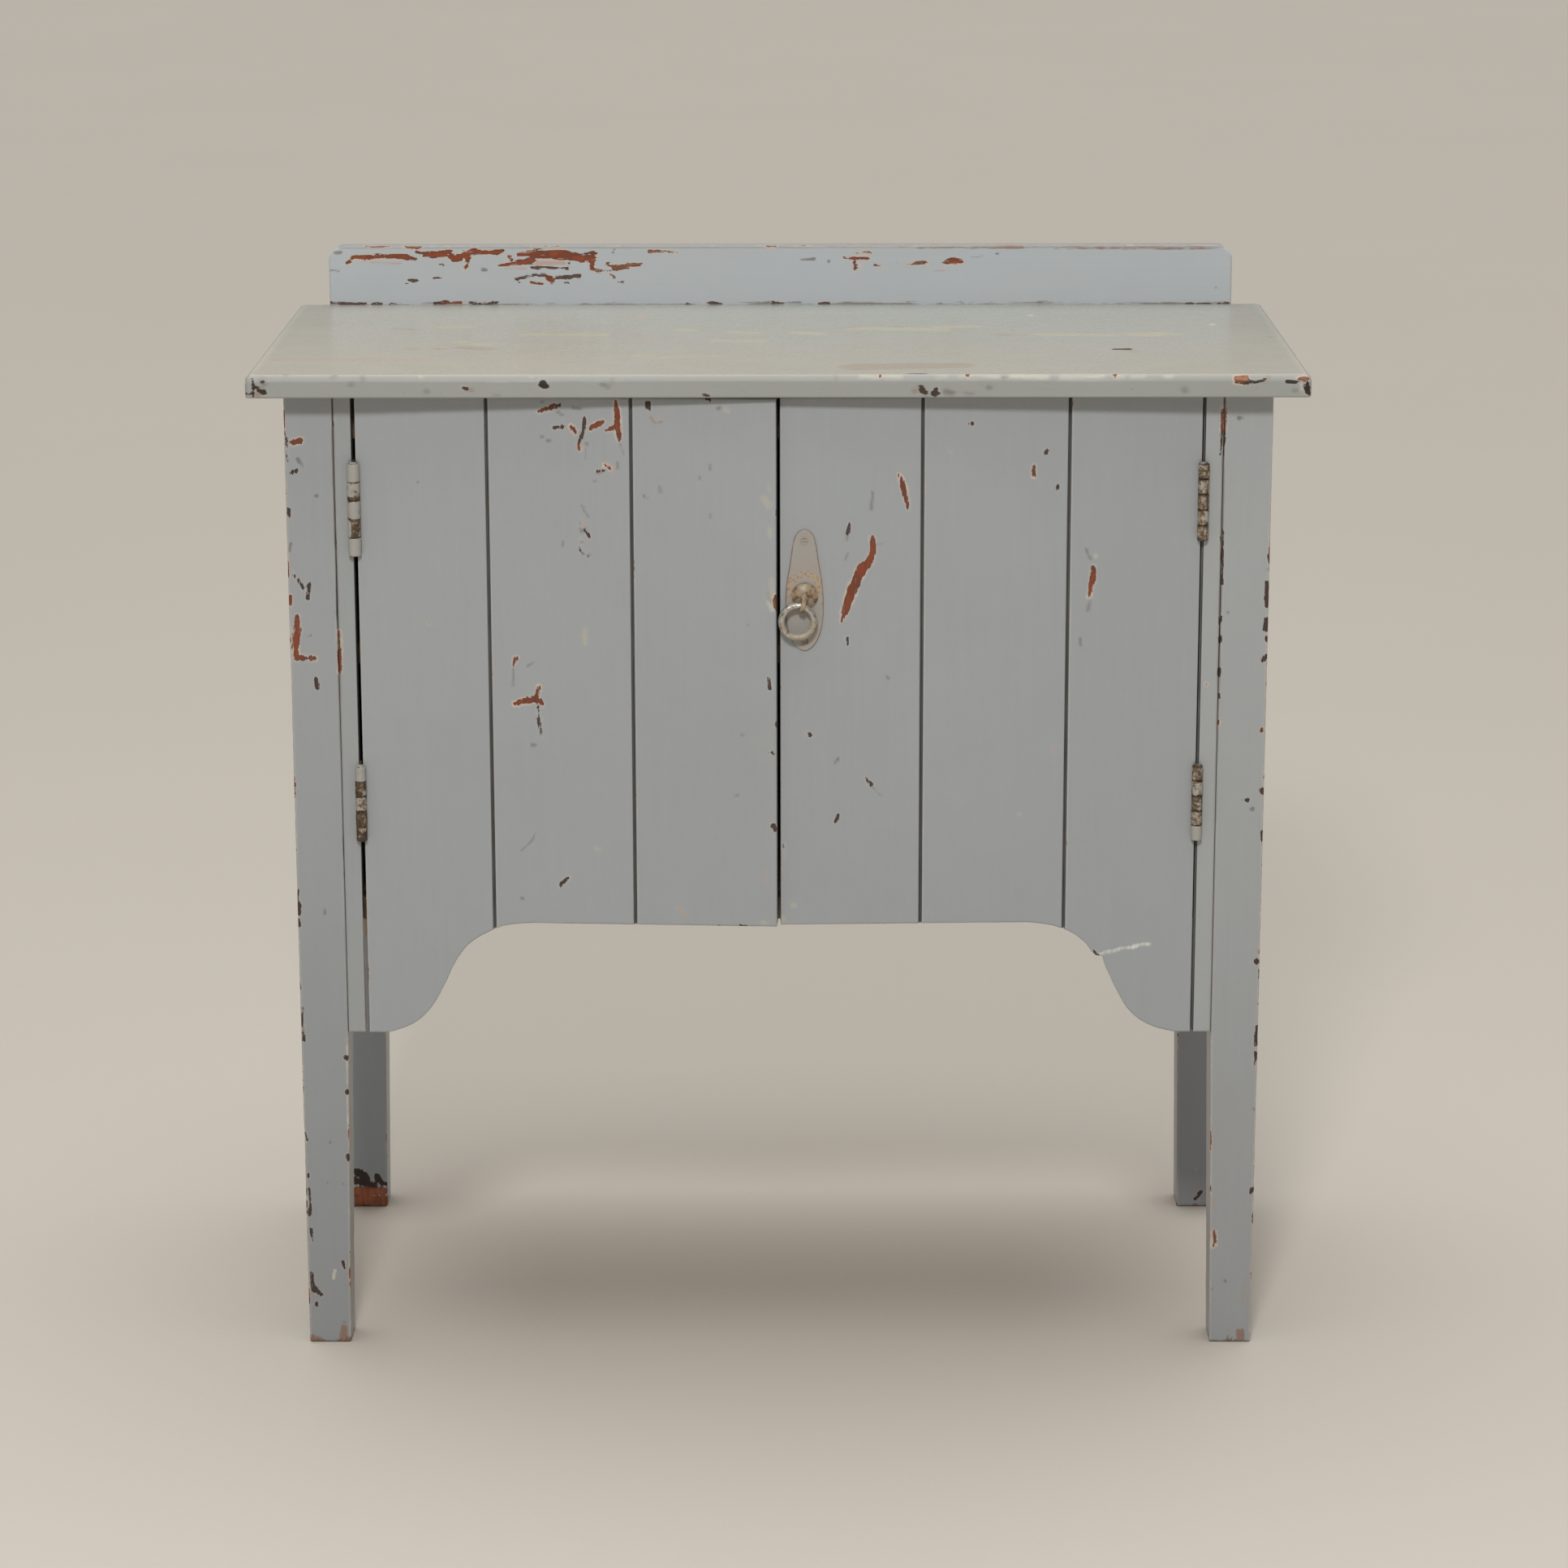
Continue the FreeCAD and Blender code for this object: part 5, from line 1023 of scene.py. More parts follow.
def metal_under_paint(name, paint_left=None, iron=lin(62, 52, 44), rust=lin(104, 82, 64),
                      paint=lin(150, 149, 144), metallic=0.0, seed=0.0):
    """Iron whose paint has worn off; the mesh's pale field says how much is left."""
    T = Tree(name)
    co = T.shifted(T.co, (seed, seed, seed)) if seed else T.co
    n1 = T.noise(190.0, 4.0, 0.65, co)
    n2 = T.noise(620.0, 3.0, 0.6, co)
    n3 = T.noise(70.0, 2.0, 0.5, co)
    left = T.attr("pale").outputs["Fac"] if paint_left is None else paint_left
    m = T.add(T.add(left, T.mad(n1, 1.9, -0.95)), T.mad(n2, 0.5, -0.25))
    mask = T.step(m, 0.44, 0.52)
    rim = T.mul(T.step(m, 0.30, 0.45), T.sub(1.0, mask))
    under = T.mix(T.step(n1, 0.45, 0.62), iron, rust)
    under = T.mix(T.mul(T.step(n2, 0.52, 0.7), 0.45), under, lin(142, 124, 100))
    light = T.step(T.attr("pale").outputs["Fac"], 0.24, 0.36)
    under = T.mix(T.mul(light, 0.45), under, T.mix(T.step(n2, 0.42, 0.6), lin(96, 80, 64), lin(168, 148, 122)))
    col = T.mix(T.mul(rim, 0.65), under, lin(158, 138, 112))
    pc = T.mix(1.0, paint, T.gray(T.mad(n3, 0.2, 0.9)), "MULTIPLY")
    pc = T.mix(T.mul(T.step(n2, 0.5, 0.75), 0.25), pc, lin(150, 138, 118))
    col = T.mix(mask, col, pc)
    T.link(col, T.bsdf.inputs["Base Color"])
    T.link(T.mad(mask, -0.22, 0.62), T.bsdf.inputs["Roughness"])
    T.link(T.mul(T.sub(1.0, mask), 0.35), T.bsdf.inputs["Metallic"])
    h = T.add(T.mul(mask, 0.12), T.add(T.mul(n2, 0.05), T.mul(n1, 0.06)))
    T.link(T.bump(h, 1.0, 0.001), T.bsdf.inputs["Normal"])
    return T.mat


def ring_metal(name):
    """Plated ring worn dull, with paint and grime left in patches."""
    T = Tree(name)
    n1 = T.noise(230.0, 4.0, 0.6)
    n2 = T.noise(90.0, 3.0, 0.55)
    n3 = T.noise(1400.0, 2.0, 0.6)
    z = T.axis("Z")
    low = T.step(z, 0.634, 0.622)
    patch = T.step(T.add(n2, T.mul(low, 0.16)), 0.50, 0.60)
    col = T.mix(patch, (0.50, 0.485, 0.45), lin(150, 141, 126))
    col = T.mix(T.mul(T.step(n1, 0.54, 0.68), 0.75), col, (0.11, 0.09, 0.07))
    col = T.mix(T.mul(T.step(n3, 0.6, 0.8), 0.3), col, (0.7, 0.68, 0.62))
    T.link(col, T.bsdf.inputs["Base Color"])
    T.link(T.mad(patch, -0.7, 0.8), T.bsdf.inputs["Metallic"])
    T.link(T.add(T.mad(n1, 0.25, 0.18), T.mul(patch, 0.15)), T.bsdf.inputs["Roughness"])
    T.link(T.bump(T.add(T.mul(n1, 0.12), T.mul(patch, 0.08)), 1.0, 0.001), T.bsdf.inputs["Normal"])
    return T.mat


def plate_metal(name):
    """The long back plate: thick old paint, pinkish beige, rubbed through to brown at the rim."""
    T = Tree(name)
    n1 = T.noise(160.0, 4.0, 0.6)
    n2 = T.noise(480.0, 3.0, 0.6)
    n3 = T.noise(55.0, 2.0, 0.5)
    edge = T.attr("edge").outputs["Fac"]
    boss = T.attr("near_boss").outputs["Fac"]
    col = T.mix(T.step(n3, 0.38, 0.62), lin(146, 144, 139), lin(149, 141, 134))
    col = T.mix(T.mul(T.step(n1, 0.48, 0.70), 0.55), col, lin(144, 145, 142))
    e = T.add(T.mul(edge, 0.8), T.mad(n1, 0.9, -0.45))
    brown = T.step(e, 0.42, 0.62)
    col = T.mix(T.mul(T.step(e, 0.16, 0.42), 0.55), col, lin(158, 141, 129))
    col = T.mix(T.mul(brown, 0.6), col, lin(118, 98, 84))
    o = T.step(T.add(boss, T.mad(n1, 0.9, -0.45)), 0.55, 0.8)
    col = T.mix(T.mul(o, 0.62), col, T.mix(T.step(n2, 0.46, 0.66), lin(166, 144, 118), lin(118, 92, 70)))
    spot = T.mul(T.step(n2, 0.64, 0.70), T.step(n1, 0.5, 0.6))
    col = T.mix(T.mul(spot, 0.7), col, lin(110, 80, 60))
    T.link(col, T.bsdf.inputs["Base Color"])
    T.link(T.mad(n1, 0.2, 0.32), T.bsdf.inputs["Roughness"])
    h = T.add(T.mul(n1, 0.10), T.add(T.mul(n2, 0.04), T.mul(brown, -0.10)))
    T.link(T.bump(h, 1.0, 0.001), T.bsdf.inputs["Normal"])
    return T.mat


def dark_iron(name, base=(0.05, 0.045, 0.042), seed=0.0, metallic=0.55):
    T = Tree(name)
    co = T.shifted(T.co, (seed, seed, 0.0)) if seed else T.co
    n1 = T.noise(120.0, 4.0, 0.6, co)
    n2 = T.noise(800.0, 3.0, 0.6, co)
    col = T.mix(T.step(n1, 0.42, 0.70), base, (0.13, 0.07, 0.04))
    col = T.mix(T.mul(T.step(n2, 0.55, 0.8), 0.35), col, (0.2, 0.17, 0.14))
    T.link(col, T.bsdf.inputs["Base Color"])
    T.bsdf.inputs["Metallic"].default_value = metallic
    T.link(T.mad(n1, 0.3, 0.36), T.bsdf.inputs["Roughness"])
    T.link(T.bump(T.add(T.mul(n1, 0.12), T.mul(n2, 0.04)), 1.0, 0.001), T.bsdf.inputs["Normal"])
    return T.mat


# On the doors the stronger, paler rub on the arrises is worn paint and a painted highlight along the board lips.
M_DOOR = painted("paint_door", "Z", wear=0.30, rag=1.15, soft=1.2, halo=0.72, rub_and_light_k=1.5, rub_and_light_c=lin(182, 181, 173))
M_DOOR2 = painted("paint_door_inner_board", "Z", wear=0.34, rag=1.15, grime=1.0, seed=2.3, soft=1.6,
                  rub_and_light_k=1.5, rub_and_light_c=lin(182, 181, 173))
# Leg tints by quarter are painted light: the front left darker, the front right and the rear left lighter, the rear
# left bluer; the legs are also painted darker towards the foot.
M_LEG = painted("paint_leg", "Z", wear=0.52, foot=True, rag=1.4, seed=5.1, umber=0.1, joint=(LX * MM, 1.7),
                smeared=3.0,
                painted_light_by_quarter=((0.96, 0.955, 0.955), (1.055, 1.04, 1.03), (1.08, 1.16, 1.22)))
# Stile tints are painted light: the left stile darker, the right one lighter.
M_STILE = painted("paint_stile", "Z", wear=0.28, rag=1.1, seed=3.3, joint=(LX * MM, 1.7), umber=0.1, red_k=0.6,
                  groove_dark_c=lin(62, 60, 57),
                  painted_light_by_quarter=((0.945, 0.935, 0.925), (1.055, 1.04, 1.02), (1.0, 1.0, 1.0)))
# The top's tints are painted light with yellowed paint; its darker rub colour is a painted shade that dims the
# highlight on the nose arris.
M_TOP = painted("paint_top", "X", wear=0.50, rag=1.1, soft=2.6, gloss=0.27, grime=1.0, spots=0.2, seed=1.1,
                top_light_and_yellowing=((1.255, 1.135, 0.965), (1.03, 0.99, 0.87)), relief=0.03, rub_and_light_k=0.9, streaky=0.3,
                smeared=4.0, umber=0.0, grit=0.25,
                rub_and_light_c=lin(142, 139, 130))
# The upstand's base is paler than the paint elsewhere: painted light, standing in for the light the top board throws up
# onto it.
M_BACK = painted("paint_upstand", "X", wear=0.40, rag=1.7, seed=4.2, halo=0.6,
                 base=(PAINT[0] * 1.42, PAINT[1] * 1.425, PAINT[2] * 1.44), upstand=True, pink=0.6, rub_and_light_k=0.3, umber=0.8, red_k=0.97)
M_SIDE = painted("paint_side", "Z", wear=0.40, rag=1.2, seed=6.6)
M_REAR = painted("paint_rear_boards", "X", wear=0.42, rag=1.2, seed=7.7, grime=1.0)
M_PINE_X = pine("pine_along_x", "X")
# The front rails' pine is darkened: painted shade, so the gaps around the doors read dark.
M_PINE_RAIL_PAINTED_SHADE = pine("pine_rail_painted_shade", "X", (0.24, 0.22, 0.20), seed=0.9)
M_PINE_Y = pine("pine_along_y", "Y", seed=1.7)
M_PINE_Z = pine("pine_along_z", "Z", (0.92, 0.9, 0.88), seed=3.9)
M_HINGE = metal_under_paint("hinge_worn_paint")
M_HINGE_IRON = metal_under_paint("hinge_bare_iron", paint_left=0.12, seed=0.7)
M_RING = ring_metal("ring_worn_plating")
M_PLATE = plate_metal("handle_plate_paint")
M_BOSS = metal_under_paint("handle_boss_paint", paint_left=0.45, iron=lin(104, 82, 62), rust=lin(148, 120, 90),
                           paint=lin(140, 126, 106), seed=1.9)
M_IRON = dark_iron("dark_iron")
M_STEEL = dark_iron("dull_screw_steel", (0.2, 0.19, 0.17), seed=2.0, metallic=0.7)
M_SCREW = metal_under_paint("painted_screw", paint_left=0.62, paint=lin(146, 138, 129), iron=lin(104, 84, 68), seed=3.1)


# ------------------------------------------------------------------ pieces
def oriented(V, quads, tris):
    """Faces turned outward: the signed volume of the closed mesh is made positive."""
    q = np.asarray(quads, int).reshape(-1, 4)
    t = np.asarray(tris, int).reshape(-1, 3)
    allt = np.concatenate([q[:, [0, 1, 2]], q[:, [0, 2, 3]], t])
    a, b, c = V[allt[:, 0]], V[allt[:, 1]], V[allt[:, 2]]
    if np.einsum("ij,ij->i", a, np.cross(b, c)).sum() < 0:
        q, t = q[:, ::-1], t[:, ::-1]
    return q, t


def pchip(xs, zs):
    """Smooth curve through points without overshoot, as a function of x."""
    xs, zs = np.array(xs, float), np.array(zs, float)
    h, d = np.diff(xs), np.diff(zs) / np.diff(xs)
    m = np.zeros(len(xs))
    for i in range(1, len(xs) - 1):
        if d[i - 1] * d[i] > 0:
            w1, w2 = 2 * h[i] + h[i - 1], h[i] + 2 * h[i - 1]
            m[i] = (w1 + w2) / (w1 / d[i - 1] + w2 / d[i])

    def f(x):
        if x <= xs[0]:
            return float(zs[0])
        if x >= xs[-1]:
            return float(zs[-1])
        i = int(np.searchsorted(xs, x) - 1)
        s = (x - xs[i]) / h[i]
        return float(zs[i] * (1 + 2 * s) * (1 - s) ** 2 + m[i] * h[i] * s * (1 - s) ** 2
                     + zs[i + 1] * s * s * (3 - 2 * s) + m[i + 1] * h[i] * s * s * (s - 1))
    return f


OGEE_L = pchip((-345, -332, -317, -304, -291.4, -280.8, -270.6, -259.5, -246, -228, -206, -190),
               (277, 277, 280.8, 287.6, 300.7, 319.4, 340.6, 355.2, 364.4, 371.9, FLAT_L, FLAT_L))
OGEE_R1 = pchip((190, 204, 226, 242.8, 255, 266.3), (FLAT_R, FLAT_R, 371.4, 365.6, 356.6, 344.4))
OGEE_R2 = pchip((266.4, 271.3, 272.4, 275.9, 283.3, 293, 305.5, 320.5, 336, 345),
                (344.4, 343.2, 337.4, 329.1, 313.3, 297.2, 286.4, 279.9, 277, 277))


def door_bottom(side):
    if side < 0:
        return OGEE_L
    return lambda x: OGEE_R1(x) if x < 266.35 else OGEE_R2(x)


def hinge_clear(side):
    """Pushes wood near the pin line out to a round clearance along each hinge."""
    def f(u, w, v):
        x, y = u - side * PIN_X, YF + w - PIN_Y
        for nm, (s, z0, h, kr, yf, pale) in HINGES.items():
            if s != side:
                continue
            R = kr + 0.5
            rr = np.hypot(x, y)
            hit = (v > z0 - 0.8) & (v < z0 + h + 2.2) & (rr < R)
            k = np.where(hit, R / np.maximum(rr, 1e-6), 1.0)
            x, y = x * k, y * k
        return x + side * PIN_X, y + PIN_Y - YF
    return f


CRACK = [(266.0, 344.9), (272.5, 347.6), (279.0, 348.4), (286.5, 350.9), (295.0, 351.6), (303.0, 354.1),
         (309.6, 354.2)]
MARKS["dR_outer"] += [(a[0], a[1], b[0], b[1], 1.35, 1.15, "K") for a, b in zip(CRACK[:-1], CRACK[1:])]


def crack_depth(u, w, v):
    d = np.full(u.shape, 99.0)
    for (x1, z1), (x2, z2) in zip(CRACK[:-1], CRACK[1:]):
        bx, bz = x2 - x1, z2 - z1
        h = np.clip(((u - x1) * bx + (v - z1) * bz) / (bx * bx + bz * bz), 0, 1)
        d = np.minimum(d, np.hypot(u - x1 - bx * h, v - z1 - bz * h))
    return w + 0.45 * np.exp(-(d / 0.9) ** 2) * (w < 3)


def door_board(side, name, x0, x1, left, right, mat, marks, grid, seed, outer=False):
    zb = door_bottom(side)
    clear = hinge_clear(side)

    def notch(u, w, v):
        if name == "right_door_outer_board":
            w = crack_depth(u, w, v)
        if outer:
            u, w = clear(u, w, v)
        return u, w

    U, W, Z, q, t, fl, co = panel(x0, x1, DOOR_T, left, right, zb, lambda x: DOOR_TOP, grid[0], grid[1],
                                  seed=seed, notch=notch, marks=marks)
    # the arris on the left of each board, and the front of its top end, get more of the edge field: more wear there,
    # and a painted highlight on the lip that faces the light from the left; the right arris gets less
    fl["edge"] = np.clip(fl["edge"] * np.where((U < (x0 + x1) / 2) | (W < 0.001) & (Z > DOOR_TOP - 3), 1.25, 0.6), 0, 1)
    P = np.stack([U, YF + W, Z], -1)
    q, t = oriented(P, q, t)
    ob = make_mesh(name + "_painted", P, q, t, fl, co, (mat,))
    return place_piece(ob, "left_door" if side < 0 else "right_door", (name,), door=side)


F = (1.25, 1.25)
C = (1.9, 1.9)
door_board(-1, "left_door_outer_board", -DOOR_X, JL[0], END_SIDE, VEE_SIDE, M_DOOR, MARKS["dL_outer"], C, 11, True)
door_board(-1, "left_door_middle_board", JL[0], JL[1], VEE_SIDE, VEE_SIDE, M_DOOR, MARKS["dL_middle"], F, 12)
door_board(-1, "left_door_inner_board", JL[1], GAP_L, VEE_SIDE, END_SIDE, M_DOOR2, MARKS["dL_inner"], F, 13)
door_board(1, "right_door_inner_board", GAP_R, JR[0], END_SIDE, VEE_SIDE, M_DOOR, MARKS["dR_inner"], F, 14)
door_board(1, "right_door_middle_board", JR[0], JR[1], VEE_SIDE, VEE_SIDE, M_DOOR, MARKS["dR_middle"], C, 15)
door_board(1, "right_door_outer_board", JR[1], DOOR_X + 0.5, VEE_SIDE, END_SIDE, M_DOOR, MARKS["dR_outer"], F, 16, True)

for s, nm in ((-1, "left"), (1, "right")):
    for z0, z1, nn in ((700.0, 765.0, "upper"), (440.0, 505.0, "lower")):
        V, q, t = rounded_box(min(s * 45, s * 335), max(s * 45, s * 335), YF + DOOR_T, YF + DOOR_T + 16, z0, z1,
                              r=2.0, k=3, cells=(30, 2, 6))
        V[:, 1] -= 0.25 * (V[:, 1] > YF + DOOR_T + 8) * (0.5 + 0.5 * smooth_noise(V[:, 0], V[:, 2], 31 + s))
        node = "%s_door_%s_ledge" % (nm, nn)
        q, t = oriented(V, q, t)
        ob = make_mesh(node + "_wood", V, q, t, mats=(M_PINE_X,))
        place_piece(ob, nm + "_door", (node,), door=s)

# hanging stiles
for s, nm in ((-1, "left"), (1, "right")):
    a, b = (-LX + 0.15, -STILE_X) if s < 0 else (STILE_X - 1.8, LX - 0.15)
    U, W, Z, q, t, fl, co = panel(a, b, STILE_T, END_SIDE if s < 0 else LIP_SIDE, END_SIDE, lambda x: LOBE_Z, lambda x: UNDER, 1.25, 1.7,
                                  wavy=0.1, seed=21 + s, notch=hinge_clear(s),
                                  marks=MARKS["stile_l" if s < 0 else "stile_r"])
    P = np.stack([U, YF + W, Z], -1)
    q, t = oriented(P, q, t)
    ob = make_mesh("hinge_stile_%s_painted" % nm, P, q, t, fl, co, (M_STILE,))
    place_piece(ob, "carcass", ("hinge_stile_" + nm,))


# legs
def leg_piece(sx, front):
    name = "leg_%s_%s" % ("front" if front else "rear", "left" if sx < 0 else "right")
    r = 1.5
    fine_face = 0 if front else 2
    loop = []                       # A0, fa, B0, fb, face
    def face(k, n):
        f = np.linspace(0, 1, n + 1)[1:-1]
        for x in f:
            y = 1 - x
            if k == 0:
                loop.append((r - 2 * r * x, x, 0.0, 0.0, 0))
            elif k == 1:
                loop.append((0.0, 1.0, r - 2 * r * x, x, 1))
            elif k == 2:
                loop.append((r - 2 * r * y, y, 0.0, 1.0, 2))
            else:
                loop.append((0.0, 0.0, r - 2 * r * y, y, 3))
    def arc(k, n=5):
        for i in range(n + 1):
            th = math.pi / 2 * i / n
            s_, c_ = math.sin(th), math.cos(th)
            if k == 0:      # a = W, b = 0
                loop.append((-r + r * s_, 1.0, r - r * c_, 0.0, 10))
            elif k == 1:    # a = W, b = W
                loop.append((-r + r * c_, 1.0, -r + r * s_, 1.0, 11))
            elif k == 2:    # a = 0, b = W
                loop.append((r - r * s_, 0.0, -r + r * c_, 1.0, 12))
            else:           # a = 0, b = 0
                loop.append((r - r * c_, 0.0, r - r * s_, 0.0, 13))
    for k in range(4):
        face(k, (30 if front else 20) if k == fine_face else (14 if k in (1, 3) else 10))
        arc(k)
    Lp = np.array(loop)
    n = len(Lp)
    marks = MARKS[{(-1, True): "leg_fl", (1, True): "leg_fr", (-1, False): "leg_rl", (1, False): "leg_rr"}[(sx, front)]]
    if front:
        z = np.concatenate([[0, 0.45, 1.2], np.linspace(2.4, UNDER, 600)])
    else:
        z = np.concatenate([[0, 0.45, 1.2], np.linspace(2.4, 62, 44), np.linspace(66, UNDER, 150)])
    Wd = np.where(z >= TAPER_Z, LEG, LEG_FOOT + (LEG - LEG_FOOT) * z / TAPER_Z)[:, None]
    a = Lp[None, :, 0] + Lp[None, :, 1] * Wd
    b = Lp[None, :, 2] + Lp[None, :, 3] * Wd
    ins = np.interp(z, [0, 0.45, 1.2], [1.0, 0.4, 0.0])[:, None]
    a = Wd / 2 + (a - Wd / 2) * (1 - 2 * ins / Wd)
    b = Wd / 2 + (b - Wd / 2) * (1 - 2 * ins / Wd)
    fc = Lp[:, 4][None, :]
    corner = (fc >= 10)
    ids = {0: 0.0, 1: 60.0, 2: 120.0, 3: 180.0}
    zz = z[:, None] + 0 * a
    # worn arrises: short hollows along each corner
    for k in (10, 11, 12, 13):
        near = (fc == k)
        dent = np.clip(smooth_noise(zz, zz * 0 + 37.0 * k + 11 * sx, int(k * 7 + sx + 3 * front), 9, 0.006, 0.12), 0, 1)
        dent = 0.75 * np.clip(dent - 0.25, 0, 1) + 0.12
        a = np.where(near, a + (Wd / 2 - a) / (Wd / 2) * dent, a)
        b = np.where(near, b + (Wd / 2 - b) / (Wd / 2) * dent, b)
    flat = 0.12 * smooth_noise(zz * 0.4, a + b * 3, int(50 + sx + 5 * front))
    cx, cy = np.sign(Wd / 2 - a), np.sign(Wd / 2 - b)
    a = np.where((fc == 1) | (fc == 3), a + cx * (flat + 0.12), a)
    b = np.where((fc == 0) | (fc == 2), b + cy * (flat + 0.12), b)
    X = sx * (CARC_X - a)
    Y = (YF + b) if front else (Y_BACK - b)
    m = len(z)
    P = np.stack([X, Y, zz], -1).reshape(-1, 3)
    idx = np.arange(m * n).reshape(m, n)
    nx = np.roll(idx, -1, axis=1)
    q = np.stack([idx[:-1], nx[:-1], nx[1:], idx[1:]], -1).reshape(-1, 4)
    c0, c1 = m * n, m * n + 1
    cen = [[sx * (CARC_X - Wd[i, 0] / 2), (YF + Wd[i, 0] / 2) if front else (Y_BACK - Wd[i, 0] / 2), z[i]] for i in (0, -1)]
    P = np.concatenate([P, cen])
    t = [(c0, int(idx[0, (i + 1) % n]), int(idx[0, i])) for i in range(n)]
    t += [(c1, int(idx[-1, i]), int(idx[-1, (i + 1) % n])) for i in range(n)]
    # fields
    path = np.concatenate([[0], np.cumsum(np.hypot(np.diff(a[300 if front else 100]), np.diff(b[300 if front else 100])))])
    cen_arc = [np.mean(path[np.nonzero(Lp[:, 4] == k)[0]]) for k in (10, 11, 12, 13)]
    total = path[-1] + 1.0
    dd = np.min([np.minimum(np.abs(path - c), total - np.abs(path - c)) for c in cen_arc], 0)
    e = np.broadcast_to(np.exp(-np.clip(dd - 0.6, 0, None) / 1.3), (m, n))
    far = 1e4
    if front:
        U = np.where((fc == 0) | (fc == 10) | (fc == 13), X, np.where(fc == 3, sx * (CARC_X + b),
                     np.where(fc == 1, sx * (CARC_X - Wd - b), far)))
    else:
        U = np.where((fc == 2) | (fc == 11) | (fc == 12), X, np.where(fc == 3, sx * (CARC_X + Wd - b),
                     np.where(fc == 1, sx * (CARC_X - 2 * Wd + b), far)))
    chip, cc, stain, sc = mark_fields(U, zz, marks)
    pad = lambda v, k=1: np.concatenate([v.reshape(m * n, -1), np.zeros((2, v.reshape(m * n, -1).shape[1]))])
    q, t = oriented(P, q, t)
    ob = make_mesh(name + "_painted", P, q, t, {"edge": pad(e), "chip": pad(chip), "stain": pad(stain)},
                   {"chipc": pad(cc), "stainc": pad(sc)}, (M_LEG,))
    return place_piece(ob, "carcass", (name,))


for sx in (-1, 1):
    for fr in (True, False):
        leg_piece(sx, fr)


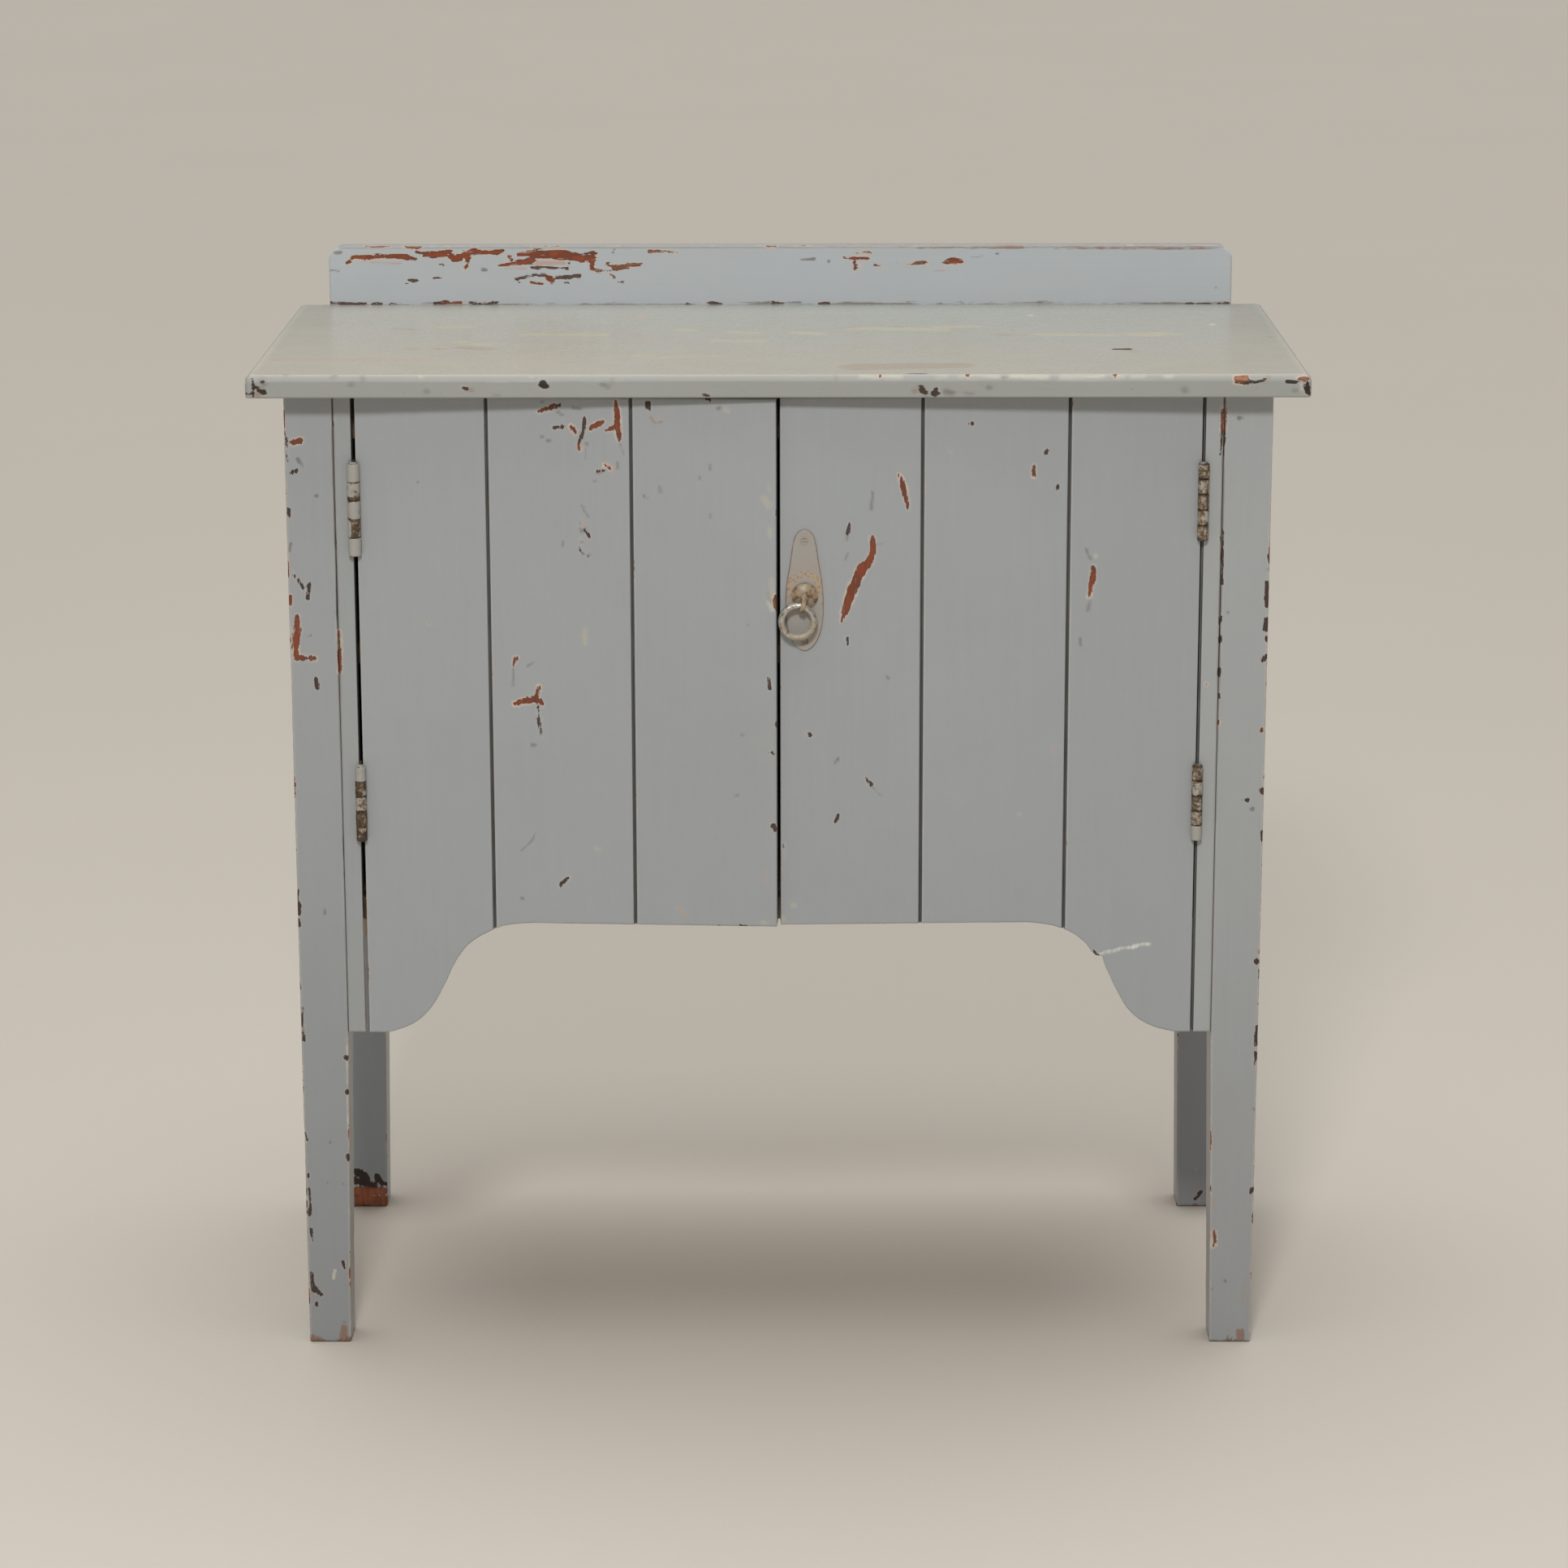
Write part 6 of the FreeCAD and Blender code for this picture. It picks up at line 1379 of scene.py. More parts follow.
# top board
def top_piece():
    R, RL, RC = 5.5, 2.0, 4.0
    hw = TOP_W / 2
    d_end = [0.0, 0.3, 0.8, 1.6, 2.7, 4.0, 5.5, 7.2]
    x_mid = np.linspace(-hw + 9.0, hw - 9.0, 446)
    xs = np.concatenate([[-hw + d for d in d_end], x_mid, [hw - d for d in reversed(d_end)]])
    def inset(d, r):
        return r - math.sqrt(max(0.0, r * r - (r - d) ** 2)) if d < r else 0.0
    rows = []        # kind, parameter
    rows += [("under", y) for y in np.linspace(Y_BACK, Y_FRONT + RL + 1.5, 14)]
    rows += [("low", math.radians(p)) for p in (90, 67, 45, 22)]
    rows += [("front", z) for z in np.linspace(UNDER + RL, TOP_Z - R, 9)]
    rows += [("nose", math.radians(p)) for p in (13, 26, 39, 52, 65, 78, 90)]
    rows += [("top", y) for y in np.linspace(Y_FRONT + R + 1.4, Y_BACK - 1.2, 118)]
    rows += [("rear", TOP_Z - 0.35), ("rear", TOP_Z - 1.6), ("rear", UNDER + 1.0)]
    m, n = len(rows), len(xs)
    Y, Z = np.zeros((m, n)), np.zeros((m, n))
    kind = np.array([{"under": 0, "low": 1, "front": 2, "nose": 3, "top": 4, "rear": 5}[k] for k, p in rows])
    for j, x in enumerate(xs):
        d = hw - abs(x)
        zt, zbm, y0 = TOP_Z - inset(d, R), UNDER + inset(d, RL), Y_FRONT + inset(d, RC)
        for i, (k, p) in enumerate(rows):
            if k == "under":
                y, z = max(p, y0 + RL), UNDER
            elif k == "low":
                y, z = y0 + RL * (1 - math.cos(p)), UNDER + RL * (1 - math.sin(p))
            elif k == "front":
                y, z = y0, p
            elif k == "nose":
                y, z = y0 + R * (1 - math.cos(p)), TOP_Z - R * (1 - math.sin(p))
            elif k == "top":
                y, z = p, TOP_Z
            else:
                y, z = Y_BACK, p
            Y[i, j], Z[i, j] = y, min(max(z, zbm), zt)
    X = np.broadcast_to(xs, (m, n)).copy()
    K = kind[:, None]
    # long shallow unevenness of the top, and dents along the front nose and at its corners
    dip = 0.16 * (0.5 + 0.5 * smooth_noise(X * 0.5, Y, 71, 6, 0.002, 0.012))
    fade = np.clip((hw - np.abs(X) - 3) / 10, 0, 1)
    Z = Z - np.where(K == 4, dip * fade, 0) * np.clip((Y - Y_FRONT - 6) / 12, 0, 1)
    nz = np.clip(smooth_noise(X, X * 0 + 3.0, 72, 12, 0.003, 0.14), 0, 1)
    dent = 0.12 + 0.55 * np.clip(nz - 0.2, 0, 1)
    cornered = np.exp(-(hw - np.abs(X)) / 7.0)
    dent = dent + cornered * (0.5 + 0.6 * np.clip(smooth_noise(X * 2, Z * 9, 73, 8, 0.02, 0.2), 0, 1))
    on_nose = (K == 3) | (K == 2)
    wgt = np.where(K == 3, 1.0, np.where(K == 2, 0.35, 0.0))
    Y = Y + dent * wgt
    Z = Z - dent * np.where(K == 3, 0.6, 0.0)
    flute = 0.10 * smooth_noise(X, Z * 6, 74, 6, 0.003, 0.02)
    Y = Y + np.where(K == 2, flute + 0.1, 0)
    # side noses
    side = np.clip(1 - (hw - np.abs(X)) / 0.5, 0, 1)
    sd = 0.12 + 0.6 * np.clip(smooth_noise(Y, Z * 0 + 5.0, 75, 12, 0.004, 0.14) - 0.1, 0, 1)
    X = X - np.sign(X) * sd * side
    P = np.stack([X, Y, Z], -1).reshape(-1, 3)
    idx = np.arange(m * n).reshape(m, n)
    nx = np.roll(idx, -1, axis=0)
    q = np.stack([idx[:, :-1], idx[:, 1:], nx[:, 1:], nx[:, :-1]], -1).reshape(-1, 4)
    # end caps: lower chain (rear to front) against upper chain (rear to front)
    lo = [i for i in range(m) if kind[i] in (0, 1)]
    fr = [i for i in range(m) if kind[i] == 2]
    up = [i for i in range(m) if kind[i] in (3, 4)][::-1]
    rear = [i for i in range(m) if kind[i] == 5]
    low_chain = [rear[2]] + lo + fr[:len(fr) // 2 + 1]
    up_chain = [rear[1], rear[0]] + up + fr[len(fr) // 2 + 1:][::-1]
    t = []
    for j, flip in ((0, False), (n - 1, True)):
        A = [int(idx[i, j]) for i in low_chain]
        B = [int(idx[i, j]) for i in up_chain]
        ta = np.linspace(0, 1, len(A)) * 0 + np.array([-P[k][1] for k in A]) + np.arange(len(A)) * 1e-4
        tb = np.array([-P[k][1] for k in B]) + np.arange(len(B)) * 1e-4
        ts = zipper(A, B, ta, tb)
        t += [(a, c, b) for a, b, c in ts] if not flip else ts
    # fields
    e_row = {0: 0.0, 1: 0.55, 2: 0.25, 3: 0.9, 4: 0.0, 5: 0.2}
    e = np.array([e_row[k] for k in kind])[:, None] * np.ones((1, n))
    e = np.where(K == 3, 0.35 + 0.6 * np.sin(np.clip(np.array([p for k, p in rows])[:, None], 0, 1.6) * 2) ** 2, e)
    e = np.where(K == 4, 0.5 * np.exp(-np.clip(Y - Y_FRONT - 5.5, 0, None) / 3.0), e)
    esd = np.exp(-np.clip(hw - np.abs(X) - 1.5, 0, None) / 2.2) * 0.85
    e = np.maximum(e, np.where(K == 0, 0, esd))
    e = np.maximum(e, cornered * 0.95 * (K != 0))
    unf = np.where(K == 4, TOP_Z + (Y - (Y_FRONT + 5.5)), np.where(K == 5, 1e4, np.where(K == 0, -1e4, Z)))
    c1, cc1, s1, sc1 = mark_fields(X, unf, MARKS["top_front"])
    c2, cc2, s2, sc2 = mark_fields(np.where(K == 4, X, 1e4), Y, MARKS["top_surface"], reach=9.0)
    c2, s2 = np.clip(c2 - 4.0, 0, None), np.clip(s2 - 4.0, 0, None)
    chip, stain = np.maximum(c1, c2), np.maximum(s1, s2)
    cc = np.where((c1 >= c2)[:, None], cc1, cc2)
    sc = np.where((s1 >= s2)[:, None], sc1, sc2)
    q, t = oriented(P, q, t)
    ob = make_mesh("top_board_painted", P, q, t, {"edge": e, "chip": chip, "stain": stain},
                   {"chipc": cc, "stainc": sc}, (M_TOP,), angle=60)
    return place_piece(ob, "carcass", ("top_board",))


top_piece()


# upstand behind the top
def upstand():
    hw, r = CARC_X, 14.0
    def zt(x):
        d = hw - abs(x)
        return 890.0 - (r - math.sqrt(max(0.0, r * r - (r - d) ** 2)) if d < r else 0.0)
    lo = np.linspace(0, 0.5, 4)[1:]
    rows = np.concatenate([lo, np.linspace(0.505, 0.999, 42)])
    U, W, Z, q, t, fl, co = panel(-hw, hw, 18.0, SOFT_SIDE, SOFT_SIDE, lambda x: 786.0, zt, 1.5, 1.25,
                                  wavy=0.15, seed=41, rows=rows, marks=MARKS["backboard"],
                                  top_ends=((0.0, 1.5), (0.25, 0.8), (0.7, 0.28), (1.7, 0.0)))
    P = np.stack([U, Y_BACK + W, Z], -1)
    # a little wear along the upper arris
    near = np.clip((Z - 886.5) / 3.0, 0, 1) * (W < 17)
    P[:, 2] -= near * 0.45 * np.clip(smooth_noise(U, U * 0 + 9.0, 44, 12, 0.004, 0.12), 0, 1)
    q, t = oriented(P, q, t)
    ob = make_mesh("backboard_painted", P, q, t, fl, co, (M_BACK,))
    return place_piece(ob, "carcass", ("backboard",))


upstand()

# side and back boards: painted outside, bare inside
BOARD_T = 12.0
SR_X1 = LX + 24.0


def two_faced(P, q, t, depth, deep):
    """0 for painted faces, 1 for faces on the inner side."""
    dq = depth[q].min(1) if len(q) else np.zeros(0)
    dt = depth[t].min(1) if len(t) else np.zeros(0)
    return np.concatenate([dq > deep, dt > deep]).astype(int)


def with_nails(P, q, t, fl, co, idx_mat, spots, axis):
    """Painted-over nail heads, a little proud or sunk, at the given points."""
    V = [P]
    Q, Tt = [q], [t]
    n = len(P)
    extra = 0
    for k, (x, y, z) in enumerate(spots):
        d = 0.28 + 0.12 * math.sin(k * 2.7)
        prof = [(0, -1.0), (2.3, -1.0), (2.35, 0.0), (2.2, d * 0.7), (1.5, d), (0.7, d * 0.85), (0, d * 0.8)]
        v, qq, tt = lathe(prof, 18)
        v = v[:, [2, 0, 1]] if axis[0] else v[:, [1, 2, 0]]
        v = v * np.array([axis[0] or 1, axis[1] or 1, 1.0]) + np.array([x, y, z])
        qq, tt = oriented(v, qq, tt)
        V.append(v)
        Q.append(qq + n)
        Tt.append(tt + n)
        n += len(v)
        extra += len(qq) + len(tt)
    P2 = np.concatenate(V)
    add = len(P2) - len(P)
    fl = {k2: np.concatenate([np.asarray(a).reshape(len(P), -1), np.full((add, 1), 0.22 if k2 == "edge" else 0.0)])
          for k2, a in fl.items()}
    co = {k2: np.concatenate([np.asarray(a).reshape(len(P), -1), np.zeros((add, 4))]) for k2, a in co.items()}
    q2, t2 = np.concatenate(Q), np.concatenate(Tt)
    # faces: all quads first, then all triangles
    mq = np.concatenate([idx_mat[:len(q)], np.zeros(len(q2) - len(q), int)])
    mt = np.concatenate([idx_mat[len(q):], np.zeros(len(t2) - len(t), int)])
    return P2, q2, t2, fl, co, np.concatenate([mq, mt])


edges = [YFR + (YRF - YFR) * i / 3 for i in range(4)]
for s, nm in ((-1, "left"), (1, "right")):
    for i, nn in enumerate(("front", "middle", "rear")):
        a, b = edges[i], edges[i + 1]
        left, right = (END_SIDE if i == 0 else VEE_SIDE), (END_SIDE if i == 2 else VEE_SIDE)
        if s < 0:
            a, b, left, right = -b, -a, right, left
        U, W, Z, q, t, fl, co = panel(a, b, BOARD_T, left, right, lambda x: LOBE_Z, lambda x: UNDER, 5.0, 4.0,
                                      wavy=0.18, seed=80 + 5 * i + s)
        P = np.stack([s * (SR_X1 + BOARD_T - W), s * U, Z], -1)
        q, t = oriented(P, q, t)
        node = "side_board_%s_%s" % (nm, nn)
        mid = (edges[i] + edges[i + 1]) / 2
        heads = [(s * (SR_X1 + BOARD_T - 0.05), mid + o + math.sin(7 * z + o), z)
                 for o in (-17, 17) for z in (299.0 + i, 799.0 - i)]
        P, q, t, fl, co, mi = with_nails(P, q, t, fl, co, two_faced(P, q, t, W, BOARD_T - 0.05), heads, (s, 0))
        ob = make_mesh(node + "_painted", P, q, t, fl, co, (M_SIDE, M_PINE_Z), mat_index=mi)
        place_piece(ob, "carcass", (node,))

zb0, zb1 = LOBE_Z, 786.0
for i in range(4):
    a, b = zb0 + (zb1 - zb0) * i / 4, zb0 + (zb1 - zb0) * (i + 1) / 4
    left, right = (END_SIDE if i == 0 else VEE_SIDE), (END_SIDE if i == 3 else VEE_SIDE)
    U, W, Xv, q, t, fl, co = panel(a, b, BOARD_T, left, right, lambda x: -CARC_X, lambda x: CARC_X, 5.0, 5.0,
                                   wavy=0.2, seed=90 + i)
    P = np.stack([Xv, Y_BACK + BOARD_T - W, U], -1)
    q, t = oriented(P, q, t)
    node = "back_board_%d" % (i + 1)
    heads = [(x + 1.5 * math.sin(9 * x + i), Y_BACK + BOARD_T - 0.05, z + 2.0 * math.sin(5 * x + 2 * i))
             for x in (-384, 384) for z in (a + 26, b - 26)]
    heads += [(x, Y_BACK + BOARD_T - 0.05, 590 + 1.5 * math.sin(x)) for x in (-210, 0, 205) if a < 590 < b]
    P, q, t, fl, co, mi = with_nails(P, q, t, fl, co, two_faced(P, q, t, W, BOARD_T - 0.05), heads, (0, 1))
    ob = make_mesh(node + "_painted", P, q, t, fl, co, (M_REAR, M_PINE_X), mat_index=mi)
    place_piece(ob, "carcass", (node,))


# ------------------------------------------------------------------ hinges
def with_pale(parts, pales):
    V, q, t = join([p for p in parts])
    pale = np.concatenate([np.full(len(p[0]), v) for p, v in zip(parts, pales)])
    return V, q, t, pale


LEAF_T, LEAF_BACK, KN_GAP = 1.6, YF + 15.5, 0.4
for nm, (s, z0, h, kr, yfront, pale) in HINGES.items():
    seg = (h - 4 * KN_GAP) / 5
    for which, off, own in (("frame", 1, (0, 2, 4)), ("door", -1, (1, 3))):
        xa, xb = sorted((s * (PIN_X + off * 0.4), s * (PIN_X + off * (0.4 + LEAF_T))))
        parts = [rounded_box(xa, xb, yfront, LEAF_BACK, z0, z0 + h, r=0.3, cells=(1, 4, 20))]
        pales = [0.35]
        for k in own:
            za = z0 + k * (seg + KN_GAP)
            jitter = 0.12 * math.sin(3.1 * k + z0)
            prof = [(0, 0), (kr - 0.7, 0), (kr - 0.2, 0.15), (kr, 0.55)]
            prof += [(kr + jitter * math.sin(f * 3.1), 0.55 + (seg - 1.1) * f) for f in np.linspace(0.1, 0.9, 8)]
            prof += [(kr, seg - 0.55), (kr - 0.2, seg - 0.15), (kr - 0.7, seg), (0, seg)]
            V, q, t = lathe(prof, 40, "Z", (s * PIN_X, PIN_Y, za))
            ang = np.arctan2(V[:, 1] - PIN_Y, V[:, 0] - s * PIN_X)
            rr = np.hypot(V[:, 1] - PIN_Y, V[:, 0] - s * PIN_X)
            k2 = 1 + np.where(rr > kr - 0.5, 0.02 * np.sin(ang * 3 + za) + 0.015 * np.sin(ang * 7 + V[:, 2] * 0.9), 0)
            V[:, 0] = s * PIN_X + (V[:, 0] - s * PIN_X) * k2
            V[:, 1] = PIN_Y + (V[:, 1] - PIN_Y) * k2
            from_end = np.minimum(V[:, 2] - za, za + seg - V[:, 2])
            low_end = V[:, 2] - za
            worn = 0.30 * np.exp(-(from_end / 0.9) ** 2)
            if nm == "upper_left" and k == 3:
                worn = worn + 0.75 * np.exp(-(low_end / 3.4) ** 4)
            if nm == "upper_left" and k == 1:
                worn = worn - 0.55 * (np.sin(ang + 0.4) < -0.2) * (np.cos(ang) < -0.35)
            parts.append((V, q, t))
            pales.append(pale[k] - worn)
            parts.append(rounded_box(xa, xb, PIN_Y, yfront + 0.8, za, za + seg, r=0.25, cells=(1, 1, 4)))
            pales.append(pale[k])
        V, q, t, pl = with_pale(parts, pales)
        node = "%s_hinge_%s_leaf" % (nm, which)
        ob = make_mesh(node + "_worn", V, q, t, {"pale": pl}, mats=(M_HINGE,))
        if which == "frame":
            place_piece(ob, "carcass", (node,))
        else:
            place_piece(ob, "left_door" if s < 0 else "right_door", (node,), door=s)

for s, side_nm in ((-1, "left"), (1, "right")):
    parts, pales = [], []
    for nm, (hs, z0, h, kr, yfront, pale) in HINGES.items():
        if hs != s:
            continue
        prof = [(0, -0.9), (1.2, -0.75), (1.85, -0.2), (1.95, 0.3), (1.95, h), (3.0, h), (3.1, h + 0.3),
                (2.9, h + 0.8), (2.1, h + 1.2), (1.0, h + 1.35), (0, h + 1.4)]
        parts.append(lathe(prof, 32, "Z", (s * PIN_X, PIN_Y, z0)))
        pales.append(pale[4] * 0.8)
    V, q, t, pl = with_pale(parts, pales)
    ob = make_mesh("%s_hinge_pins_worn" % side_nm, V, q, t, {"pale": pl}, mats=(M_HINGE,))
    place_piece(ob, "carcass", (side_nm + "_hinge_pins",))

# ------------------------------------------------------------------ handle
HALF = [(608.1, 0.0), (608.7, 2.9), (609.9, 5.2), (611.6, 7.3), (614.1, 9.2), (617.2, 11.0), (620.8, 12.6),
        (629.3, 14.7), (639.3, 15.6), (650.3, 15.6), (659.3, 15.2), (668.3, 14.1), (677.8, 12.5), (687.3, 11.0),
        (695.3, 9.9), (701.3, 8.6), (704.0, 7.4), (705.9, 6.0), (707.5, 4.2), (708.6, 2.6), (709.2, 0.0)]
EVEC = np.array([math.cos(TILT), 0, -math.sin(TILT)])
DVEC = np.array([-math.sin(TILT), 0, -math.cos(TILT)])


def handle_plate():
    hz, hw = [p[0] for p in HALF], [p[1] for p in HALF]
    z = np.concatenate([np.linspace(608.1, 614, 12)[:-1], np.linspace(614, 703, 90)[:-1], np.linspace(703, 709.2, 13)])
    half = np.interp(z, hz, hw)
    for _ in range(2):
        half[2:-2] = (half[1:-3] + half[2:-2] * 2 + half[3:-1]) / 4
    half = np.maximum(half, 0.05)
    f = np.sin(np.linspace(-1, 1, 33) * math.pi / 2)
    x = PX + f[None, :] * half[:, None]
    Z = np.broadcast_to(z[:, None], x.shape)
    d_side = (1 - np.abs(f))[None, :] * half[:, None]
    d_end = np.minimum(z - 608.1, 709.2 - z)[:, None] + 0 * x
    d = np.minimum(d_side, np.sqrt(d_end * 6.0 + 1e-9) * 1.0 + 0 * x)
    thick = 2.0 - 1.5 * (1 - np.sqrt(1 - (1 - np.clip(d / 1.5, 0, 1)) ** 2))
    thick = thick + 0.12 * smooth_noise(x * 3, Z * 3, 61, 8, 0.01, 0.08) * np.clip(d / 2, 0, 1)
    for zs in (698.8, 615.7):
        rr = np.hypot(x - PX, Z - zs)
        thick = thick - 0.45 * np.clip((3.9 - rr) / 0.8, 0, 1)
    thick = np.clip(thick, 0.3, 2.2)
    m, n = x.shape
    front = np.stack([x, YF - thick, Z], -1).reshape(-1, 3)
    back = np.stack([x, np.full_like(x, YF), Z], -1).reshape(-1, 3)
    idx = np.arange(m * n).reshape(m, n)
    b0 = m * n
    q = [np.stack([idx[:-1, :-1], idx[:-1, 1:], idx[1:, 1:], idx[1:, :-1]], -1).reshape(-1, 4)]
    q.append((np.stack([idx[:-1, :-1], idx[1:, :-1], idx[1:, 1:], idx[:-1, 1:]], -1) + b0).reshape(-1, 4))
    rim = list(idx[0]) + list(idx[1:, -1]) + list(idx[-1, ::-1][1:]) + list(idx[::-1, 0][1:-1])
    rim = np.array(rim)
    nxt = np.roll(rim, -1)
    q.append(np.stack([rim, rim + b0, nxt + b0, nxt], -1))
    V = np.concatenate([front, back])
    q = np.concatenate(q)
    e = np.exp(-np.clip(d, 0, None) / 1.5).reshape(-1)
    rr = np.hypot(x - HANDLE_X, Z - HANDLE_Z - 6).reshape(-1)
    nb = np.exp(-((rr - 12.0) / 4.5) ** 2)
    fl = {"edge": np.concatenate([e, e]), "near_boss": np.concatenate([nb, nb])}
    q, t = oriented(V, q, np.zeros((0, 3), int))
    ob = make_mesh("handle_plate_worn", V, q, t, fl, mats=(M_PLATE,), angle=50)
    return place_piece(ob, "right_door", ("handle_plate",), door=1)


handle_plate()


def loc(s, t, e=0.0):
    p = np.array([HANDLE_X, 0, HANDLE_Z]) + DVEC * s + EVEC * e
    return np.array([p[0], YF - t, p[2]])


def turned_to(parts_local, origin, zdir, xdir):
    V, q, t = parts_local
    zd, xd = np.array(zdir, float), np.array(xdir, float)
    zd, xd = zd / np.linalg.norm(zd), xd / np.linalg.norm(xd)
    yd = np.cross(zd, xd)
    return V[:, 0:1] * xd + V[:, 1:2] * yd + V[:, 2:3] * zd + np.array(origin), q, t


def annulus(ri, ro, h, seg=48, rnd=0.5):
    prof = []
    for cx, cz, a0 in ((ro - rnd, h / 2 - rnd, 0), (ri + rnd, h / 2 - rnd, 90), (ri + rnd, -h / 2 + rnd, 180),
                       (ro - rnd, -h / 2 + rnd, 270)):
        prof += [(cx + rnd * math.cos(math.radians(a0 + a)), cz + rnd * math.sin(math.radians(a0 + a)))
                 for a in (0, 30, 60, 90)]
    n = len(prof)
    a = np.linspace(0, 2 * math.pi, seg, endpoint=False)
    V = np.array([[r * math.cos(x), r * math.sin(x), z] for x in a for r, z in prof])
    q = [[i * n + j, ((i + 1) % seg) * n + j, ((i + 1) % seg) * n + (j + 1) % n, i * n + (j + 1) % n]
         for i in range(seg) for j in range(n)]
    return V, np.array(q), np.zeros((0, 3), int)


def melted(name, V, q, t, voxel, smooth, mats):
    """Overlapping solids fused into one skin, as a casting under paint."""
    ob = make_mesh(name + "_raw", V, q, t)
    rm = ob.modifiers.new("fuse", "REMESH")
    rm.mode = "VOXEL"
    rm.voxel_size = voxel * MM
    rm.adaptivity = 0.0
    sm = ob.modifiers.new("soften", "SMOOTH")
    sm.factor, sm.iterations = 0.5, smooth
    bpy.context.view_layer.update()
    dg = bpy.context.evaluated_depsgraph_get()
    me = bpy.data.meshes.new_from_object(ob.evaluated_get(dg))
    bpy.data.objects.remove(ob)
    me.name = name
    me.materials.clear()
    for m in mats:
        me.materials.append(m)
    me.polygons.foreach_set("use_smooth", np.ones(len(me.polygons), bool))
    me.polygons.foreach_set("material_index", np.zeros(len(me.polygons), np.int32))
    new = bpy.data.objects.new(name, me)
    bpy.context.scene.collection.objects.link(new)
    return new


cap_h, cap_r, T0 = 3.6, 11.0, 2.35
Rc = (cap_r ** 2 + cap_h ** 2) / (2 * cap_h)
dome = [(0, 0.0), (cap_r - 0.5, 0.0), (cap_r, 0.35), (cap_r, 0.8)]
dome += [(r, 0.8 + cap_h - Rc + math.sqrt(Rc * Rc - r * r)) for r in np.linspace(cap_r - 0.4, 0.6, 14)] + [(0, 0.8 + cap_h)]
dome_m = lathe(dome, 56, "Y", (HANDLE_X, YF - T0, HANDLE_Z))
tP = 10.2
eye_m = turned_to(annulus(3.25, 5.3, 4.2), loc(7.5, tP), EVEC, DVEC)
p0, p1 = loc(0.2, 3.4), loc(3.4, 9.6)
L01 = float(np.linalg.norm(p1 - p0))
neck_m = turned_to(lathe([(0, -1.0), (4.6, -0.8), (4.2, 0.6), (3.1, L01 * 0.55), (2.3, L01), (1.6, L01 + 0.8), (0, L01 + 1.0)], 28),
                   p0, p1 - p0, EVEC)
V, q, t = join([dome_m, eye_m, neck_m])
boss = melted("handle_boss_and_eye", V, q, t, 0.36, 3, (M_BOSS,))
place_piece(boss, "latch", ("handle_spindle",), door=1)
shaft = lathe([(0, 0), (3.4, 0), (4.0, 0.5), (4.0, 17.6), (3.7, 17.9), (0, 17.9)], 36, "Y",
              (HANDLE_X, YF + 15.6, HANDLE_Z))
tail = rounded_box(HANDLE_X - 2.8, HANDLE_X + 2.8, YF + DOOR_T - 2, YF + DOOR_T + 5.4, HANDLE_Z - 2.8, HANDLE_Z + 2.8, 0.4)
nut = lathe([(0, 0), (4.6, 0), (5.0, 0.3), (4.9, 1.0), (4.2, 1.5), (2.4, 1.9), (0, 2.0)], 36, "Y", (0, 0, 0))
nut = (np.stack([nut[0][:, 0] + HANDLE_X, -nut[0][:, 1] + YF + DOOR_T + 4.5, nut[0][:, 2] + HANDLE_Z], -1),
       nut[1][:, ::-1], nut[2][:, ::-1])
V, q, t = join([shaft, tail, nut])
ob = make_mesh("handle_spindle_iron", V, q, t, mats=(M_IRON,))
place_piece(ob, "latch", (), door=1)

# the ring
RR, rr0 = 13.25, 2.75
nth, nph = 120, 32
th = np.linspace(0, 2 * math.pi, nth, endpoint=False)[:, None]
ph = np.linspace(0, 2 * math.pi, nph, endpoint=False)[None, :]
rv = rr0 * (1 - 0.045 * np.exp(-((np.mod(th - math.pi / 2 - TILT + math.pi, 2 * math.pi) - math.pi) / 0.35) ** 2)
            + 0.012 * np.sin(th * 5 + 1) + 0.01 * np.sin(ph * 3 + th * 4))
rcen = loc(7.5 + RR, tP)
Xr = rcen[0] + (RR + rv * np.cos(ph)) * np.cos(th)
Zr = rcen[2] + (RR + rv * np.cos(ph)) * np.sin(th)
Yr = rcen[1] + rv * np.sin(ph) + 0 * th
V = np.stack([Xr, Yr, Zr], -1).reshape(-1, 3)
idx = np.arange(nth * nph).reshape(nth, nph)
q = np.stack([idx, np.roll(idx, -1, 0), np.roll(np.roll(idx, -1, 0), -1, 1), np.roll(idx, -1, 1)], -1).reshape(-1, 4)
q, t = oriented(V, q, np.zeros((0, 3), int))
ob = make_mesh("pull_ring_worn", V, q, t, mats=(M_RING,), angle=80)
place_piece(ob, "ring", ("pull_ring",), door=1)

# ------------------------------------------------------------------ CAD pieces that stay
STAY = {
    "bottom_board": M_PINE_X, "middle_shelf": M_PINE_X, "front_top_rail": M_PINE_RAIL_PAINTED_SHADE, "front_bottom_rail": M_PINE_RAIL_PAINTED_SHADE,
    "rear_top_rail": M_PINE_X, "rear_bottom_rail": M_PINE_X, "side_top_rail_left": M_PINE_Y,
    "side_top_rail_right": M_PINE_Y, "side_bottom_rail_left": M_PINE_Y, "side_bottom_rail_right": M_PINE_Y,
    "shelf_cleat_left": M_PINE_Y, "shelf_cleat_right": M_PINE_Y, "frame_hinge_screws": M_STEEL,
    "left_door_hinge_screws": M_STEEL, "right_door_hinge_screws": M_STEEL, "handle_plate_screws": M_SCREW,
    "latch_bar": M_IRON, "bolt_plate": M_IRON, "bolt_rod": M_STEEL,
}
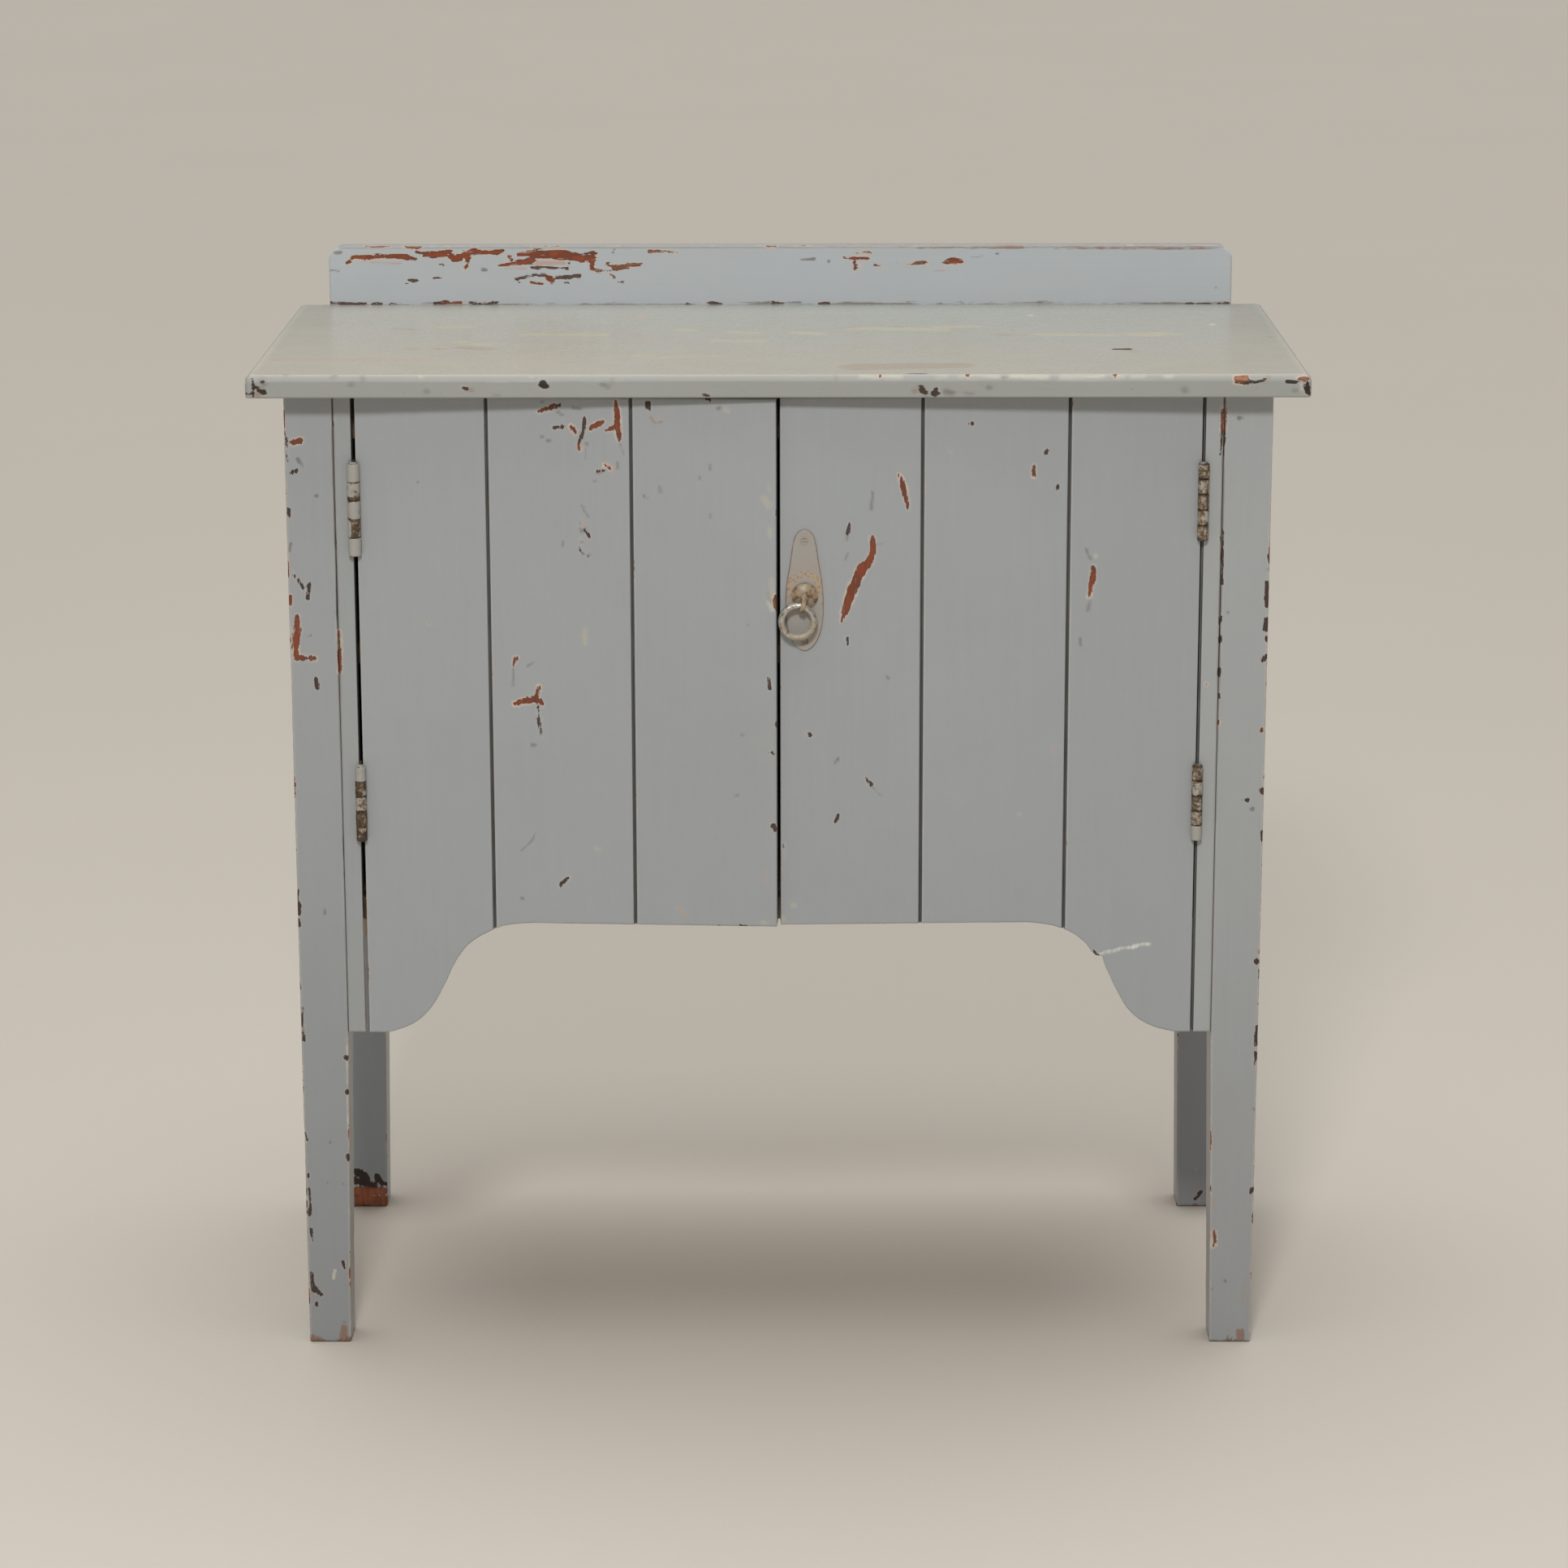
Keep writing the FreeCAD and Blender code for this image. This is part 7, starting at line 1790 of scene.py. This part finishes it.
for nm, mat in STAY.items():
    ob = NODES[nm]
    if not ob.material_slots:
        ob.data.materials.append(mat)
    for sl in ob.material_slots:
        sl.link = "OBJECT"
        sl.material = mat
    if mat in (M_PINE_X, M_PINE_RAIL_PAINTED_SHADE, M_PINE_Y, M_IRON) or nm == "bolt_rod":
        we = ob.modifiers.new("weld", "WELD")
        we.merge_threshold = 0.00002
        bv = ob.modifiers.new("eased_edges", "BEVEL")
        bv.width = 0.0009 if mat is not M_IRON else 0.0004
        bv.segments = 2
        bv.limit_method = "ANGLE"
        bv.angle_limit = math.radians(50)

# ------------------------------------------------------------------ stage, light, camera
def stage_material():
    T = Tree("pale_floor")
    n1 = T.noise(0.9, 3.0, 0.5)
    n2 = T.noise(240.0, 2.0, 0.5)
    col = T.mix(n1, FLOOR_A, FLOOR_B)
    T.link(col, T.bsdf.inputs["Base Color"])
    T.bsdf.inputs["Roughness"].default_value = 0.85
    T.bsdf.inputs["Specular IOR Level"].default_value = 0.2
    T.link(T.bump(n2, 0.2, 0.001), T.bsdf.inputs["Normal"])
    return T.mat


FLOOR_A, FLOOR_B = (0.52, 0.482, 0.435), (0.50, 0.464, 0.418)
me = bpy.data.meshes.new("floor")
s = 60.0
me.from_pydata([(-s, -s, 0), (s, -s, 0), (s, s, 0), (-s, s, 0)], [], [(0, 1, 2, 3)])
floor = bpy.data.objects.new("floor", me)
me.materials.append(stage_material())
bpy.context.scene.collection.objects.link(floor)
floor.location = (0, 0, -0.0004)
floor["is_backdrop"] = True


def sun(name, direction, strength, angle, color):
    d = bpy.data.lights.new(name, "SUN")
    d.energy = strength
    d.angle = math.radians(angle)
    d.color = color
    o = bpy.data.objects.new(name, d)
    o.rotation_euler = Vector(direction).to_track_quat("-Z", "Y").to_euler()
    bpy.context.scene.collection.objects.link(o)
    return o


def toward(az, el):
    """Direction of light that comes from azimuth az (degrees from the front, + to the right), height el."""
    a, e = math.radians(az), math.radians(el)
    return (-math.sin(a) * math.cos(e), math.cos(a) * math.cos(e), -math.sin(e))


def soft_box(name, place, target, power, size, color):
    d = bpy.data.lights.new(name, "AREA")
    d.shape, d.size, d.energy, d.color = "DISK", size, power, color
    o = bpy.data.objects.new(name, d)
    o.location = place
    o.rotation_euler = (Vector(target) - Vector(place)).to_track_quat("-Z", "Y").to_euler()
    o.visible_camera = False
    bpy.context.scene.collection.objects.link(o)
    return o


soft_box("key", (-0.28, -3.7, 3.15), (0.0, -0.2, 0.55), 97.5, 0.62, (1.0, 0.985, 0.95))
sun("overhead", toward(180, 80), 1.95, 70.0, (1.0, 0.98, 0.94))

world = bpy.data.worlds.new("studio")
bpy.context.scene.world = world
world.use_nodes = True
nt = world.node_tree
nt.nodes.clear()
out = nt.nodes.new("ShaderNodeOutputWorld")
bg = nt.nodes.new("ShaderNodeBackground")
tc = nt.nodes.new("ShaderNodeTexCoord")
sp = nt.nodes.new("ShaderNodeSeparateXYZ")
ramp = nt.nodes.new("ShaderNodeValToRGB")
nt.links.new(tc.outputs["Generated"], sp.inputs[0])
nt.links.new(sp.outputs["Z"], ramp.inputs["Fac"])
cr = ramp.color_ramp
cr.elements[0].position = 0.0
cr.elements[0].color = (0.36, 0.325, 0.265, 1)
cr.elements[1].position = 1.0
cr.elements[1].color = (0.52, 0.53, 0.54, 1)
el = cr.elements.new(0.45)
el.color = (0.34, 0.335, 0.32, 1)
nt.links.new(ramp.outputs["Color"], bg.inputs["Color"])
bg.inputs["Strength"].default_value = 0.8
nt.links.new(bg.outputs["Background"], out.inputs["Surface"])

scene = bpy.context.scene
scene.view_settings.view_transform = "Standard"
scene.view_settings.look = "None"
scene.view_settings.exposure = 0.0
scene.view_settings.gamma = 1.0

theta, psi, rho = math.radians(14.0769), -0.0044483, -0.0016696
fwd = Vector((math.sin(psi) * math.cos(theta), math.cos(psi) * math.cos(theta), -math.sin(theta)))
r0 = Vector((math.cos(psi), -math.sin(psi), 0.0))
up0 = r0.cross(fwd)
right = r0 * math.cos(rho) + up0 * math.sin(rho)
up = -r0 * math.sin(rho) + up0 * math.cos(rho)
cam = bpy.data.cameras.new("camera")
cam.sensor_width = 36.0
cam.sensor_fit = "HORIZONTAL"
cam.lens = 5553.6 * 36.0 / 1932.0
cam.clip_start, cam.clip_end = 0.1, 300.0
co = bpy.data.objects.new("camera", cam)
M = Matrix((right, up, -fwd)).transposed().to_4x4()
M.translation = Vector((0.02040, -3.8121, 1.4013))
co.matrix_world = M
scene.collection.objects.link(co)
scene.camera = co

a, b = cad_bounds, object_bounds()
({"cad": [list(map(float, a[0])), list(map(float, a[1]))],
           "visual": [list(map(float, b[0])), list(map(float, b[1]))]})
